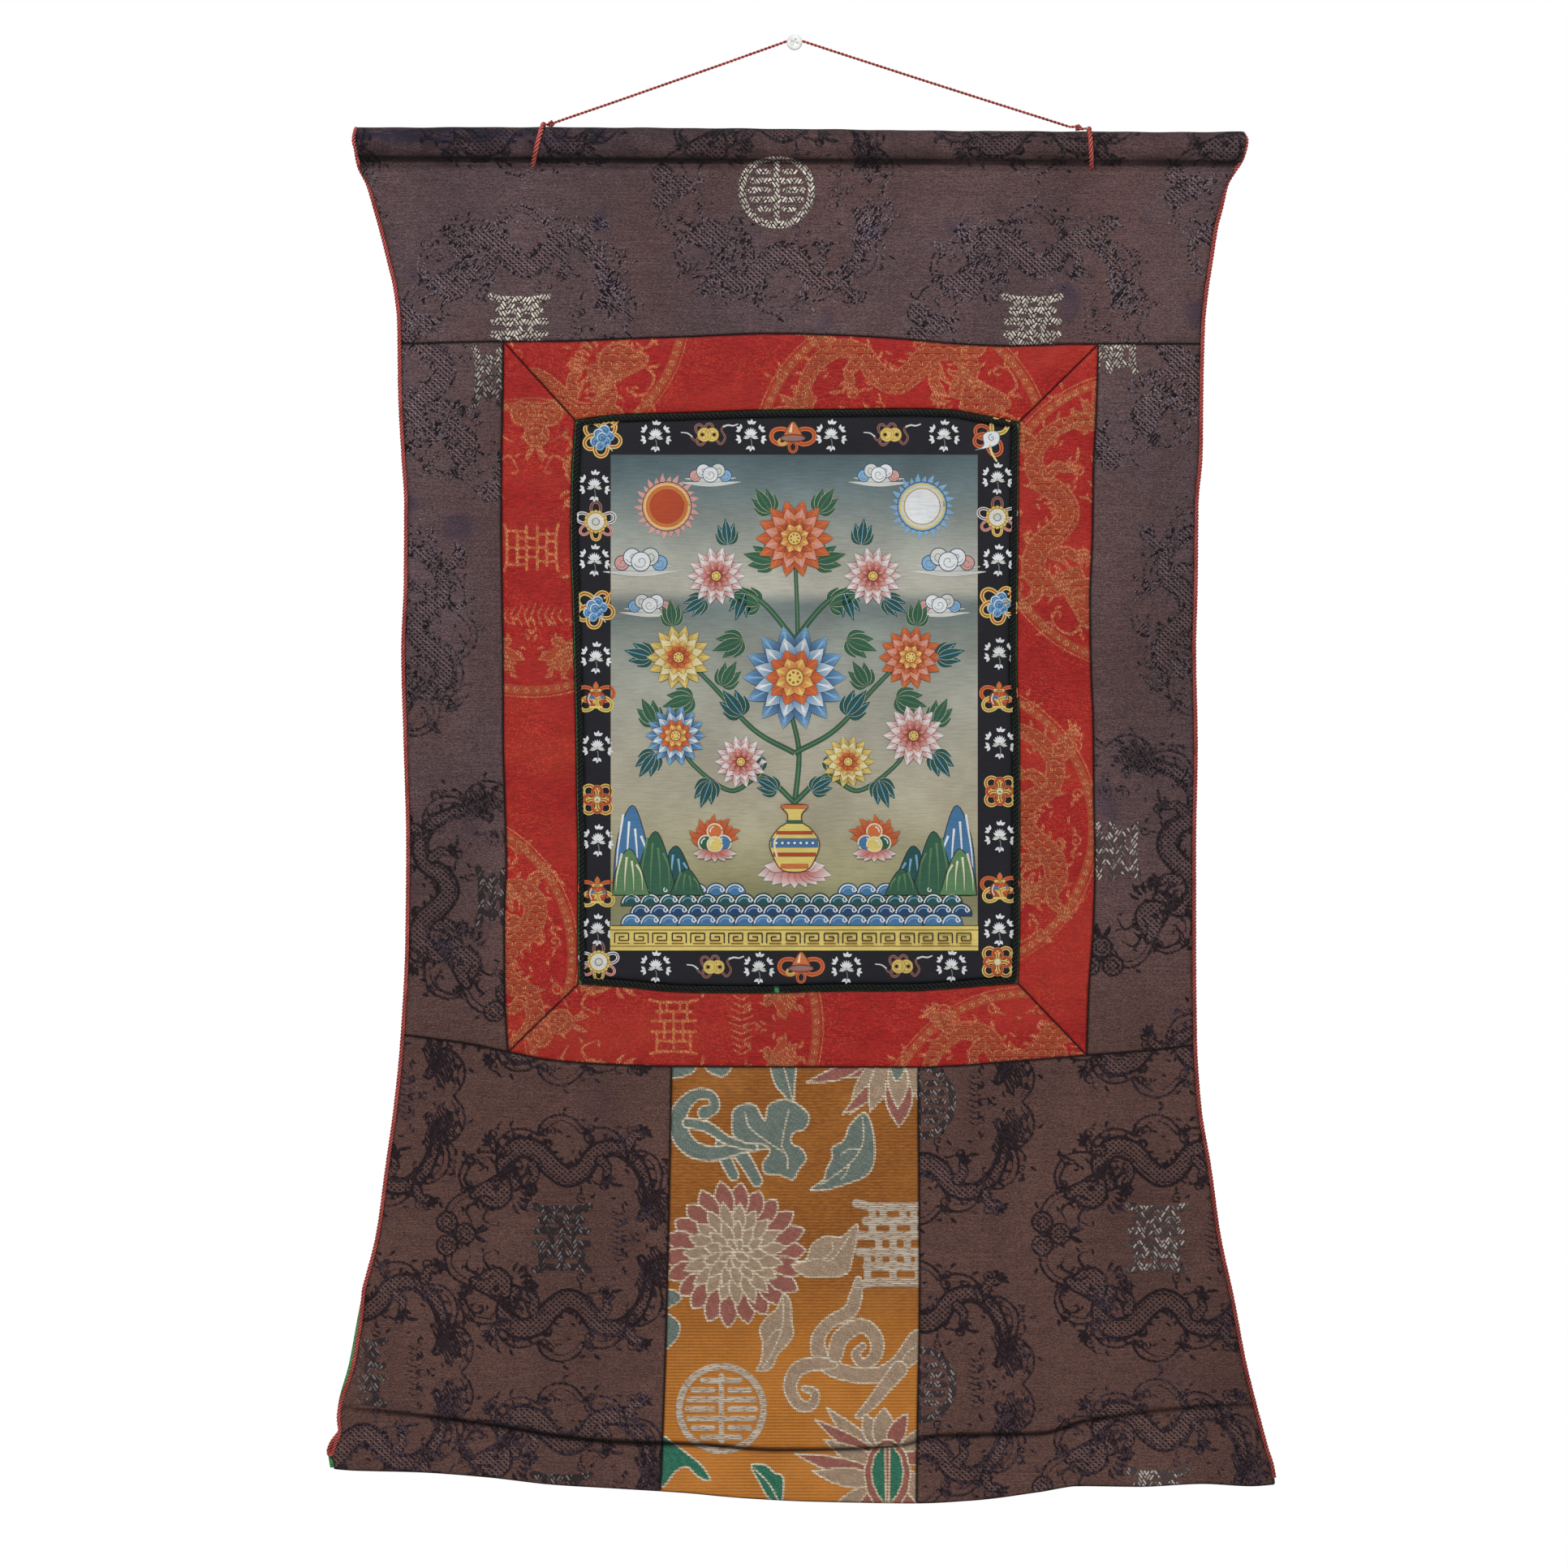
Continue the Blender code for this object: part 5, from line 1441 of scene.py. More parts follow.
def round_medallion(hand: Hand, radius: float, bar: float, spacing: float) -> None:
    """A round fret: a split ring, and bars that keep to a cross.

    Args:
        hand: Where it is drawn.
        radius: Its outer radius.
        bar: Half the width of its bars.
        spacing: From bar to bar.
    """
    for start in (4.0, 94.0, 184.0, 274.0):
        hand.mark(Yarn.CREAM, arc(0.0, 0.0, radius - bar, start, start + 82.0, 14), bar)
    rows = int((radius - 3 * bar) / spacing)
    for k in range(-rows, rows + 1):
        z = k * spacing
        reach = math.sqrt(max((radius - 3.4 * bar) ** 2 - z * z, 0.0))
        inner = 0.0 if k % 2 else spacing * 0.9
        if reach > inner + bar:
            for way in (-1.0, 1.0):
                path = np.array([(way * inner, z), (way * reach, z)])
                hand.mark(Yarn.CREAM, path, bar * 0.82)
    hand.mark(Yarn.CREAM, np.array([(0.0, -radius * 0.72), (0.0, radius * 0.72)]), bar * 0.8)


def square_medallion(hand: Hand, half: float, bar: float) -> None:
    """A square fret with horned corners: level bars joined by uprights."""
    heights = (1.0, 0.62, 0.24, -0.2, -0.58, -1.0)
    widths = (0.98, 0.72, 0.9, 0.9, 0.7, 0.94)
    for level, width in zip(heights, widths):
        lift = 0.10 * half if abs(level) == 1.0 else 0.0
        way = math.copysign(1.0, level)
        path = np.array([(-width * half, level * half + way * lift), (-width * half * 0.6, level * half),
                         (width * half * 0.6, level * half), (width * half, level * half + way * lift)])
        hand.mark(Yarn.CREAM, path, bar)
    for x, low, high in ((-0.55, 0.24, 1.0), (0.55, 0.24, 1.0), (0.0, -1.0, 0.62), (-0.38, -0.58, 0.24),
                         (0.38, -0.58, 0.24), (-0.68, -1.0, -0.2), (0.68, -1.0, -0.2), (-0.26, 0.62, 1.0),
                         (0.26, 0.62, 1.0)):
        hand.mark(Yarn.CREAM, np.array([(x * half, low * half), (x * half, high * half)]), bar * 0.85)


def dark_chart(round_middle: bool) -> Chart:
    """The dark brocade's repeat, with one or the other medallion."""
    chart = Chart(-98.0, 98.0, -98.0, 98.0, SILKS)
    Roundel(86.0, Rim.ROPE, 1.05).draw(Hand(chart))
    if round_middle:
        round_medallion(Hand(chart), 26.5, 2.5, 6.4)
    else:
        square_medallion(Hand(chart), 20.0, 2.4)
    return chart


def red_chart() -> Chart:
    """The red brocade's repeat."""
    chart = Chart(-106.0, 106.0, -106.0, 106.0, SILKS)
    Roundel(100.8, Rim.BEADS, 0.55).draw(Hand(chart))
    square_medallion(Hand(chart), 17.0, 1.0)
    return chart


@dataclass(frozen=True)
class Garden:
    """The gold panel's flowers, from its top edge down, one large repeat."""

    top: float = -705.6
    rim: float = 0.6

    def chart(self) -> Chart:
        """Weave the panel's chart, in the object's own x and z."""
        chart = Chart(-98.0, 92.0, -1012.0, -703.0, FLOWERS, 0.42)
        hand = Hand(chart, 0.0, self.top)
        self._scroll(hand)
        self._lotus_above(hand)
        self._teal_leaf(hand)
        self._daisy(hand.at(-41.4, -130.5))
        self._beige_leaves(hand)
        self._beige_scroll(hand)
        self._lotus_below(hand.at(62.0, -266.0))
        self._green_leaves(hand)
        round_medallion(hand.at(-50.4, -237.0), 31.5, 2.4, 6.5)
        square_medallion(hand.at(68.0, -124.0), 26.0, 3.0)
        return chart

    def _shape(self, hand: Hand, tone: Yarn, points: Sequence) -> None:
        """A closed, outlined field."""
        hand.area(tone, smooth([(x, -w) for x, w in points], 4, closed=True), 1.0, Yarn.OUTLINE, self.rim)

    def _stem(self, hand: Hand, tone: Yarn, points: Sequence, widths: Sequence) -> None:
        """An outlined stem of changing width."""
        path = smooth([(x, -w) for x, w in points], 6)
        half = np.interp(np.linspace(0, 1, len(path)), np.linspace(0, 1, len(widths)), widths)
        hand.mark(tone, path, half, 1.0, Yarn.OUTLINE, self.rim)

    def _vein(self, hand: Hand, points: Sequence) -> None:
        """A thin cream line."""
        hand.mark(Yarn.OUTLINE, smooth([(x, -w) for x, w in points], 5), 0.5)

    def _scroll(self, hand: Hand) -> None:
        """The teal scroll at the top left, and its lobed leaf."""
        self._shape(hand, Yarn.TEAL, ((-86.0, -3.0), (-68.0, -3.0), (-70.0, 5.0), (-82.0, 9.0), (-90.0, 8.0)))
        self._shape(hand, Yarn.TEAL, ((-62.0, -3.0), (-46.0, -3.0), (-44.0, 3.0), (-50.0, 8.0), (-60.0, 4.0)))
        self._shape(hand, Yarn.TEAL, ((-16.0, -4.0), (0.0, -4.0), (0.0, 14.0), (-1.0, 27.0), (-8.0, 20.0),
                                      (-14.0, 12.0)))
        self._vein(hand, ((-8.0, 0.0), (-5.0, 10.0), (-1.5, 24.0)))
        self._stem(hand, Yarn.TEAL, ((-50.0, 55.0), (-47.0, 66.0), (-42.0, 76.0)), (4.5, 4.0, 3.6))
        self._stem(hand, Yarn.TEAL, ((-42.0, 56.0), (-34.0, 66.0), (-26.0, 80.0)), (4.5, 4.6, 3.8))
        self._stem(hand, Yarn.TEAL, (
            (-62.0, 33.0), (-55.0, 29.0), (-58.0, 21.0), (-69.0, 21.0), (-79.0, 32.0),
            (-79.0, 47.0), (-70.0, 58.0), (-55.0, 61.0), (-38.0, 57.0), (-20.0, 55.0)),
                   (4.6, 3.2, 3.2, 4.0, 5.6, 6.4, 5.8, 4.8, 4.2, 3.0))
        self._stem(hand, Yarn.TEAL, ((-74.0, 40.0), (-60.0, 43.0), (-46.0, 52.0), (-28.0, 57.0)),
                   (3.2, 3.6, 3.0, 2.4))
        self._shape(hand, Yarn.TEAL, (
            (-43.0, 38.0), (-42.0, 31.0), (-35.0, 27.0), (-27.0, 28.0), (-23.0, 35.0), (-20.0, 38.0),
            (-18.0, 28.0), (-8.0, 24.0), (2.0, 27.0), (10.0, 35.0), (7.0, 44.0), (-1.0, 47.0),
            (-2.0, 54.0), (5.0, 58.0), (8.0, 65.0), (3.0, 72.0), (-1.0, 79.0), (-10.0, 76.0),
            (-20.0, 75.0), (-22.0, 68.0), (-17.0, 60.0), (-21.0, 55.0), (-32.0, 54.0), (-42.0, 49.0)))
        self._vein(hand, ((-34.0, 33.0), (-31.0, 43.0), (-20.0, 52.0), (-8.0, 60.0)))
        self._vein(hand, ((-4.0, 31.0), (-7.0, 44.0), (-9.0, 56.0)))
        self._vein(hand, ((-9.0, 56.0), (-5.0, 64.0), (-5.0, 72.0)))

    def _lotus_above(self, hand: Hand) -> None:
        """Half a pink and beige lotus that hangs from the top edge."""
        for tone, base, tip, width in ((Yarn.PINK, (56.0, -4.0), (32.0, 8.0), 10.0),
                                       (Yarn.PINK, (50.0, -2.0), (8.0, 12.0), 9.0),
                                       (Yarn.BEIGE, (58.0, -4.0), (38.0, 34.0), 14.0),
                                       (Yarn.PINK, (64.0, 6.0), (33.0, 34.0), 9.0),
                                       (Yarn.BEIGE, (62.0, -4.0), (52.0, 32.0), 13.0),
                                       (Yarn.PINK, (88.0, -2.0), (86.0, 26.0), 12.0),
                                       (Yarn.BEIGE, (78.0, -4.0), (80.0, 24.0), 12.0),
                                       (Yarn.PINK, (70.0, 2.0), (72.0, 43.0), 19.0),
                                       (Yarn.BEIGE, (70.0, -6.0), (71.0, 30.0), 14.0),
                                       (Yarn.TEAL, (70.0, -8.0), (70.0, 12.0), 10.0)):
            hand.leaf(tone, (base[0], -base[1]), (tip[0], -tip[1]), width, 1.0, 1.0, Yarn.OUTLINE, self.rim)

    def _teal_leaf(self, hand: Hand) -> None:
        """The teal leaf under that lotus."""
        self._shape(hand, Yarn.TEAL, ((47.0, 33.0), (52.0, 38.0), (55.0, 52.0), (55.0, 66.0), (50.0, 76.0),
                                      (36.0, 82.0), (22.0, 86.0), (11.0, 86.0), (20.0, 79.0), (22.0, 72.0),
                                      (26.0, 64.0), (26.0, 57.0), (34.0, 52.0), (38.0, 42.0)))
        self._vein(hand, ((47.0, 36.0), (47.0, 54.0), (38.0, 68.0), (18.0, 83.0)))
        self._vein(hand, ((45.0, 58.0), (38.0, 58.0), (32.0, 62.0)))
        self._vein(hand, ((38.0, 68.0), (36.0, 74.0), (32.0, 79.0)))

    def _daisy(self, hand: Hand) -> None:
        """The large many-petalled flower."""
        for count, low, high, width, tone, lead in ((22, 26.0, 49.0, 13.5, Yarn.PINK, 3.0),
                                                    (19, 13.0, 35.0, 9.6, Yarn.BEIGE, 8.0),
                                                    (13, 5.0, 23.0, 8.2, Yarn.BEIGE, 0.0),
                                                    (8, 0.5, 11.5, 6.4, Yarn.BEIGE, 20.0)):
            for k in range(count):
                turn = math.radians(lead + 360.0 * k / count)
                reach = high * (1.0 + 0.05 * math.sin(5.0 * k + lead))
                hand.leaf(tone, around(low, turn), around(reach, turn), width, 0.4 * math.sin(3.0 * k),
                          1.0, Yarn.OUTLINE, self.rim)

    def _beige_leaves(self, hand: Hand) -> None:
        """The two leaves beside the flower."""
        self._shape(hand, Yarn.BEIGE, (
            (-2.0, 138.0), (8.0, 134.0), (12.0, 124.0), (22.0, 118.0), (32.0, 119.0), (43.0, 110.0),
            (43.0, 120.0), (40.0, 133.0), (36.0, 144.0), (22.0, 146.0), (8.0, 146.0)))
        self._vein(hand, ((0.0, 138.0), (14.0, 134.0), (26.0, 134.0), (38.0, 118.0)))
        self._vein(hand, ((20.0, 134.0), (26.0, 128.0), (26.0, 122.0)))
        self._shape(hand, Yarn.BEIGE, (
            (-8.0, 158.0), (-3.0, 163.0), (-2.0, 176.0), (-1.0, 186.0), (-6.0, 194.0), (-12.0, 200.0),
            (-16.0, 209.0), (-26.0, 211.0), (-23.0, 204.0), (-22.0, 192.0), (-24.0, 182.0),
            (-18.0, 173.0), (-12.0, 168.0)))
        self._vein(hand, ((-8.0, 160.0), (-8.0, 178.0), (-14.0, 196.0), (-22.0, 209.0)))
        self._vein(hand, ((-9.0, 182.0), (-14.0, 184.0), (-18.0, 189.0)))

    def _beige_scroll(self, hand: Hand) -> None:
        """The beige scrolls at the lower right."""
        self._stem(hand, Yarn.BEIGE, (
            (44.0, 148.0), (42.0, 160.0), (38.0, 170.0), (24.0, 178.0), (16.0, 190.0),
            (20.0, 204.0), (34.0, 212.0), (56.0, 214.0), (72.0, 206.0), (86.0, 192.0)),
                   (2.0, 4.4, 4.6, 4.0, 4.6, 5.8, 5.2, 5.0, 5.6, 9.0))
        self._stem(hand, Yarn.BEIGE, ((26.0, 206.0), (14.0, 206.0), (2.0, 210.0), (-3.0, 222.0), (3.0, 234.0),
                                      (12.0, 234.0), (14.0, 226.0), (7.0, 223.0)),
                   (3.6, 4.6, 4.8, 4.4, 3.8, 3.2, 2.6, 2.0))
        self._stem(hand, Yarn.BEIGE, (
            (28.0, 200.0), (32.0, 188.0), (46.0, 180.0), (56.0, 188.0), (56.0, 200.0),
            (48.0, 206.0), (42.0, 200.0), (47.0, 194.0)),
                   (5.0, 5.4, 4.8, 4.6, 4.2, 3.4, 2.8, 2.2))
        self._stem(hand, Yarn.BEIGE, ((72.0, 210.0), (62.0, 222.0), (54.0, 232.0), (44.0, 242.0)),
                   (5.6, 4.4, 3.8, 2.0))
        self._vein(hand, ((74.0, 204.0), (78.0, 198.0), (84.0, 194.0)))

    def _lotus_below(self, hand: Hand) -> None:
        """The large lotus in the lower right corner."""
        for tone, base, tip, width in ((Yarn.BEIGE, (-2.0, -4.0), (-40.0, 30.0), 11.0),
                                       (Yarn.PINK, (0.0, -6.0), (-48.0, 22.0), 10.0),
                                       (Yarn.BEIGE, (2.0, -12.0), (-42.0, 8.0), 12.0),
                                       (Yarn.PINK, (0.0, -16.0), (-62.0, -2.0), 11.0),
                                       (Yarn.BEIGE, (2.0, -20.0), (-50.0, -14.0), 13.0),
                                       (Yarn.BEIGE, (0.0, -26.0), (-36.0, -38.0), 15.0),
                                       (Yarn.PINK, (0.0, -22.0), (-22.0, -48.0), 13.0),
                                       (Yarn.BEIGE, (4.0, -18.0), (-2.0, -52.0), 15.0),
                                       (Yarn.PINK, (10.0, -18.0), (18.0, -50.0), 15.0),
                                       (Yarn.BEIGE, (14.0, -14.0), (34.0, -44.0), 15.0),
                                       (Yarn.PINK, (12.0, -6.0), (38.0, -4.0), 13.0),
                                       (Yarn.BEIGE, (12.0, 0.0), (36.0, 14.0), 12.0),
                                       (Yarn.BEIGE, (0.0, 2.0), (-14.0, 26.0), 13.0),
                                       (Yarn.BEIGE, (2.0, 0.0), (0.0, 30.0), 16.0),
                                       (Yarn.PINK, (4.0, 0.0), (16.0, 26.0), 12.0)):
            hand.leaf(tone, base, tip, width, 1.4, 1.0, Yarn.OUTLINE, self.rim)
        hand.leaf(Yarn.PINK, (2.0, 6.0), (2.0, -44.0), 32.0, 0.0, 1.0, Yarn.OUTLINE, self.rim)
        hand.leaf(Yarn.GREEN, (2.0, 4.0), (2.0, -38.0), 22.0, 0.0, 1.0, Yarn.OUTLINE, self.rim)
        hand.mark(Yarn.PINK, np.array([(2.0, 2.0), (2.0, -36.0)]), (1.6, 1.0), 1.0, Yarn.OUTLINE, self.rim)

    def _green_leaves(self, hand: Hand) -> None:
        """The darker leaves along the bottom, and what shows past the left seam."""
        self._shape(hand, Yarn.GREEN, ((-92.0, 257.0), (-82.0, 262.0), (-74.0, 268.0), (-64.0, 276.0),
                                       (-58.0, 286.0), (-66.0, 284.0), (-74.0, 277.0), (-82.0, 280.0),
                                       (-92.0, 290.0)))
        self._shape(hand, Yarn.GREEN, ((-30.0, 276.0), (-20.0, 276.0), (-14.0, 281.0), (-8.0, 284.0),
                                       (-8.0, 296.0), (-10.0, 302.0), (-18.0, 298.0), (-24.0, 288.0)))
        self._vein(hand, ((-28.0, 278.0), (-18.0, 288.0), (-11.0, 300.0)))
        self._shape(hand, Yarn.TEAL, (
            (-92.0, 156.0), (-82.0, 156.0), (-78.0, 161.0), (-84.0, 166.0), (-92.0, 168.0)))
        self._shape(hand, Yarn.TEAL, (
            (-92.0, 172.0), (-84.0, 174.0), (-79.0, 180.0), (-82.0, 190.0), (-92.0, 196.0)))


# Where each repeat of the dark brocade falls: its middle, quarter turns and medallion.
DARK_REPEATS: Table = (("panel", "x", "z", "turn", "flip", "round"), (
    ("top_panel", -12.3, -102.5, 0, False, True),
    ("top_panel", -189.3, -7.3, 0, False, False),
    ("top_panel", 164.6, -7.3, 0, False, False),
    ("top_panel", -366.0, -102.5, 0, False, False),
    ("top_panel", 341.6, -102.5, 0, False, False),
    ("top_panel", -189.8, -197.7, 0, False, False),
    ("top_panel", 164.1, -197.7, 0, False, False),
    ("left_side_panel", -198.5, -231.3, 1, False, False),
    ("left_side_panel", -304.0, -408.2, 1, False, False),
    ("left_side_panel", -196.0, -589.7, 1, False, False),
    ("left_side_panel", -307.4, -766.0, 1, False, False),
    ("right_side_panel", 213.0, -209.0, 1, False, False),
    ("right_side_panel", 317.0, -394.0, 1, False, False),
    ("right_side_panel", 214.5, -558.0, 1, False, False),
    ("right_side_panel", 317.0, -740.0, 1, False, False),
    ("lower_left_panel", -160.7, -824.9, 0, False, False),
    ("lower_left_panel", -307.4, -726.9, 0, False, False),
    ("lower_left_panel", -301.8, -917.3, 0, False, False),
    ("lower_left_panel", -160.7, -1009.7, 0, False, False),
    ("lower_left_panel", -160.7, -634.5, 0, False, False),
    ("lower_right_panel", 249.8, -824.9, 0, False, False),
    ("lower_right_panel", 85.1, -730.8, 0, False, True),
    ("lower_right_panel", 85.1, -925.7, 0, False, True),
    ("lower_right_panel", 249.8, -1006.9, 0, False, False),
    ("lower_right_panel", 249.8, -642.9, 0, False, False),
    ("lower_right_panel", 408.0, -917.0, 0, False, False),
))

RED_REPEATS: Table = (("panel", "x", "z", "turn", "flip"), (
    ("red_border_top", 74.5, -284.5, 0, True),
    ("red_border_top", -175.3, -183.7, 0, True),
    ("red_border_left", -181.4, -348.9, 3, False),
    ("red_border_left", -252.0, -630.0, 3, False),
    ("red_border_right", 107.0, -542.1, 1, False),
    ("red_border_right", 238.0, -330.0, 1, False),
    ("red_border_bottom", -83.4, -679.3, 0, False),
    ("red_border_bottom", 160.0, -754.9, 2, False),
))


# ================================================================ cloth

def patch(left: Curve, right: Curve, levels: Sequence[Curve], columns: int, rows: Sequence[int]) -> tuple:
    """A grid of x and z between two upright edges and a stack of level lines.

    Args:
        left: The left edge's x at a height.
        right: The right edge's x at a height.
        levels: The level lines' z at an x, from the top down.
        columns: How many cells there are across.
        rows: How many there are in each band between two levels.

    Returns:
        The grid's x and its z, a row for each level.
    """
    across = np.linspace(0.0, 1.0, columns + 1)[None, :]
    bands = []
    for i, count in enumerate(rows):
        last = i == len(rows) - 1
        bands.extend((i, k / count) for k in range(count + (1 if last else 0)))
    low = np.array([band for band, _ in bands])
    share = np.array([part for _, part in bands])[:, None]
    x = np.zeros((len(bands), columns + 1))
    pick = np.arange(len(bands))
    for _ in range(SETTLE_ROUNDS):
        heights = np.stack([level(x) for level in levels])
        z = heights[low, pick] * (1 - share) + heights[low + 1, pick] * share
        x = left(z) + (right(z) - left(z)) * across
    return x, z


def fine_patch(left: Curve, right: Curve, levels: Sequence[Curve], pitch: float) -> tuple:
    """A patch whose cells are about as large as a pitch."""
    x, z = patch(left, right, levels, 2, [1] * (len(levels) - 1))
    width = float((x[:, -1] - x[:, 0]).max())
    rows = [max(2, int(float((z[i] - z[i + 1]).max()) / pitch)) for i in range(len(levels) - 1)]
    return patch(left, right, levels, max(2, int(width / pitch)), rows)


def rim_distance(x: Array, z: Array) -> Array:
    """Distance from each grid point to the grid's nearest edge."""
    upright = np.minimum(x - x[:, :1], x[:, -1:] - x)
    return np.minimum(upright, np.minimum(z[:1, :] - z, z - z[-1:, :]))


def every(count: int, step: int) -> list[int]:
    """Every few indices, with the last one."""
    kept = list(range(0, count - 1, step))
    return kept + [count - 1]


def forward(x: Array) -> Array:
    """For each grid point, the direction away from the wall."""
    out = np.zeros((*x.shape, 3))
    out[..., 1] = -1.0
    return out


def link_mesh(name: str, points: Array, faces: Sequence, finish: bpy.types.Material,
              facts: dict[str, Array]) -> bpy.types.Object:
    """Add a smooth mesh from points in millimetres.

    Args:
        name: The piece's name.
        points: Its points, one a row.
        faces: The points of each face, in order.
        finish: Its material.
        facts: What its material reads, for each point: a number, a vector or a colour.

    Returns:
        The object.
    """
    mesh = bpy.data.meshes.new(name)
    mesh.from_pydata((np.asarray(points) * MM).tolist(), [], faces)
    for key, values in facts.items():
        kind, field_name = {1: ("FLOAT", "value"), 2: ("FLOAT_VECTOR", "vector")}[values.ndim]
        if values.ndim == 2 and values.shape[1] == 4:
            kind, field_name = "FLOAT_COLOR", "color"
        layer = mesh.attributes.new(key, kind, "POINT")
        layer.data.foreach_set(field_name, values.astype(np.float32).ravel())
    mesh.shade_smooth()
    mesh.materials.append(finish)
    made = bpy.data.objects.new(name, mesh)
    bpy.context.scene.collection.objects.link(made)
    return made


def dress(made: bpy.types.Object, slot: str, *nodes: str) -> bpy.types.Object:
    """Put a piece on the body, and hide the model's parts that it stands for."""
    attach(made, BODY)
    if nodes:
        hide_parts(*nodes)
    return made


@dataclass
class Cloth:
    """A piece of cloth as a fine grid, with a coarser back."""

    middle: Array
    out: Array
    run: Array
    seam: Array
    thick: float
    step: int = 6
    yarns: dict[Enum, Array] = field(default_factory=dict)
    relief: float = 0.0

    def weave(self, repeats: Sequence[Repeat], yarns: Sequence[Enum]) -> None:
        """Read the charts where they fall on the cloth."""
        for yarn in yarns:
            self.yarns[yarn] = np.full(self.seam.shape, Chart.FAR)
        for repeat in repeats:
            for yarn, depth in repeat.read(self.middle[..., 0], self.run).items():
                self.yarns[yarn] = np.minimum(self.yarns[yarn], depth)

    def build(self, name: str, finish: bpy.types.Material) -> bpy.types.Object:
        """Make the closed mesh and give it what its material reads."""
        rows, columns = self.seam.shape
        lift = 0.0
        if Yarn.CREAM in self.yarns:
            lift = self.relief * (1.0 - ramp(self.yarns[Yarn.CREAM], -0.6, 0.4))[..., None]
        front = self.middle + self.out * (self.thick / 2 + lift)
        keep = np.ix_(every(rows, self.step), every(columns, self.step))
        back = (self.middle - self.out * self.thick / 2)[keep]
        at = np.arange(rows * columns).reshape(rows, columns)
        behind = rows * columns + np.arange(back.shape[0] * back.shape[1]).reshape(back.shape[:2])
        quads = np.stack((at[:-1, :-1], at[1:, :-1], at[1:, 1:], at[:-1, 1:]), axis=-1).reshape(-1, 4)
        under = np.stack((behind[:-1, :-1], behind[:-1, 1:], behind[1:, 1:], behind[1:, :-1]),
                         axis=-1).reshape(-1, 4)
        faces = quads.tolist() + under.tolist()
        for line, far, picks, turned in ((at[0], behind[0], every(columns, self.step), False),
                                         (at[-1], behind[-1], every(columns, self.step), True),
                                         (at[:, 0], behind[:, 0], every(rows, self.step), True),
                                         (at[:, -1], behind[:, -1], every(rows, self.step), False)):
            for k, (a, b) in enumerate(zip(picks, picks[1:])):
                loop = [*line[a:b + 1].tolist(), int(far[k + 1]), int(far[k])]
                faces.append(loop[::-1] if turned else loop)
        points = np.concatenate((front.reshape(-1, 3), back.reshape(-1, 3)))
        place = np.stack((self.middle[..., 0], self.run, 0.0 * self.run), axis=-1)
        hidden = back.shape[0] * back.shape[1]
        facts = {"cloth": np.concatenate((place.reshape(-1, 3), place[keep].reshape(-1, 3))),
                 "seam": np.concatenate((self.seam.ravel(), np.full(hidden, FAR_AWAY)))}
        for yarn, depth in self.yarns.items():
            facts[yarn.value] = np.concatenate((depth.ravel(), np.full(hidden, Chart.FAR)))
        return link_mesh(f"fine_{name}", points, faces, finish, facts)

    def cut(self) -> dict:
        """The flat size that it was cut to, and its flat area, in metres."""
        across = np.linalg.norm(np.diff(self.middle, axis=1), axis=2)
        down = np.linalg.norm(np.diff(self.middle, axis=0), axis=2)
        width = float(across.sum(axis=1).max()) * MM
        length = float(down.sum(axis=0).max()) * MM
        area = float((0.5 * (across[1:] + across[:-1]) * 0.5 * (down[:, 1:] + down[:, :-1])).sum()) * MM * MM
        return {"flat": (width, length), "area": min(area, width * length)}


DARK_PITCH = 1.5
RED_PITCH = 1.0
GOLD_PITCH = 1.05
PLAIN_PITCH = 3.0
SEAM_DIP = 0.55
SEAM_DIP_REACH = 0.9
EDGE_DIP = 1.3
EDGE_DIP_REACH = 1.6
CREASE_DIP = 0.7
CREASE_REACH = 1.4
LIP_ROUND = 2.6
LIP_REACH = 16.0
LIP_LEVELS = (2.2, 0.4, -0.6)
CREAM_RELIEF = 0.35
STITCH_LINE = 0.05
LOW_LEVELS = [moved(lower_seam, -STITCH_LINE), *(moved(crease_line, by) for by in LIP_LEVELS), bottom_line]

SLEEVE_OPEN_DEG = 25.0
SLEEVE_ARC_STEPS = 54
SLEEVE_NECK = (2.1, -12.2)
ON_ROLL = 60.0
NECK_BULGE = 4.5
NECK_REACH = 24.0
TAIL_OFF = 1.6
TAIL_END = -22.0
LINING_START = -16.0
LINING_OFF = 1.55
LINING_SLACK = 0.6
LINING_INSET = 1.2


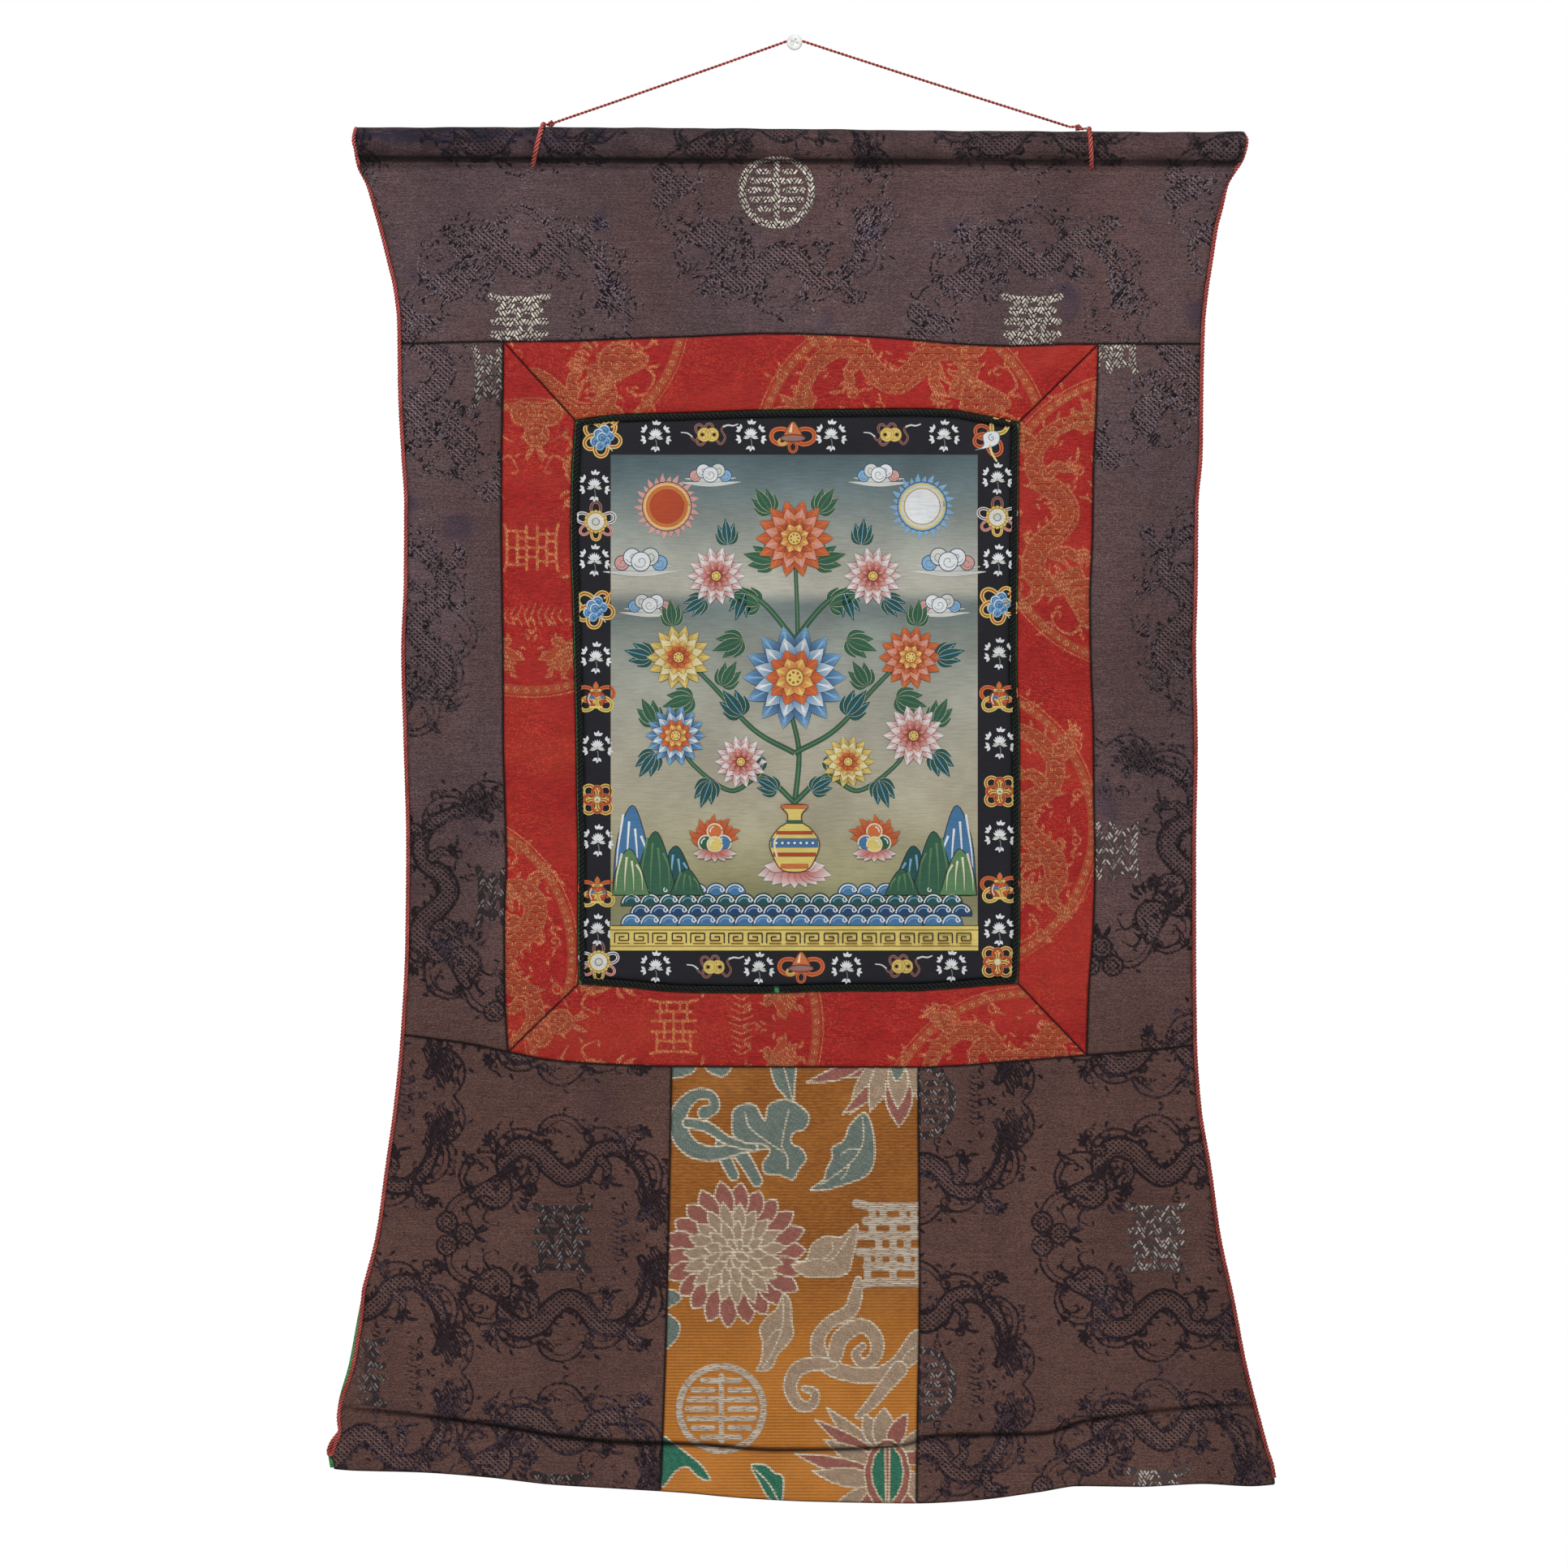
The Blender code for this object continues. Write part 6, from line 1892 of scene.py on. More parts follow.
class Tailor:
    """Cuts, weaves and hangs every panel."""

    def __init__(self, form: Hanging, finishes: Finishes) -> None:
        """Keep the form and the finishes, and draw the charts."""
        self.form = form
        self.finishes = finishes
        self.dark = {True: dark_chart(True), False: dark_chart(False)}
        self.red = red_chart()
        self.garden = Garden().chart()
        self.mitres = self._mitres()

    @staticmethod
    def _corner(upright: Curve, level: Curve) -> tuple[float, float]:
        """Where an upright edge meets a level one."""
        x = float(upright(-450.0))
        for _ in range(SETTLE_ROUNDS):
            z = float(level(x))
            x = float(upright(z))
        return x, z

    def _mitres(self) -> dict[tuple[str, str], tuple[Curve, Curve]]:
        """Each mitre's line, as x of z and as z of x."""
        uprights = {"left": (outer_left, inner_left), "right": (outer_right, inner_right)}
        levels = {"top": (top_seam, opening_top), "bottom": (lower_seam, opening_bottom)}
        made = {}
        for side, (out, into) in uprights.items():
            for line, (seam, opening) in levels.items():
                a = self._corner(out, seam)
                b = self._corner(into, opening)
                slope = (b[0] - a[0]) / (b[1] - a[1])
                made[side, line] = (lambda z, a=a, s=slope: a[0] + (z - a[1]) * s,
                                    lambda x, a=a, s=slope: a[1] + (x - a[0]) / s)
        return made

    def surface(self, x: Array, z: Array, seam: Array, puffed: object = 1.0) -> Array:
        """Middle of the cloth at a distance from its seams."""
        form = self.form
        y = form.cloth_y(x, z) - folded(FOLDS, x, z) * ramp(-z, 84.0, 100.0)
        y = y - form.puff * (1.0 - np.exp(-seam / form.puff_reach)) * puffed
        y = y + SEAM_DIP * np.exp(-(seam / SEAM_DIP_REACH) ** 2) * puffed
        outline = np.minimum(x - form.front_left(z), form.front_right(z) - x)
        y = y + EDGE_DIP * np.exp(-(outline / EDGE_DIP_REACH) ** 2) * puffed
        above = z - crease_line(x)
        lip = 1.0 - np.clip((above + 0.6) / LIP_ROUND, 0.0, 1.0)
        y = y - hem_fold(x) * np.sqrt(1.0 - lip ** 2) * np.exp(-np.maximum(above, 0.0) / LIP_REACH)
        return y + CREASE_DIP * np.exp(-((above + 1.2) / CREASE_REACH) ** 2)

    def _flat(self, x: Array, z: Array, thick: float) -> Cloth:
        """Cloth on a patch of x and z."""
        seam = rim_distance(x, z)
        y = self.surface(x, z, seam)
        # The finish darkens cloth near each edge: dark joins at seams, painted shade beside the piping, and,
        # added here, a painted shadow line in the hem's crease, darker where the fold reaches further.
        near = np.minimum(seam, np.abs(z - crease_line(x) + 1.4) * 0.5 + 1.0 / hem_fold(x) - 0.3)
        return Cloth(np.stack((x, y, z), axis=-1), forward(x), z.copy(), near, thick, relief=CREAM_RELIEF)

    def _finish(self, cloth: Cloth, name: str, finish: bpy.types.Material, slot: str) -> None:
        made = dress(cloth.build(name, finish), slot, name)

    def _dark_repeats(self, panel: str) -> list[Repeat]:
        """The dark charts that fall on a panel."""
        return [Repeat(self.dark[is_round], x, z, turn, flip)
                for where, x, z, turn, flip, is_round in DARK_REPEATS[1] if where == panel]

    def dark_panels(self) -> None:
        """The four dark panels beside and below the painting."""
        gap = STITCH_LINE
        form = self.form
        seams = [moved(top_seam, -gap), moved(lower_seam, gap)]
        cuts = (("left_side_panel", form.front_left, moved(outer_left, -gap), seams),
                ("right_side_panel", moved(outer_right, gap), form.front_right, seams),
                ("lower_left_panel", form.front_left, moved(door_left, -gap), LOW_LEVELS),
                ("lower_right_panel", moved(door_right, gap), form.front_right, LOW_LEVELS))
        for name, left, right, levels in cuts:
            cloth = self._flat(*fine_patch(left, right, levels, DARK_PITCH), form.cloth)
            cloth.weave(self._dark_repeats(name), SILKS)
            self._finish(cloth, name, self.finishes.dark, "dark_brocade")

    def red_border(self) -> None:
        """Four mitred strips round the painting."""
        lean = 1.4 * STITCH_LINE
        m = self.mitres
        cuts = (("red_border_top",
                 moved(m["left", "top"][0], lean), moved(m["right", "top"][0], -lean),
                 [moved(top_seam, -STITCH_LINE), opening_top]),
                ("red_border_bottom",
                 moved(m["left", "bottom"][0], lean), moved(m["right", "bottom"][0], -lean),
                 [opening_bottom, moved(lower_seam, STITCH_LINE)]),
                ("red_border_left", moved(outer_left, STITCH_LINE), inner_left,
                 [moved(m["left", "top"][1], -lean), moved(m["left", "bottom"][1], lean)]),
                ("red_border_right", inner_right, moved(outer_right, -STITCH_LINE),
                 [moved(m["right", "top"][1], -lean), moved(m["right", "bottom"][1], lean)]))
        for name, left, right, levels in cuts:
            cloth = self._flat(*fine_patch(left, right, levels, RED_PITCH), self.form.cloth)
            repeats = [Repeat(self.red, x, z, turn, flip)
                       for where, x, z, turn, flip in RED_REPEATS[1] if where == name]
            cloth.weave(repeats, SILKS)
            cloth.relief = 0.0
            self._finish(cloth, name, self.finishes.red, "red_brocade")

    def door(self) -> None:
        """The gold panel let in below the painting."""
        left = moved(door_left, STITCH_LINE)
        right = moved(door_right, -STITCH_LINE)
        cloth = self._flat(*fine_patch(left, right, LOW_LEVELS, GOLD_PITCH), self.form.cloth)
        cloth.weave([Repeat(self.garden, 0.0, 0.0)], FLOWERS)
        self._finish(cloth, "door_panel", self.finishes.gold, "gold_brocade")

    def top(self) -> None:
        """The dark panel over the painting, with its sleeve round the rod."""
        form = self.form

        def start(x: Array) -> Array:
            return form.roll_z(x) + form.sheet_start

        x, z = fine_patch(form.front_left, form.front_right, [start, moved(top_seam, STITCH_LINE)],
                          DARK_PITCH)
        across = np.linspace(0.0, 1.0, x.shape[1])
        seam = np.minimum(np.minimum(x - x[:, :1], x[:, -1:] - x), z - z[-1:, :])
        y = self.surface(x, z, seam, ramp(-z, 88.0, 116.0))
        sleeve = [(TAIL_OFF, TAIL_END), (TAIL_OFF, -18.0), (TAIL_OFF, form.sheet_start), SLEEVE_NECK]
        for turn in np.radians(np.linspace(SLEEVE_OPEN_DEG, 360.0 - SLEEVE_OPEN_DEG, SLEEVE_ARC_STEPS + 1)):
            sleeve.append((form.sleeve_radius * math.sin(turn), -form.sleeve_radius * math.cos(turn)))
        sleeve += [(-SLEEVE_NECK[0], SLEEVE_NECK[1]), (form.sheet_off, form.sheet_start)]
        path = np.array(sleeve)
        run = np.gradient(path, axis=0)
        run /= np.linalg.norm(run, axis=1)[:, None]
        left_over = np.cumsum(np.linalg.norm(np.diff(path[::-1], axis=0), axis=1))[::-1]
        rows = []
        for (dy, dz), (ry, rz), extra in zip(path[:-1], run[:-1], left_over):
            left = form.front_left(form.roll_z(form.rod_left) + dz)
            right = form.front_right(form.roll_z(form.rod_right) + dz)
            row_x = left + (right - left) * across
            swell = 1.0 + roll_swell(row_x) / form.sleeve_radius * ramp(dz, -13.0, -8.0)
            wrinkle = 0.22 * np.sin(row_x / 7.0 + dz) * np.sin(row_x / 23.0) * ramp(dz, -12.0, -6.0)
            rows.append((np.stack((row_x, form.roll_y + dy * swell + rz * wrinkle,
                                   form.roll_z(row_x) + dz * swell - ry * wrinkle), axis=-1),
                         np.broadcast_to((0.0, rz, -ry), (len(row_x), 3)),
                         form.roll_z(row_x) + form.sheet_start + extra))
        middle = np.concatenate((np.array([row[0] for row in rows]), np.stack((x, y, z), axis=-1)))
        y = y - NECK_BULGE * ramp(start(x) - z, 0.0, 4.0) * np.exp(-((start(x) - z) / NECK_REACH) ** 2)
        middle[len(rows):, :, 1] = y
        # A dark line under the roll, which the finish paints nearly black: the sleeve's stitching and the
        # painted shadow under the roll; the roll itself is kept clear.
        seam_and_shadow_line = np.maximum(np.abs(middle[..., 2] - form.roll_z(middle[..., 0]) + 10.6) - 0.9, 0.0) * 0.7
        seam_and_shadow_line += 0.16 + 0.24 * np.sin(middle[..., 0] / 19.0) * np.sin(middle[..., 0] / 47.0)
        seam_and_shadow_line[:len(rows)] += ON_ROLL * (np.arange(len(rows)) < len(rows) // 2)[:, None]
        near = np.concatenate((np.full((len(rows), x.shape[1]), ON_ROLL),
                               seam + ON_ROLL * (1 - ramp(-z, 88.0, 116.0))))
        near = np.minimum(near, seam_and_shadow_line)
        cloth = Cloth(middle, np.concatenate((np.array([row[1] for row in rows]), forward(x))),
                      np.concatenate((np.array([row[2] for row in rows]), z)), near, form.cloth, 3,
                      relief=CREAM_RELIEF)
        cloth.weave(self._dark_repeats("top_panel"), SILKS)
        self._finish(cloth, "top_panel", self.finishes.dark, "dark_brocade")

    def lining(self) -> None:
        """The cloth behind, from under the roll to the hem."""
        def start(x: Array) -> Array:
            return self.form.roll_z(x) + LINING_START

        x, z = fine_patch(moved(edge_left, LINING_INSET), moved(edge_right, -LINING_INSET),
                          [start, crease_line, moved(bottom_line, 0.8)], 2 * PLAIN_PITCH)
        slack = LINING_OFF + LINING_SLACK * ramp(-z, 98.0, 125.0)
        y = self.form.cloth_y(x, z) + slack
        cloth = Cloth(np.stack((x, y, z), axis=-1), forward(x), z.copy(), np.full(x.shape, FAR_AWAY),
                      self.form.lining, 1)
        self._finish(cloth, "lining", self.finishes.green, "green_lining")


# ================================================================ the painting

class Paint(Enum):
    """The painter's colours, as they look on screen."""

    NIGHT = (31, 31, 38)
    WHITE = (226, 229, 229)
    PALE = (206, 208, 200)
    CREAM = (226, 216, 186)
    YELLOW = (222, 200, 112)
    OCHRE = (176, 138, 66)
    ORANGE = (206, 112, 62)
    FLAME = (178, 74, 44)
    RED = (150, 52, 44)
    MAROON = (104, 50, 48)
    MAUVE = (150, 112, 104)
    PINK = (214, 158, 148)
    ROSE = (190, 104, 96)
    BLUE = (72, 118, 160)
    SKY = (128, 172, 208)
    DEEP = (40, 70, 104)
    GREEN = (54, 96, 74)
    LEAF = (92, 132, 90)
    TEAL = (40, 84, 82)
    BROWN = (94, 66, 46)
    INK = (44, 38, 36)
    GREY = (120, 130, 132)


GROUND: Table = (("share", "red", "green", "blue"), (
    (0.00, 80, 98, 104),
    (0.06, 106, 122, 124),
    (0.16, 150, 156, 148),
    (0.27, 184, 182, 168),
    (0.31, 116, 128, 126),
    (0.36, 138, 146, 138),
    (0.50, 166, 166, 152),
    (0.70, 176, 170, 146),
    (0.84, 162, 156, 120),
    (0.90, 134, 134, 98),
    (1.00, 168, 162, 132),
))


class Brush(Medium):
    """Paint on the canvas: flat strokes, each a little over the last."""

    FIRST = 0.06
    LAYER = 0.012

    def __init__(self, surface: Callable[[Array, Array], Array]) -> None:
        """Paint over a surface that gives y at x and z."""
        self.surface = surface
        self.points: list[Array] = []
        self.tints: list[Array] = []
        self.faces: list[list[int]] = []
        self.count = 0
        self.lift = self.FIRST

    def begin(self, layers: float = 0.0) -> None:
        """Start a motif, some layers above the ground."""
        self.lift = self.FIRST + layers * self.LAYER

    def lay(self, flat: Array, colours: Array, faces: Array) -> None:
        """Add points, their colours and their faces."""
        y = self.surface(flat[:, 0], flat[:, 1]) - self.lift
        self.points.append(np.stack((flat[:, 0], y, flat[:, 1]), axis=1))
        self.tints.append(lights(colours))
        self.faces.extend((np.asarray(faces) + self.count).tolist())
        self.count += len(flat)
        self.lift += self.LAYER

    def mark(self, tone: Enum, path: Array, half: Array, level: float, edge: Optional[Enum],
             rim: float, tip: Optional[Enum]) -> None:
        """Paint one stroke, with its outline under it."""
        if edge:
            wider = half + rim * np.minimum(half / (0.5 * half.max()), 1.0)
            self.mark(edge, path, wider, level, None, rim, None)
        run = np.gradient(path, axis=0)
        run /= np.maximum(np.linalg.norm(run, axis=1), 1e-9)[:, None]
        side = np.stack((-run[:, 1], run[:, 0]), axis=1) * half[:, None]
        count = len(path)
        flat = np.concatenate((path + side, path - side))
        share = np.linspace(0.0, 1.0, count)[:, None] ** 1.5
        start = np.array(tone.value, dtype=float)
        end = np.array((tip or tone).value, dtype=float)
        colours = np.tile(start * (1 - share) + end * share, (2, 1))
        i = np.arange(count - 1)
        self.lay(flat, colours, np.stack((i, i + count, i + count + 1, i + 1), axis=1))

    def area(self, tone: Enum, outline: Array, level: float, edge: Optional[Enum], rim: float) -> None:
        """Paint one filled outline, and then its edge."""
        after = np.roll(outline, -1, axis=0)
        turned = float((outline[:, 0] * after[:, 1] - after[:, 0] * outline[:, 1]).sum()) < 0
        loop = outline[::-1] if turned else outline
        cut = tessellate_polygon([[Vector((x, z, 0.0)) for x, z in loop.tolist()]])
        faces = []
        for a, b, c in cut:
            ab = loop[b] - loop[a]
            ac = loop[c] - loop[a]
            faces.append((a, b, c) if ab[0] * ac[1] - ab[1] * ac[0] > 0 else (a, c, b))
        self.lay(loop, np.tile(np.array(tone.value, dtype=float), (len(loop), 1)), np.array(faces))
        if edge:
            ring = np.vstack((loop, loop[:2]))
            self.mark(edge, ring, np.full(len(ring), rim), level, None, rim, None)

    def build(self, name: str, finish: bpy.types.Material) -> bpy.types.Object:
        """Join every stroke into one piece."""
        return link_mesh(name, np.concatenate(self.points), self.faces, finish,
                         {"tint": np.concatenate(self.tints)})


def ribbon(hand: Hand, outer: Paint, inner: Paint, points: Sequence, half: float) -> None:
    """A ribbon of two colours."""
    path = smooth(points, 5)
    hand.mark(outer, path, taper(len(path), half, 1.0, 0.7))
    hand.mark(inner, path, taper(len(path), half * 0.45, 1.0, 0.7))


def loop(hand: Hand, outer: Paint, inner: Paint, x: float, z: float, turn: float, length: float) -> None:
    """A closed loop of ribbon, out from a point and back."""
    placed = hand.at(x, z, turn)
    width = 0.34 * length
    path = smooth([(0.0, 0.0), (0.4 * length, width), (0.85 * length, 0.8 * width), (length, 0.0),
                   (0.85 * length, -0.8 * width), (0.4 * length, -width), (0.0, 0.0)], 4)
    placed.mark(outer, path, 0.08 * length + 0.3)
    placed.mark(inner, path, 0.03 * length + 0.1)


def spray(hand: Hand) -> None:
    """A white lotus and its leaflets."""
    for x, z, turn in ((-6.4, 3.6, 146.0), (6.2, 3.2, 36.0), (-6.6, -2.4, 192.0), (7.0, -2.8, -12.0),
                       (0.5, 7.0, 84.0), (0.0, -7.4, -96.0)):
        for fan in (-50.0, 0.0, 46.0):
            way = math.radians(turn + fan)
            hand.leaf(Paint.WHITE, (x + 0.5 * math.cos(way), z + 0.5 * math.sin(way)),
                      (x + 4.1 * math.cos(way), z + 4.1 * math.sin(way)), 1.9, 0.2)
    hand.mark(Paint.GREY, smooth([(0.0, -2.6), (0.7, -6.0), (0.0, -9.4)], 4), 0.32)
    for k in range(6):
        turn = math.radians(-8.0 + 39.0 * k)
        hand.leaf(Paint.PALE, (0.8 * math.cos(turn), -1.8),
                  (5.4 * math.cos(turn), -2.0 + 2.4 * math.sin(turn)), 1.6)
    for k in range(7):
        turn = math.radians(34.0 + 18.6 * k)
        hand.leaf(Paint.WHITE, (0.9 * math.cos(turn), -1.2 + 0.9 * math.sin(turn)),
                  (5.4 * math.cos(turn), -1.4 + 6.6 * math.sin(turn)), 1.5)


def rings(hand: Hand) -> None:
    """Two yellow rings on mauve loops, with white scarf tails."""
    for x, turn in ((-4.0, 118.0), (0.0, 84.0), (-3.0, -118.0)):
        loop(hand, Paint.MAUVE, Paint.MAROON, x, 0.0, turn, 7.6)
    ribbon(hand, Paint.MAUVE, Paint.MAROON,
           ((5.0, -3.0), (8.5, -6.4), (11.5, -2.0), (9.0, 3.4), (11.0, 6.4)), 0.9)
    ribbon(hand, Paint.MAUVE, Paint.MAROON, ((-5.0, -1.0), (-9.0, -4.0), (-12.0, -1.5)), 0.9)
    ribbon(hand, Paint.WHITE, Paint.PALE, ((10.0, 5.4), (13.5, 6.6), (17.0, 6.2), (20.5, 7.4)), 0.6)
    ribbon(hand, Paint.WHITE, Paint.PALE, ((-11.0, -1.5), (-14.5, 1.0), (-19.0, 1.6)), 0.5)
    for x in (2.4, -2.8):
        hand.disc(Paint.YELLOW, x, 0.0, 4.7, 0.0, Paint.OCHRE, 0.25)
        hand.mark(Paint.OCHRE, arc(x, 0.0, 3.2, 0.0, 360.0, 18), 0.22)
    for x in (-4.2, 3.9):
        hand.disc(Paint.NIGHT, x, 0.0, 1.35, 0.0, Paint.OCHRE, 0.25)


def parasol(hand: Hand) -> None:
    """A ribboned parasol."""
    for turn in (8.0, 172.0):
        loop(hand, Paint.ORANGE, Paint.FLAME, 0.0, -1.0, turn, 15.0)
    loop(hand, Paint.YELLOW, Paint.OCHRE, -4.0, -2.0, -160.0, 6.0)
    loop(hand, Paint.ORANGE, Paint.RED, 0.0, -3.0, -90.0, 7.5)
    hand.area(Paint.ORANGE, smooth([(-7.0, -0.5), (-4.4, 5.0), (0.0, 10.5), (4.4, 5.0), (7.0, -0.5)], 4), 0.0,
              Paint.BROWN, 0.3)
    hand.mark(Paint.CREAM, np.array([(-0.6, 9.0), (-1.8, 3.0)]), (0.3, 1.0))
    brim = arc(0.0, -1.0, 8.6, 0.0, 345.0, 23, 0.28)
    hand.area(Paint.MAUVE, brim, 0.0, Paint.MAROON, 0.35)


def blue_flower(hand: Hand) -> None:
    """A blue flower among yellow loops."""
    for turn, length in ((140.0, 14.0), (205.0, 13.0), (-95.0, 13.0), (-15.0, 13.0), (55.0, 13.0)):
        loop(hand, Paint.YELLOW, Paint.FLAME, 0.0, 0.0, turn, length)
    ribbon(hand, Paint.ORANGE, Paint.YELLOW, ((6.0, 7.0), (9.0, 9.0), (12.0, 12.5)), 0.9)
    for x, z, size in ((-4.6, -2.6, 3.2), (4.8, 1.0, 3.2), (1.6, 5.0, 3.4), (-2.4, 2.6, 3.2),
                       (2.4, -2.8, 3.1), (-1.4, -5.8, 2.6), (0.0, 0.0, 3.3)):
        hand.disc(Paint.BLUE, x, z, size, 0.0, Paint.SKY, 0.55)
        hand.mark(Paint.WHITE, arc(x, z, size * 0.98, 40.0, 200.0, 9), 0.28)
        hand.mark(Paint.SKY, arc(x, z, size * 0.45, 0.0, 250.0, 8), 0.35)
    hand.mark(Paint.WHITE, np.array([(3.6, -4.6), (7.2, -9.4)]), 0.28)


def boss(hand: Hand) -> None:
    """A scalloped boss on ribbon loops."""
    loop(hand, Paint.MAUVE, Paint.MAROON, 0.0, 4.0, 90.0, 9.5)
    loop(hand, Paint.YELLOW, Paint.ORANGE, 0.0, -4.0, -90.0, 8.5)
    for way in (-1.0, 1.0):
        turn = 90.0 - way * 72.0
        loop(hand, Paint.WHITE, Paint.MAROON, way * 4.0, 1.0, turn, 9.5)
        loop(hand, Paint.PINK, Paint.ROSE, way * 4.0, -3.0, 90.0 - way * 128.0, 8.0)
    for k in range(16):
        turn = math.radians(22.5 * k)
        hand.disc(Paint.YELLOW, *around(6.6, turn), 1.4, 0.0, Paint.OCHRE, 0.2)
    hand.disc(Paint.CREAM, 0.0, 0.0, 6.2, 0.0, Paint.OCHRE, 0.3)
    for k in range(16):
        turn = math.radians(22.5 * k)
        hand.mark(Paint.WHITE, np.array([around(2.6, turn), around(5.6, turn)]), (0.25, 0.55))
    hand.disc(Paint.PALE, 0.0, 0.0, 2.4, 0.0, Paint.GREY, 0.3)


def jar(hand: Hand) -> None:
    """A lidded jar with ribbons."""
    for way in (-1.0, 1.0):
        loop(hand, Paint.ORANGE, Paint.FLAME, 0.0, 0.0, 90.0 - way * 68.0, 13.0)
        loop(hand, Paint.YELLOW, Paint.OCHRE, 0.0, -1.0, 90.0 - way * 118.0, 12.0)
    body = smooth([(-4.5, -6.0), (-6.6, 0.0), (-3.4, 4.6), (3.4, 4.6), (6.6, 0.0), (4.5, -6.0)], 4)
    hand.area(Paint.FLAME, body, 0.0, Paint.BROWN, 0.3)
    hand.mark(Paint.BLUE, np.array([(-5.6, 0.4), (5.6, 0.4)]), 1.1)
    hand.mark(Paint.YELLOW, np.array([(-3.6, 5.2), (3.6, 5.2)]), 0.8)
    hand.leaf(Paint.ORANGE, (0.0, 5.4), (0.0, 11.5), 3.6, 0.0, 0.0, Paint.BROWN, 0.3)
    hand.mark(Paint.CREAM, smooth([(-4.0, 3.0), (-5.2, -1.0), (-3.8, -4.6)], 4), 0.4)
    hand.mark(Paint.YELLOW, np.array([(-4.6, -6.4), (4.6, -6.4)]), 0.8)


def knot_emblem(hand: Hand) -> None:
    """Interlaced ribbon loops."""
    for turn in (45.0, 135.0, 225.0, 315.0):
        loop(hand, Paint.YELLOW, Paint.FLAME, 0.0, 0.0, turn, 12.0)
    for turn in (0.0, 90.0, 180.0, 270.0):
        loop(hand, Paint.ORANGE, Paint.RED, 0.0, 0.0, turn, 9.0)
    hand.disc(Paint.CREAM, 0.0, 0.0, 2.6, 0.0, Paint.OCHRE, 0.4)


def shell(hand: Hand) -> None:
    """A white shell among orange and yellow ribbons."""
    for turn, length in ((150.0, 12.0), (200.0, 12.0), (-70.0, 13.0)):
        loop(hand, Paint.ORANGE, Paint.RED, 0.0, 0.0, turn, length)
    loop(hand, Paint.YELLOW, Paint.OCHRE, 1.0, 2.0, 52.0, 15.0)
    ribbon(hand, Paint.YELLOW, Paint.CREAM, ((-1.0, -5.0), (0.5, -11.0), (4.0, -17.0)), 0.9)
    body = smooth([(-11.0, -9.0), (-5.0, -6.0), (-5.5, 1.0), (-1.0, 4.0), (5.0, 3.0), (5.5, -3.0),
                   (1.0, -6.5)], 4, closed=True)
    hand.area(Paint.WHITE, body, 0.0, Paint.GREY, 0.25)
    hand.mark(Paint.GREY, curl(0.5, -0.5, 2.6, 90.0, 1.2), 0.3)


# Each place on the painted border: motif, x and z.
BORDER_MOTIFS: Table = (("motif", "x", "z"), (
    (blue_flower, -132.7, -273.0),
    (spray, -95.8, -271.6),
    (rings, -59.4, -271.0),
    (spray, -30.2, -271.2),
    (parasol, -1.1, -272.4),
    (spray, 25.2, -271.2),
    (rings, 66.6, -271.0),
    (spray, 103.0, -271.4),
    (shell, 135.5, -272.6),
    (spray, -138.0, -306.0),
    (boss, -137.0, -331.0),
    (spray, -138.0, -357.3),
    (blue_flower, -137.5, -391.0),
    (spray, -137.0, -424.5),
    (jar, -137.0, -452.5),
    (spray, -136.0, -486.1),
    (knot_emblem, -136.0, -522.5),
    (spray, -135.5, -550.5),
    (jar, -136.0, -586.9),
    (spray, -136.0, -612.1),
    (boss, -135.0, -634.5),
    (spray, 139.8, -301.0),
    (boss, 139.8, -328.0),
    (spray, 140.4, -357.3),
    (blue_flower, 141.0, -388.1),
    (spray, 141.0, -421.7),
    (jar, 141.0, -452.5),
    (spray, 141.5, -483.3),
    (knot_emblem, 141.5, -516.9),
    (spray, 141.5, -547.7),
    (jar, 141.5, -584.1),
    (spray, 141.0, -612.1),
    (knot_emblem, 140.0, -634.5),
    (spray, -95.8, -637.6),
    (rings, -55.4, -638.0),
    (spray, -24.6, -638.4),
    (parasol, 4.5, -638.0),
    (spray, 35.8, -638.4),
    (rings, 74.5, -637.6),
    (spray, 108.1, -637.0),
))


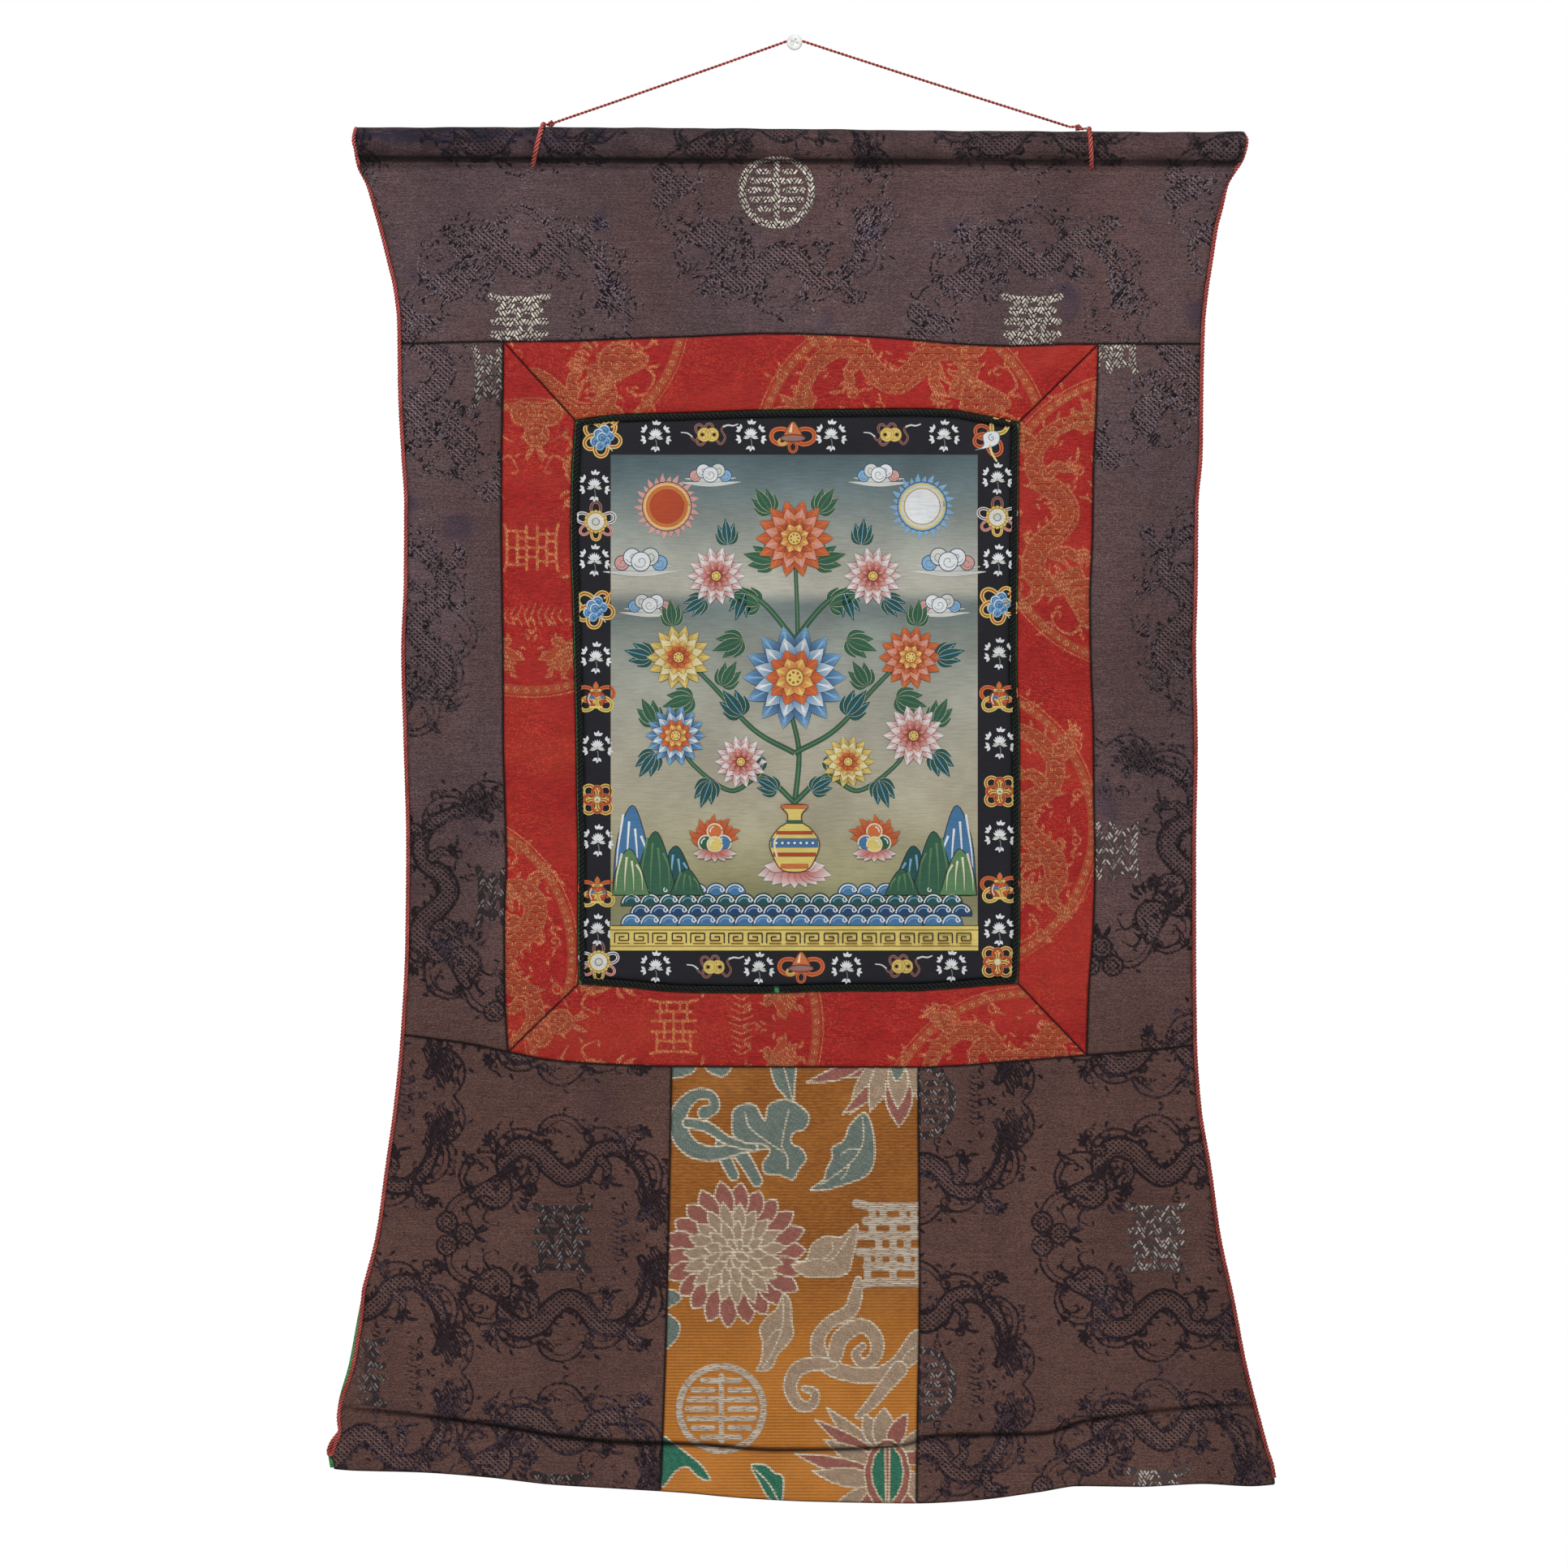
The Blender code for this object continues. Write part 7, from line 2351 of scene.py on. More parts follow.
@dataclass(frozen=True)
class Picture:
    """The ground and the flower piece inside the painted border."""

    left: float = -127.1
    right: float = 126.6
    top: float = -284.5
    height: float = 342.1
    band: float = 17.0

    def ground(self, brush: Brush) -> None:
        """A sky that pales down to a lake, and dry land below it."""
        columns = 84
        rows = 112
        x = np.linspace(self.left, self.right, columns + 1)
        share = np.linspace(0.0, 1.0, rows + 1)
        flat = np.stack(np.meshgrid(x, self.top - self.height * share), axis=-1).reshape(-1, 2)
        tones = np.stack([along(GROUND, "share", key)(share) for key in ("red", "green", "blue")], axis=1)
        colours = np.repeat(tones, columns + 1, axis=0)
        drift = np.sin(flat[:, 0] / 23.0 + flat[:, 1] / 61.0) * np.cos(flat[:, 1] / 17.0 - flat[:, 0] / 90.0)
        at = np.arange((rows + 1) * (columns + 1)).reshape(rows + 1, columns + 1)
        faces = np.stack((at[:-1, :-1], at[1:, :-1], at[1:, 1:], at[:-1, 1:]), axis=-1).reshape(-1, 4)
        brush.lay(flat, colours * (1.0 + 0.05 * drift[:, None]), faces)

    def draw(self, brush: Brush) -> None:
        """Paint the whole picture."""
        brush.begin(-3.0)
        self.ground(brush)
        page = Hand(brush, 0.0, self.top)
        self._discs(page, brush)
        self._clouds(page, brush)
        self._hills(page, brush)
        self._waves(page, brush)
        self._tree(page, brush)
        self._jewels(page, brush)
        self._foot(page, brush)
        brush.begin(2.0)
        frame_line = [(self.left, 0.0), (self.right, 0.0),
                      (self.right, -self.height), (self.left, -self.height)]
        for a, b in zip(frame_line, frame_line[1:] + frame_line[:1]):
            share = np.linspace(0.0, 1.0, 90)[:, None]
            page.mark(Paint.INK, np.array(a) * (1 - share) + np.array(b) * share, 0.35)

    def _discs(self, page: Hand, brush: Brush) -> None:
        """The sun and the moon."""
        for x, tone, glow, halo in ((-88.0, Paint.FLAME, Paint.ORANGE, Paint.PINK),
                                    (88.0, Paint.WHITE, Paint.PALE, Paint.SKY)):
            brush.begin(2.0)
            disc = page.at(x, -36.0)
            for k in range(26):
                turn = math.radians(360.0 * k / 26)
                disc.leaf(halo, around(12.0, turn), around(21.0 + 2.0 * (k % 2), turn), 3.6, 0.8)
            disc.disc(halo, 0.0, 0.0, 17.0, 0.0, Paint.INK, 0.25)
            disc.disc(glow, 0.0, 0.0, 15.2, 0.0, Paint.YELLOW, 0.6)
            disc.disc(tone, 0.0, 0.0, 12.4, 0.0, Paint.OCHRE, 0.3)

    def _clouds(self, page: Hand, brush: Brush) -> None:
        """Banked clouds below the sky and at its corners."""
        for x, z, size, flip in ((-106.0, -74.0, 1.0, False), (106.0, -74.0, 1.0, True),
                                 (-58.0, -14.0, 0.8, False), (58.0, -14.0, 0.8, True),
                                 (-100.0, -104.0, 0.8, True), (100.0, -104.0, 0.8, False)):
            brush.begin(4.0)
            cloud = page.at(x, z, 0.0, size, flip)
            for low, reach in ((-7.0, 26.0), (-3.5, 22.0)):
                sweep = smooth([(-reach, low), (0.0, low - 1.4), (reach, low + 0.6)], 8)
                cloud.mark(Paint.PALE, sweep, 1.8 * np.sin(np.linspace(0.05, 3.1, len(sweep))) + 0.1, 0.0,
                           Paint.GREY, 0.25)
            for dx, dz, radius, tone in ((-13.0, -1.0, 5.0, Paint.PINK), (13.0, -1.0, 5.2, Paint.SKY),
                                         (-6.0, 3.0, 6.0, Paint.WHITE), (6.5, 3.4, 6.0, Paint.PALE),
                                         (0.0, 0.0, 6.6, Paint.WHITE)):
                cloud.disc(tone, dx, dz, radius, 0.0, Paint.DEEP, 0.28)
                cloud.mark(Paint.GREY, curl(dx, dz, radius * 0.72, 200.0, 1.1, 14), 0.24)

    def _hills(self, page: Hand, brush: Brush) -> None:
        """Rocks and hills at both sides."""
        for way in (-1.0, 1.0):
            side = page.at(way * 126.0, -304.0, 0.0, 1.0, way > 0)
            brush.begin(4.0)
            for x, rise, width, tone, light in ((44.0, 34.0, 30.0, Paint.TEAL, Paint.SKY),
                                                (14.0, 62.0, 34.0, Paint.BLUE, Paint.WHITE),
                                                (30.0, 44.0, 30.0, Paint.GREEN, Paint.LEAF),
                                                (12.0, 32.0, 28.0, Paint.LEAF, Paint.CREAM),
                                                (52.0, 18.0, 24.0, Paint.GREEN, Paint.LEAF)):
                low = max(x - width / 2, 0.3)
                crown = smooth([(low, 0.0), (max(x - width * 0.3, 0.3), rise * 0.62), (x, rise),
                                (x + width * 0.26, rise * 0.66), (x + width / 2, 0.0)], 5)
                side.area(tone, crown, 0.0, Paint.INK, 0.3)
                for k in range(4):
                    off = (k - 1.5) * width
                    line = smooth([(x + off * 0.12, rise * (0.9 - 0.08 * k)),
                                   (x + off * 0.2, rise * 0.45), (x + off * 0.22, 3.0)], 5)
                    if line[:, 0].min() > 0.6:
                        side.mark(light, line, taper(len(line), 0.9, 0.9, 0.1))

    def _waves(self, page: Hand, brush: Brush) -> None:
        """Water with white crests along the foot."""
        mound = np.vstack((arc(0.0, -5.0, 7.4, 0.0, 180.0, 12), [(-7.4, -6.4), (7.4, -6.4)]))
        for row, tone in enumerate((Paint.BLUE, Paint.TEAL, Paint.DEEP, Paint.BLUE)):
            for k in range(19):
                x = -119.0 + 13.0 * (k + 0.5 * (row % 2))
                if abs(x) < 118.0 and (row > 0 or abs(x) > 34.0):
                    brush.begin(12.0 + 8.0 * row)
                    wave = page.at(x, -298.0 - 7.0 * row)
                    wave.area(tone, mound, 0.0, Paint.INK, 0.22)
                    wave.mark(Paint.WHITE, arc(0.0, -5.0, 6.2, 20.0, 176.0, 10), 0.42)
                    wave.mark(Paint.SKY, arc(0.0, -5.0, 4.2, 20.0, 160.0, 8), 0.34)
                    wave.mark(Paint.WHITE, curl(4.4, -2.4, 1.9, 120.0, 0.9, 10), 0.34)

    def _bloom(self, hand: Hand, brush: Brush, radius: float, tones: Sequence) -> None:
        """A many-petalled flower.

        Args:
            hand: Where it is painted.
            brush: The brush that paints it.
            radius: Its outer radius.
            tones: Each ring of petals' root and tip colours, from the outside in.
        """
        brush.begin(26.0)
        for i, (root, tip) in enumerate(tones):
            count = 14 - 2 * i
            high = radius * (1.0, 0.78, 0.56, 0.38)[i]
            low = high * 0.25
            width = 2 * math.pi * high * 0.82 / count
            for k in range(count):
                turn = math.radians(360.0 * (k + 0.5 * (i % 2)) / count)
                way = np.array((math.cos(turn), math.sin(turn)))
                hand.leaf(root, way * low, way * high, width, 0.0, 0.0, Paint.INK, 0.2, tip)
                hand.mark(tip, np.array([way * high * 0.55, way * high * 0.9]), (0.1, 0.03 * radius))
        hand.disc(Paint.YELLOW, 0.0, 0.0, radius * 0.17, 0.0, Paint.BROWN, 0.25)
        for k in range(7):
            hand.disc(Paint.FLAME, *around(radius * 0.1, math.radians(360.0 * k / 7)), radius * 0.025)

    def _foliage(self, hand: Hand, brush: Brush, length: float, tone: Paint, light: Paint) -> None:
        """A lobed leaf with its veins."""
        brush.begin(16.0)
        for fan, share in ((-44.0, 0.62), (44.0, 0.62), (-22.0, 0.84), (22.0, 0.84), (0.0, 1.0)):
            tip = around(length * share, math.radians(fan))
            bow = 0.1 * fan / 44.0 * length * 0.3
            hand.leaf(tone, (0.0, 0.0), tip, length * 0.36, bow, 0.0, Paint.CREAM, 0.22)
            hand.mark(light, smooth(np.outer((0.0, 0.5, 0.9), tip), 4), 0.24)

    def _tree(self, page: Hand, brush: Brush) -> None:
        """A vase from which a symmetric tree of flowers grows."""
        trunk = ((0.0, -242.0), (3.0, -205.0), (-3.0, -170.0), (2.0, -130.0), (0.0, -60.0))
        branches = (((0.0, -240.0), (22.0, -222.0), (44.0, -232.0), (70.0, -214.0), (80.0, -196.0)),
                    ((0.0, -206.0), (28.0, -190.0), (56.0, -160.0), (78.0, -138.0)),
                    ((0.0, -128.0), (20.0, -104.0), (38.0, -92.0), (50.0, -84.0)))
        stems = [trunk, *([(way * x, z) for x, z in points] for points in branches for way in (-1.0, 1.0))]
        brush.begin(8.0)
        for points in stems:
            path = smooth(points, 9)
            page.mark(Paint.GREEN, path, taper(len(path), 1.5, 1.1, 0.7), 0.0, Paint.INK, 0.25)
            page.mark(Paint.LEAF, path, 0.4)
        leaves = ((-30.0, -223.0, 100.0, 21.0), (-58.0, -225.0, 250.0, 20.0), (-70.0, -168.0, 196.0, 22.0),
                  (-36.0, -180.0, 128.0, 22.0), (-50.0, -160.0, 60.0, 20.0), (-22.0, -208.0, 214.0, 20.0),
                  (-24.0, -104.0, 160.0, 22.0), (-34.0, -96.0, 250.0, 20.0), (-14.0, -74.0, 166.0, 22.0),
                  (-96.0, -206.0, 236.0, 20.0), (-96.0, -186.0, 118.0, 20.0), (-98.0, -140.0, 166.0, 20.0),
                  (-84.0, -118.0, 96.0, 18.0), (-62.0, -100.0, 212.0, 18.0), (-16.0, -40.0, 124.0, 20.0),
                  (-46.0, -62.0, 96.0, 18.0), (-36.0, -128.0, 200.0, 22.0), (-12.0, -232.0, 150.0, 17.0))
        for i, (x, z, turn, length) in enumerate(leaves):
            tone, light = ((Paint.GREEN, Paint.LEAF), (Paint.TEAL, Paint.SKY))[i % 2]
            self._foliage(page.at(x, z, turn), brush, length, tone, light)
            self._foliage(page.at(-x, z, 180.0 - turn), brush, length, tone, light)
        fire = ((Paint.FLAME, Paint.ORANGE), (Paint.ORANGE, Paint.PINK), (Paint.RED, Paint.ORANGE),
                (Paint.ORANGE, Paint.YELLOW))
        water = ((Paint.DEEP, Paint.SKY), (Paint.BLUE, Paint.WHITE), (Paint.FLAME, Paint.ORANGE),
                 (Paint.ORANGE, Paint.YELLOW))
        dawn = ((Paint.ROSE, Paint.WHITE), (Paint.PINK, Paint.WHITE), (Paint.ROSE, Paint.PINK),
                (Paint.RED, Paint.PINK))
        gold = ((Paint.OCHRE, Paint.YELLOW), (Paint.YELLOW, Paint.CREAM), (Paint.ORANGE, Paint.YELLOW),
                (Paint.FLAME, Paint.ORANGE))
        self._bloom(page.at(0.0, -154.0), brush, 36.0, water)
        self._bloom(page.at(0.0, -58.0), brush, 27.0, fire)
        for way in (-1.0, 1.0):
            self._bloom(page.at(way * 54.0, -84.0), brush, 20.0, dawn)
            self._bloom(page.at(way * 80.0, -140.0), brush, 22.0, gold if way < 0 else fire)
            self._bloom(page.at(way * 82.0, -194.0), brush, 21.0, water if way < 0 else dawn)
            self._bloom(page.at(way * 37.0, -212.0), brush, 18.0, dawn if way < 0 else gold)
        self._vase(page.at(0.0, -272.0), brush)

    def _vase(self, hand: Hand, brush: Brush) -> None:
        """A banded vase on a lotus foot."""
        brush.begin(30.0)
        for k in range(9):
            turn = math.radians(200.0 + 17.5 * k)
            hand.leaf(Paint.ROSE, (6.0 * math.cos(turn), -12.0 + 2.0 * math.sin(turn)),
                      (27.0 * math.cos(turn), -14.0 + 13.0 * math.sin(turn)), 9.0, 0.0, 0.0, Paint.INK, 0.25,
                      Paint.WHITE)
        for k in range(7):
            turn = math.radians(30.0 + 20.0 * k)
            hand.leaf(Paint.PINK, (8.0 * math.cos(turn), -14.0),
                      (24.0 * math.cos(turn), -16.0 + 9.0 * math.sin(turn)), 7.0, 0.0, 0.0, Paint.INK, 0.25,
                      Paint.WHITE)
        body = smooth([(-8.0, -15.0), (-15.0, -5.0), (-17.0, 5.0), (-11.0, 14.0), (-5.5, 18.0), (-5.0, 24.0),
                       (-9.0, 30.0), (9.0, 30.0), (5.0, 24.0), (5.5, 18.0), (11.0, 14.0), (17.0, 5.0),
                       (15.0, -5.0), (8.0, -15.0)], 4, closed=True)
        hand.area(Paint.YELLOW, body, 0.0, Paint.BROWN, 0.4)
        for z, reach, half, tone in ((4.0, 16.4, 3.0, Paint.BLUE), (-4.0, 14.8, 1.2, Paint.FLAME),
                                     (11.0, 12.6, 1.0, Paint.FLAME), (18.5, 5.6, 1.1, Paint.GREEN),
                                     (29.0, 8.8, 1.2, Paint.ORANGE), (-12.0, 9.6, 1.4, Paint.ORANGE)):
            hand.mark(tone, np.array([(-reach, z), (0.0, z), (reach, z)]), half, 0.0, Paint.BROWN, 0.2)
        for k in range(7):
            hand.disc(Paint.WHITE, -12.6 + 4.2 * k, 4.0, 1.2, 0.0, Paint.DEEP, 0.2)
        hand.mark(Paint.CREAM, smooth([(-11.0, 9.5), (-14.0, 4.0), (-12.0, -6.0)], 4), 0.7)

    def _jewels(self, page: Hand, brush: Brush) -> None:
        """Flaming jewels on both sides of the vase."""
        for way in (-1.0, 1.0):
            brush.begin(44.0)
            heap = page.at(way * 55.0, -268.0, 0.0, 1.0, way > 0)
            for k in range(11):
                turn = math.radians(10.0 + 16.0 * k)
                reach = 17.0 + 3.0 * (k % 2)
                heap.leaf(Paint.FLAME, around(4.0, turn), around(reach, turn), 5.4, 1.6, 0.0,
                          Paint.INK, 0.2, Paint.ORANGE)
            for x, z, tone in ((-6.0, 0.0, Paint.GREEN), (6.0, 0.0, Paint.BLUE), (0.0, 8.0, Paint.ORANGE),
                               (0.0, -1.0, Paint.YELLOW)):
                heap.disc(tone, x, z, 5.2, 0.0, Paint.CREAM, 0.5)
                heap.mark(Paint.WHITE, arc(x, z, 3.2, 100.0, 190.0, 7), 0.4)
            for k in range(7):
                turn = math.radians(186.0 + 28.0 * k)
                heap.leaf(Paint.ROSE, (3.0 * math.cos(turn), -6.0),
                          (15.0 * math.cos(turn), -7.0 + 6.0 * math.sin(turn)), 5.0, 0.0, 0.0,
                          Paint.INK, 0.2, Paint.WHITE)

    def _foot(self, page: Hand, brush: Brush) -> None:
        """The yellow band below, with a running fret."""
        brush.begin(46.0)
        middle = -self.height + self.band / 2
        line = np.stack((np.linspace(self.left, self.right, 90), np.full(90, middle)), axis=1)
        page.mark(Paint.YELLOW, line, self.band / 2)
        for z in (middle + self.band / 2, middle + 5.6, middle - 5.6):
            page.mark(Paint.BROWN, np.stack((line[:, 0], np.full(90, z)), axis=1), 0.28)
        for k in range(19):
            hook = page.at(-119.0 + 13.1 * k, middle, 0.0, 1.0, k % 2 == 1)
            turnings = [(-5.0, -3.4), (-5.0, 3.4), (4.6, 3.4), (4.6, -1.6), (-1.8, -1.6), (-1.8, 1.0),
                        (1.8, 1.0)]
            for a, b in zip(turnings, turnings[1:]):
                hook.mark(Paint.INK, np.array([a, b]), 0.42)
            hook.mark(Paint.FLAME, np.array([(-3.4, -3.6), (5.0, -3.6)]), 0.4)


CANVAS_INSET = 4.5


class Easel:
    """The painted canvas and what is painted on it."""

    def __init__(self, tailor: Tailor) -> None:
        """Keep the tailor, whose surface the canvas shares."""
        self.tailor = tailor

    def surface(self, x: Array, z: Array) -> Array:
        """The canvas's front face."""
        seam = np.minimum(x - inner_left(z), inner_right(z) - x)
        seam = np.minimum(seam, np.minimum(opening_top(x) - z, z - opening_bottom(x)))
        seam = np.maximum(seam - CANVAS_INSET, 0.0)
        return self.tailor.surface(x, z, seam) - self.tailor.form.cloth / 2

    def paint(self) -> None:
        """Stretch the canvas and paint it."""
        inset = CANVAS_INSET
        x, z = fine_patch(moved(inner_left, inset), moved(inner_right, -inset),
                          [moved(opening_top, -inset), moved(opening_bottom, inset)], PLAIN_PITCH)
        form = self.tailor.form
        y = self.surface(x, z) + form.cloth / 2
        # The canvas's finish darkens it near its rim: painted shade beside the black edging cord.
        cloth = Cloth(np.stack((x, y, z), axis=-1), forward(x), z.copy(), rim_distance(x, z),
                      form.cloth, 1)
        canvas = dress(cloth.build("painting", self.tailor.finishes.canvas), "painted_canvas", "painting")
        tint = canvas.data.attributes.new("tint", "FLOAT_COLOR", "POINT")
        night = lights([Paint.NIGHT.value]).astype(np.float32)
        tint.data.foreach_set("color", np.tile(night, (len(canvas.data.vertices), 1)).ravel())

        brush = Brush(self.surface)
        Picture().draw(brush)
        for motif, mx, mz in BORDER_MOTIFS[1]:
            brush.begin()
            motif(Hand(brush, mx, mz))
        paint = dress(brush.build("paint_layer", self.tailor.finishes.paint), "painted_canvas")


# ================================================================ cords

@dataclass(frozen=True)
class Lay:
    """A cord's strands, how far each runs in one turn, and its steps round and along a turn."""

    strands: int
    pitch: float
    sides: int
    steps: int


def frames(route: Array) -> tuple[Array, Array]:
    """Two directions across a route, which turn as little as they can."""
    run = np.gradient(route, axis=0)
    run /= np.linalg.norm(run, axis=1)[:, None]
    side = np.cross(run[0], (0.0, 1.0, 0.0))
    if np.linalg.norm(side) < 0.2:
        side = np.cross(run[0], (0.0, 0.0, 1.0))
    sides = []
    for way in run:
        side = side - way * float(side @ way)
        side = side / np.linalg.norm(side)
        sides.append(side)
    across = np.array(sides)
    return across, np.cross(run, across)


def even(route: Array, step: float) -> tuple[Array, Array]:
    """A route at even steps, with its length so far."""
    gaps = np.linalg.norm(np.diff(route, axis=0), axis=1)
    far = np.concatenate(([0.0], np.cumsum(gaps)))
    at = np.linspace(0.0, far[-1], max(4, int(far[-1] / step) + 1))
    return np.stack([np.interp(at, far, route[:, i]) for i in range(3)], axis=1), at


def twist(name: str, route: Array, radius: float, lay: Lay, finish: bpy.types.Material) -> bpy.types.Object:
    """A cord of strands twisted round each other.

    Args:
        name: The piece's name.
        route: The points that its middle follows.
        radius: Its outer radius.
        lay: How it is laid.
        finish: Its material.

    Returns:
        The cord, one mesh with closed ends.
    """
    middle, at = even(route, lay.pitch / lay.steps)
    strand = STRAND_SHARE[lay.strands]
    across, up = frames(middle)
    points = []
    faces = []
    facts = []
    count = len(middle)
    wobble = 1.0 + 0.05 * np.sin(at * 0.71) * np.sin(at * 0.23 + 1.0)
    for k in range(lay.strands):
        phase = 2 * math.pi * (k / lay.strands + at / lay.pitch)
        away = (1.0 - strand) * radius * wobble
        line = middle + away[:, None] * (np.cos(phase)[:, None] * across + np.sin(phase)[:, None] * up)
        thick = strand * radius * wobble
        base = len(points) * count * lay.sides
        ring = []
        for j in range(lay.sides):
            turn = 2 * math.pi * j / lay.sides
            ring.append(line + thick[:, None] * (math.cos(turn) * across + math.sin(turn) * up))
        points.append(np.stack(ring, axis=1).reshape(-1, 3))
        grid = base + np.arange(count * lay.sides).reshape(count, lay.sides)
        after = np.roll(grid, -1, axis=1)
        quads = np.stack((grid[:-1], after[:-1], after[1:], grid[1:]), axis=-1).reshape(-1, 4)
        faces.extend(quads.tolist())
        faces.append(grid[0][::-1].tolist())
        faces.append(grid[-1].tolist())
        round_by = np.broadcast_to(np.linspace(0.0, 5.0, lay.sides) + 7.0 * k, (count, lay.sides))
        run = np.broadcast_to(at[:, None], (count, lay.sides))
        off = points[-1].reshape(count, lay.sides, 3) - middle[:, None]
        # The third part is each point's distance from the cord's middle; the cord's finish paints shade in
        # the grooves from it.
        far = np.linalg.norm(off, axis=2) / radius
        facts.append(np.stack((run, round_by, far), axis=-1).reshape(-1, 3))
    return link_mesh(f"fine_{name}", np.concatenate(points), faces, finish, {"cloth": np.concatenate(facts)})


# How thick one strand is beside the whole cord, by the number of strands.
STRAND_SHARE = {2: 0.54, 3: 0.48}
CORD_RADIUS = 1.0
TIE_RADIUS = 1.7
KNOT_RADIUS = 0.95
PIPING_FOOT = -989.5

# The hanging cord's route, from the left knot over the screw to the right one.
CORD_ROUTE = (
    (-165.3, -15.5, -55.2),
    (-150.0, -15.2, -49.9),
    (-125.0, -14.8, -41.3),
    (-100.0, -14.4, -32.5),
    (-75.0, -13.9, -23.7),
    (-50.0, -13.4, -14.9),
    (-30.0, -13.0, -7.7),
    (-15.0, -12.7, -2.35),
    (-7.0, -12.6, 0.55),
    (-3.2, -12.5, 1.92),
    (-1.4, -12.5, 2.56),
    (0.0, -12.5, 2.8),
    (1.4, -12.5, 2.57),
    (3.2, -12.5, 1.97),
    (7.0, -12.6, 0.75),
    (15.0, -12.7, -1.85),
    (30.0, -12.9, -6.8),
    (55.0, -13.3, -14.95),
    (85.0, -13.8, -24.7),
    (115.0, -14.3, -34.35),
    (145.0, -14.8, -43.95),
    (170.0, -15.2, -51.9),
    (190.3, -15.5, -58.4),
)

# Each loop's place on top of the roll and where its front leg tucks in.
TIES: Table = (("name", "top_x", "foot_x"), (
    ("tie_left", -173.2, -180.6),
    ("tie_right", 203.2, 204.8),
))
TIE_TUCK = ((-5.6, -13.2), (-3.4, -14.8))
TIE_FOOT = -14.9

# Knots: where each starts and ends.
KNOTS: Table = (("name", "start_x", "start_z", "end_x", "end_z"), (
    ("knot_left", -171.2, -57.1, -165.2, -55.2),
    ("knot_right", 201.4, -59.4, 190.2, -58.4),
))


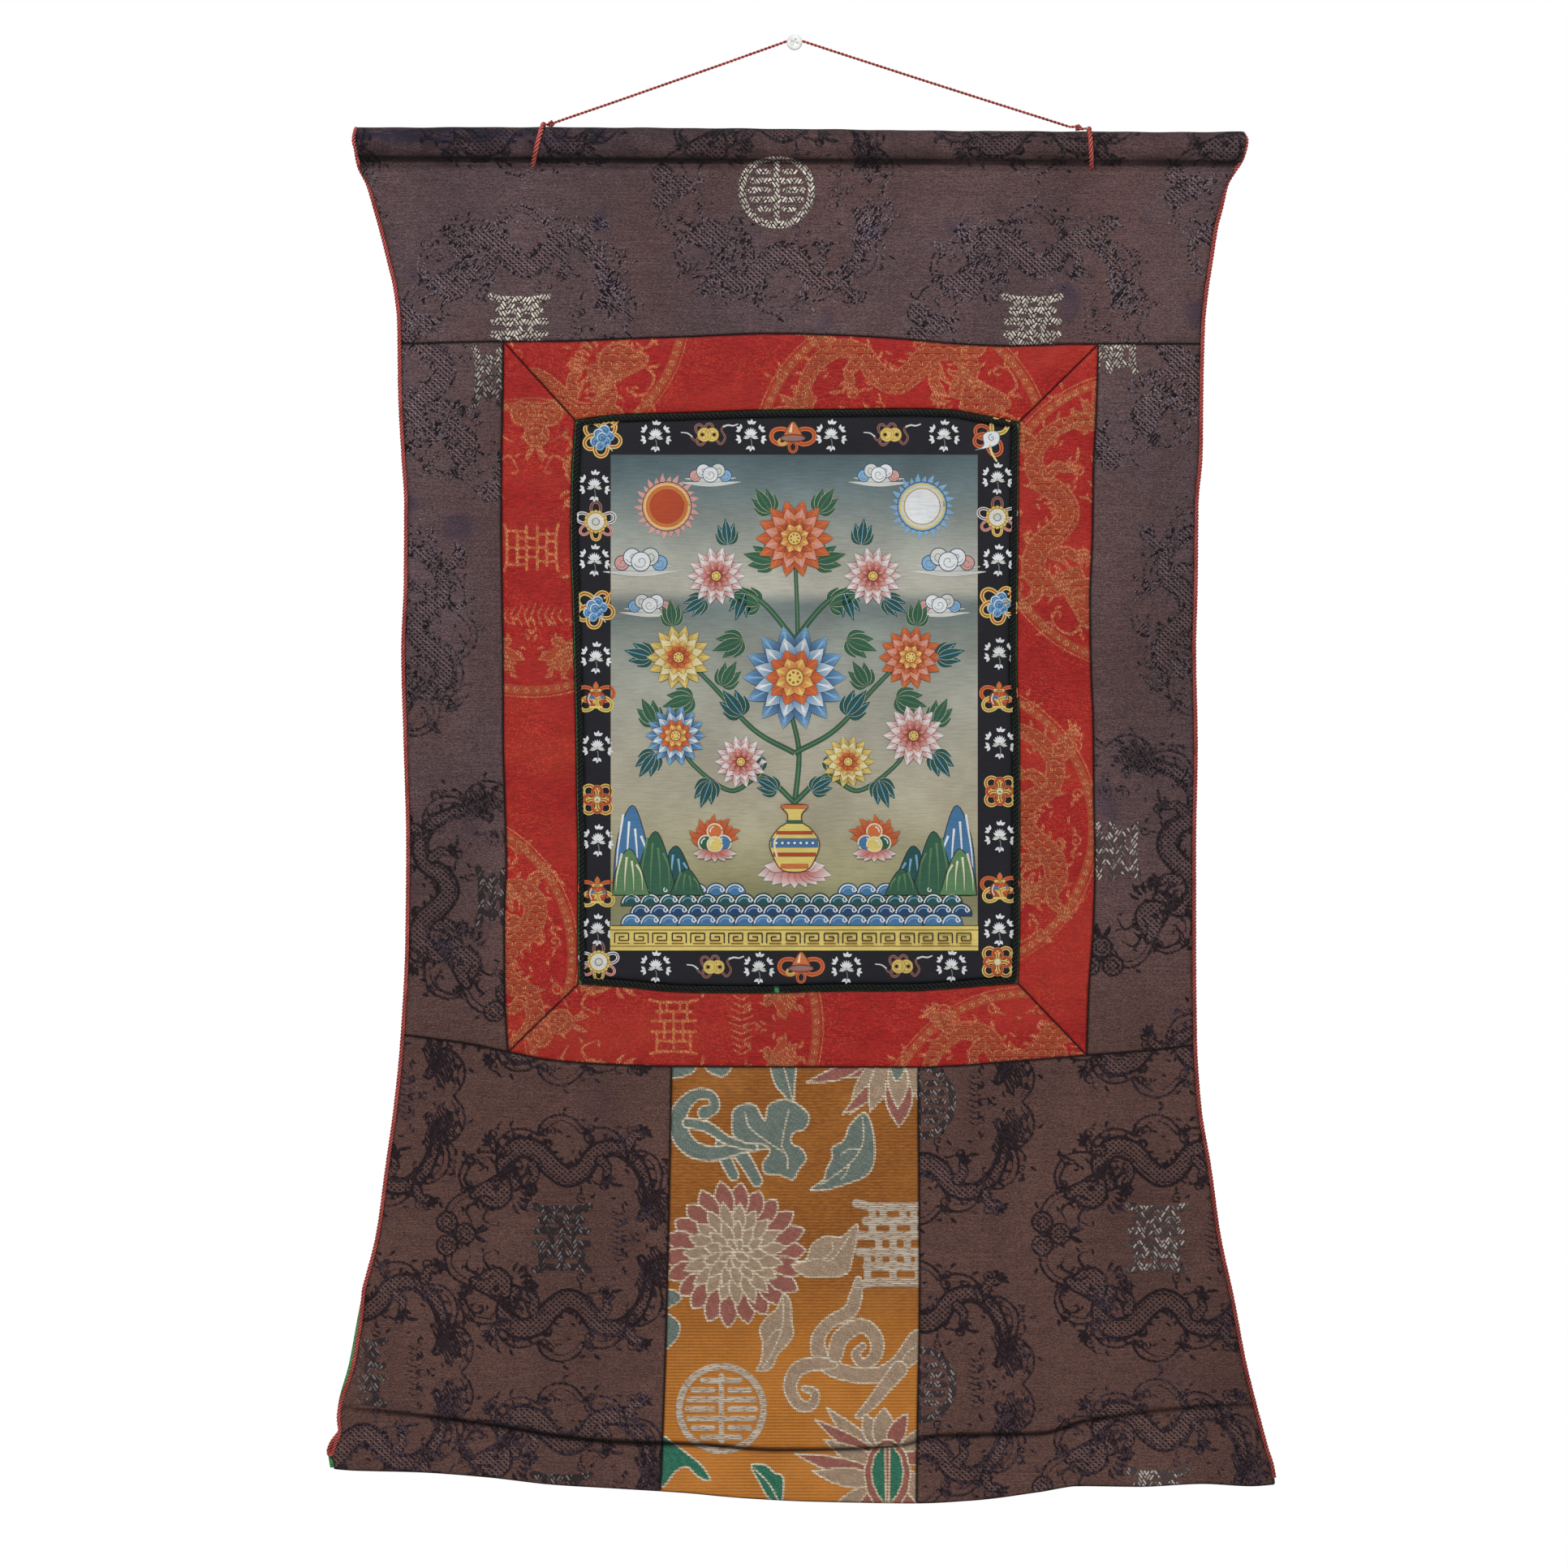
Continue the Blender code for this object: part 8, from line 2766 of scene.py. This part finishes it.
class Cordage:
    """Every cord, loop and knot."""

    def __init__(self, form: Hanging, finishes: Finishes) -> None:
        """Keep the form and the finishes."""
        self.form = form
        self.red = finishes.red_cord
        self.black = finishes.black_cord

    def piping(self, side: str) -> None:
        """Twisted cord along one edge, over the roll's end and down to the hem."""
        form = self.form
        outward = {"left": -1.0, "right": 1.0}[side]
        edge = {"left": edge_left, "right": edge_right}[side]
        route = []

        def add(inset: float, z: float, y: Optional[float] = None, back: float = 0.0) -> None:
            x = float(edge(z)) - outward * inset
            if y is None:
                proud = form.piping_proud * float(ramp(-z, 80.0, 88.0)) + 0.3 * (inset - form.piping_radius)
                y = float(form.cloth_y(np.float64(x), np.float64(z))) - proud + back
            route.append((x, y, z))

        middle = form.roll_z({"left": form.rod_left, "right": form.rod_right}[side])
        for turn in range(190, 336, 7):
            angle = math.radians(turn)
            add(form.piping_radius, middle - form.sleeve_radius * math.cos(angle),
                form.roll_y + form.sleeve_radius * math.sin(angle))
        heights = [-85.5, -90.0, -96.0, -104.0, -114.0, -126.0, -140.0, *np.linspace(-150.0, -940.0, 160)]
        heights += [-945.0, -950.0, -954.0] if side == "left" else [-955.0, -970.0, -980.0, PIPING_FOOT]
        for z in heights:
            add(form.piping_radius + (float(form.wander(z)) if side == "left" else 0.0), z)
        if side == "left":
            for inset, z, back in PIPING_TURN:
                add(inset, z, None, back)
        made = twist(f"{side}_piping", smooth(route, 2), form.piping_radius, Lay(3, 7.2, 5, 10), self.red)
        dress(made, "red_cord", f"{side}_piping")

    def edging(self) -> None:
        """The black cord in the channel between the painting and the red border."""
        inset = self.form.edging_radius + self.form.fit_gap
        x, z = patch(moved(inner_left, inset), moved(inner_right, -inset),
                     [moved(opening_top, -inset), moved(opening_bottom, inset)], 90, [120])
        rim_x = np.concatenate((x[-1, 40::-1], x[-2:0:-1, 0], x[0, :-1], x[:-1, -1], x[-1, :40:-1]))
        rim_z = np.concatenate((z[-1, 40::-1], z[-2:0:-1, 0], z[0, :-1], z[:-1, -1], z[-1, :40:-1]))
        y = self.form.cloth_y(rim_x, rim_z) - 0.9 - 0.25 * np.sin(rim_x * 0.21 + rim_z * 0.17)
        route = np.stack((rim_x, y, rim_z), axis=1)
        dress(twist("edging_cord", route, self.form.edging_radius - 0.1, Lay(3, 9.6, 5, 9), self.black),
              "black_cord", "edging_cord")

    def hanging(self) -> None:
        """The cord from knot to knot over the screw."""
        route = smooth(CORD_ROUTE, 12)
        made = twist("hanging_cord", route, CORD_RADIUS, Lay(2, 5.6, 6, 12), self.red)
        dress(made, "red_cord", "hanging_cord")

    def ties(self) -> None:
        """The loops over the roll, whose ends meet the cloth just under it."""
        form = self.form
        for name, top_x, foot_x in TIES[1]:
            wrap = form.sleeve_radius + form.cloth / 2 + form.fit_gap + TIE_RADIUS + float(roll_swell(top_x))
            section = [(TAIL_OFF + form.cloth / 2 + form.fit_gap, TIE_FOOT)]
            section += [(-dy, dz) for dy, dz in reversed(TIE_TUCK)]
            for turn in np.radians(np.linspace(35.0, 325.0, 19)):
                section.append((wrap * math.sin(turn), -wrap * math.cos(turn)))
            section += [*TIE_TUCK, (form.sheet_off - form.cloth / 2 - form.fit_gap, TIE_FOOT)]
            route = []
            for dy, dz in section:
                x = top_x + (foot_x - top_x) * (wrap - dz) / (wrap - TIE_FOOT)
                route.append((x, form.roll_y + dy, form.roll_z(x) + dz))
            dress(twist(name, smooth(route, 5), TIE_RADIUS, Lay(3, 10.0, 6, 16), self.red), "red_cord", name)

    def knots(self) -> None:
        """Pulled-tight overhand knots: a small trefoil of cord with its ends."""
        for name, start_x, start_z, end_x, end_z in KNOTS[1]:
            start = np.array((start_x, self.form.roll_y, start_z))
            end = np.array((end_x, self.form.roll_y, end_z))
            turn = np.linspace(0.35, 2 * math.pi - 0.35, 40)
            run = (end - start) / np.linalg.norm(end - start)
            back = np.array((0.0, 1.0, 0.0))
            up = np.cross(run, back)
            middle = start + (end - start) * 0.5
            bow = np.stack(((np.cos(turn) - 2 * np.cos(2 * turn)), np.sin(3 * turn) * 1.5,
                            (np.sin(turn) + 2 * np.sin(2 * turn))), axis=1) * 0.6
            wound = middle + bow[:, :1] * run * 1.15 + bow[:, 1:2] * back + bow[:, 2:] * up
            route = smooth(np.vstack((start, wound[::3], end)), 5)
            dress(twist(name, route, KNOT_RADIUS, Lay(2, 5.6, 6, 16), self.red), "red_cord", name)


# ================================================================ rod and screw

def add_primitive(kind: Callable, name: str, finish: bpy.types.Material, **sizes: object) -> bpy.types.Object:
    """A primitive with nothing else selected."""
    bpy.ops.object.select_all(action="DESELECT")
    kind(**sizes)
    made = bpy.context.object
    made.name = name
    made.data.name = name
    made.data.materials.append(finish)
    return made


SHARP_DEG = 35.0


def settle(made: bpy.types.Object) -> None:
    """Apply a piece's modifiers and place, and shade it."""
    bpy.ops.object.select_all(action="DESELECT")
    made.select_set(True)
    bpy.context.view_layer.objects.active = made
    for change in list(made.modifiers):
        bpy.ops.object.modifier_apply(modifier=change.name)
    bpy.ops.object.transform_apply(location=True, rotation=True, scale=True)
    made.data.shade_smooth()
    made.data.set_sharp_from_angle(angle=math.radians(SHARP_DEG))


@dataclass(frozen=True)
class WallScrew:
    """A thin screw with a domed white head and a cross recess."""

    shank: float = 1.5
    head: float = 5.3
    back: float = -14.2
    depth: float = 3.2
    recess: tuple[float, float, float] = (5.4, 1.2, 1.6)
    lean: float = 20.0

    def build(self, finish: bpy.types.Material) -> None:
        """Make the head and the shank, and join them."""
        upright = (math.radians(90.0), 0.0, 0.0)
        middle = (0.0, (self.back - self.depth / 2) * MM, 0.0)
        head = add_primitive(bpy.ops.mesh.primitive_cylinder_add, "fine_wall_screw", finish, vertices=64,
                             radius=self.head * MM, depth=self.depth * MM, location=middle, rotation=upright)
        bpy.ops.object.transform_apply(location=False, rotation=True, scale=True)
        dome = head.modifiers.new("dome", "BEVEL")
        dome.width = 1.9 * MM
        dome.segments = 8
        dome.profile = 0.6
        dome.limit_method = "ANGLE"
        settle(head)
        self._flatten_back(head)
        cutters = []
        length, width, depth = self.recess
        for turn in (0.0, 90.0):
            cutter = add_primitive(bpy.ops.mesh.primitive_cube_add, f"recess_{turn:.0f}", finish, size=1.0,
                                   location=(0.0, (self.back - self.depth) * MM, 0.0),
                                   rotation=(0.0, math.radians(turn + self.lean), 0.0))
            cutter.scale = (length * MM, 2 * depth * MM, width * MM)
            settle(cutter)
            cut = head.modifiers.new(cutter.name, "BOOLEAN")
            cut.operation = "DIFFERENCE"
            cut.object = cutter
            cutters.append(cutter)
        edge = head.modifiers.new("edge", "BEVEL")
        edge.width = 0.12 * MM
        edge.segments = 2
        edge.limit_method = "ANGLE"
        edge.angle_limit = math.radians(50.0)
        settle(head)
        for cutter in cutters:
            bpy.data.objects.remove(cutter, do_unlink=True)
        shank = add_primitive(bpy.ops.mesh.primitive_cylinder_add, "shank", finish, vertices=32,
                              radius=(self.shank - 0.25) * MM, depth=-self.back * MM,
                              location=(0.0, self.back / 2 * MM, 0.0), rotation=upright)
        settle(shank)
        thread = self._thread(finish)
        for part in (head, shank, thread):
            part.select_set(True)
        bpy.context.view_layer.objects.active = head
        bpy.ops.object.join()
        dress(head, "white_screw", "wall_screw")

    def _flatten_back(self, head: bpy.types.Object) -> None:
        """Push the bevelled back rim out again, so that only the front is domed."""
        for vertex in head.data.vertices:
            y = vertex.co.y / MM
            if y > self.back - 1.9:
                reach = math.hypot(vertex.co.x, vertex.co.z) / MM
                if reach > 0.1:
                    out = (self.head - 0.25 * ramp(np.float64(y), self.back - 0.5, self.back)) / reach
                    vertex.co.x *= float(out)
                    vertex.co.z *= float(out)

    def _thread(self, finish: bpy.types.Material) -> bpy.types.Object:
        """A helical ridge along the shank."""
        ridge = add_primitive(bpy.ops.mesh.primitive_circle_add, "thread", finish, vertices=3,
                              radius=0.35 * MM, fill_type="NOTHING",
                              location=((self.shank - 0.3) * MM, 0.0, 0.0),
                              rotation=(math.radians(90.0), 0.0, 0.0))
        bpy.ops.object.transform_apply(location=True, rotation=True, scale=True)
        wind = ridge.modifiers.new("wind", "SCREW")
        wind.steps = 20
        wind.render_steps = 20
        wind.iterations = 9
        wind.screw_offset = 1.25 * MM
        wind.axis = "Z"
        ridge.location = (0.0, -1.3 * MM, 0.0)
        ridge.rotation_euler = (math.radians(90.0), 0.0, 0.0)
        settle(ridge)
        bpy.ops.object.mode_set(mode="EDIT")
        bpy.ops.mesh.select_all(action="SELECT")
        bpy.ops.mesh.fill_holes(sides=3)
        bpy.ops.mesh.normals_make_consistent(inside=False)
        bpy.ops.object.mode_set(mode="OBJECT")
        return ridge


def build_rod(form: Hanging, finish: bpy.types.Material) -> None:
    """The stick in the sleeve, its ends a little rounded."""
    left = Vector((form.rod_left, form.roll_y, form.roll_z(form.rod_left))) * MM
    right = Vector((form.rod_right, form.roll_y, form.roll_z(form.rod_right))) * MM
    made = add_primitive(bpy.ops.mesh.primitive_cylinder_add, "fine_rod", finish, vertices=64,
                         radius=form.rod_radius * MM, depth=(right - left).length,
                         location=(left + right) / 2,
                         rotation=(right - left).to_track_quat("Z", "Y").to_euler())
    edge = made.modifiers.new("edge", "BEVEL")
    edge.width = 0.8 * MM
    edge.segments = 3
    edge.limit_method = "ANGLE"
    settle(made)
    dress(made, "wood", "rod")


# ================================================================ the stage

@dataclass(frozen=True)
class Stage:
    """The camera, the lights and the white room."""

    lens: float = 150.0
    sensor: float = 36.0
    eye: tuple[float, float, float] = (-0.00728, -4.525, -0.51184)
    room: float = 0.34
    floor_z: float = -1.4

    def build(self) -> None:
        """Set up all of it."""
        self._camera()
        self._world()
        self._light("key", (-0.5, -2.9, 1.7), 1.4, 76.0)
        self._light("fill", (1.2, -3.2, -0.2), 1.8, 13.0)
        self._floor()
        bpy.context.scene.view_settings.view_transform = "Standard"

    def _camera(self) -> None:
        """Look straight at the hanging, level with its middle."""
        data = bpy.data.cameras.new("camera")
        data.lens = self.lens
        data.sensor_width = self.sensor
        made = bpy.data.objects.new("camera", data)
        made.location = self.eye
        made.rotation_euler = (math.radians(90.0), 0.0, 0.0)
        bpy.context.scene.collection.objects.link(made)
        bpy.context.scene.camera = made

    def _world(self) -> None:
        """White to the camera, and a softer white light on the object."""
        world = bpy.data.worlds.new("room")
        world.use_nodes = True
        net = Net(world.node_tree)
        world.node_tree.nodes.clear()
        seen = net.node("ShaderNodeBackground", {"Color": (1.0, 1.0, 1.0, 1.0), "Strength": 1.0})
        lit = net.node("ShaderNodeBackground", {"Color": (0.96, 0.98, 1.0, 1.0), "Strength": self.room})
        path = net.node("ShaderNodeLightPath")
        both = net.node("ShaderNodeMixShader")
        world.node_tree.links.new(path.outputs["Is Camera Ray"], both.inputs[0])
        world.node_tree.links.new(lit.outputs[0], both.inputs[1])
        world.node_tree.links.new(seen.outputs[0], both.inputs[2])
        out = net.node("ShaderNodeOutputWorld")
        world.node_tree.links.new(both.outputs[0], out.inputs["Surface"])
        bpy.context.scene.world = world

    def _light(self, name: str, place: tuple[float, float, float], size: float, power: float) -> None:
        """A square light that faces the hanging's middle."""
        data = bpy.data.lights.new(name, "AREA")
        data.size = size
        data.energy = power
        made = bpy.data.objects.new(name, data)
        made.location = place
        aim = Vector((0.0, 0.0, -0.5)) - Vector(place)
        made.rotation_euler = aim.to_track_quat("-Z", "Y").to_euler()
        bpy.context.scene.collection.objects.link(made)

    def _floor(self) -> None:
        """A pale floor well below the hem."""
        finish, _, shader = blank("floor", 0.9)
        shader.inputs["Base Color"].default_value = (0.8, 0.8, 0.8, 1.0)
        floor = add_primitive(bpy.ops.mesh.primitive_plane_add, "floor", finish, size=5.4,
                              location=(0.0, 0.1, self.floor_z))
        settle(floor)


def main() -> None:
    """Build every piece, and the stage round them."""
    finishes = Finishes()
    tailor = Tailor(FORM, finishes)
    LOG.info("charts drawn")
    tailor.dark_panels()
    tailor.top()
    tailor.red_border()
    tailor.door()
    tailor.lining()
    LOG.info("cloth hung")
    Easel(tailor).paint()
    LOG.info("canvas painted")
    cordage = Cordage(FORM, finishes)
    for side in ("left", "right"):
        cordage.piping(side)
    cordage.edging()
    cordage.hanging()
    cordage.ties()
    cordage.knots()
    build_rod(FORM, finishes.wood)
    WallScrew().build(finishes.enamel)
    Stage().build()


if __name__ == "__main__":
    main()
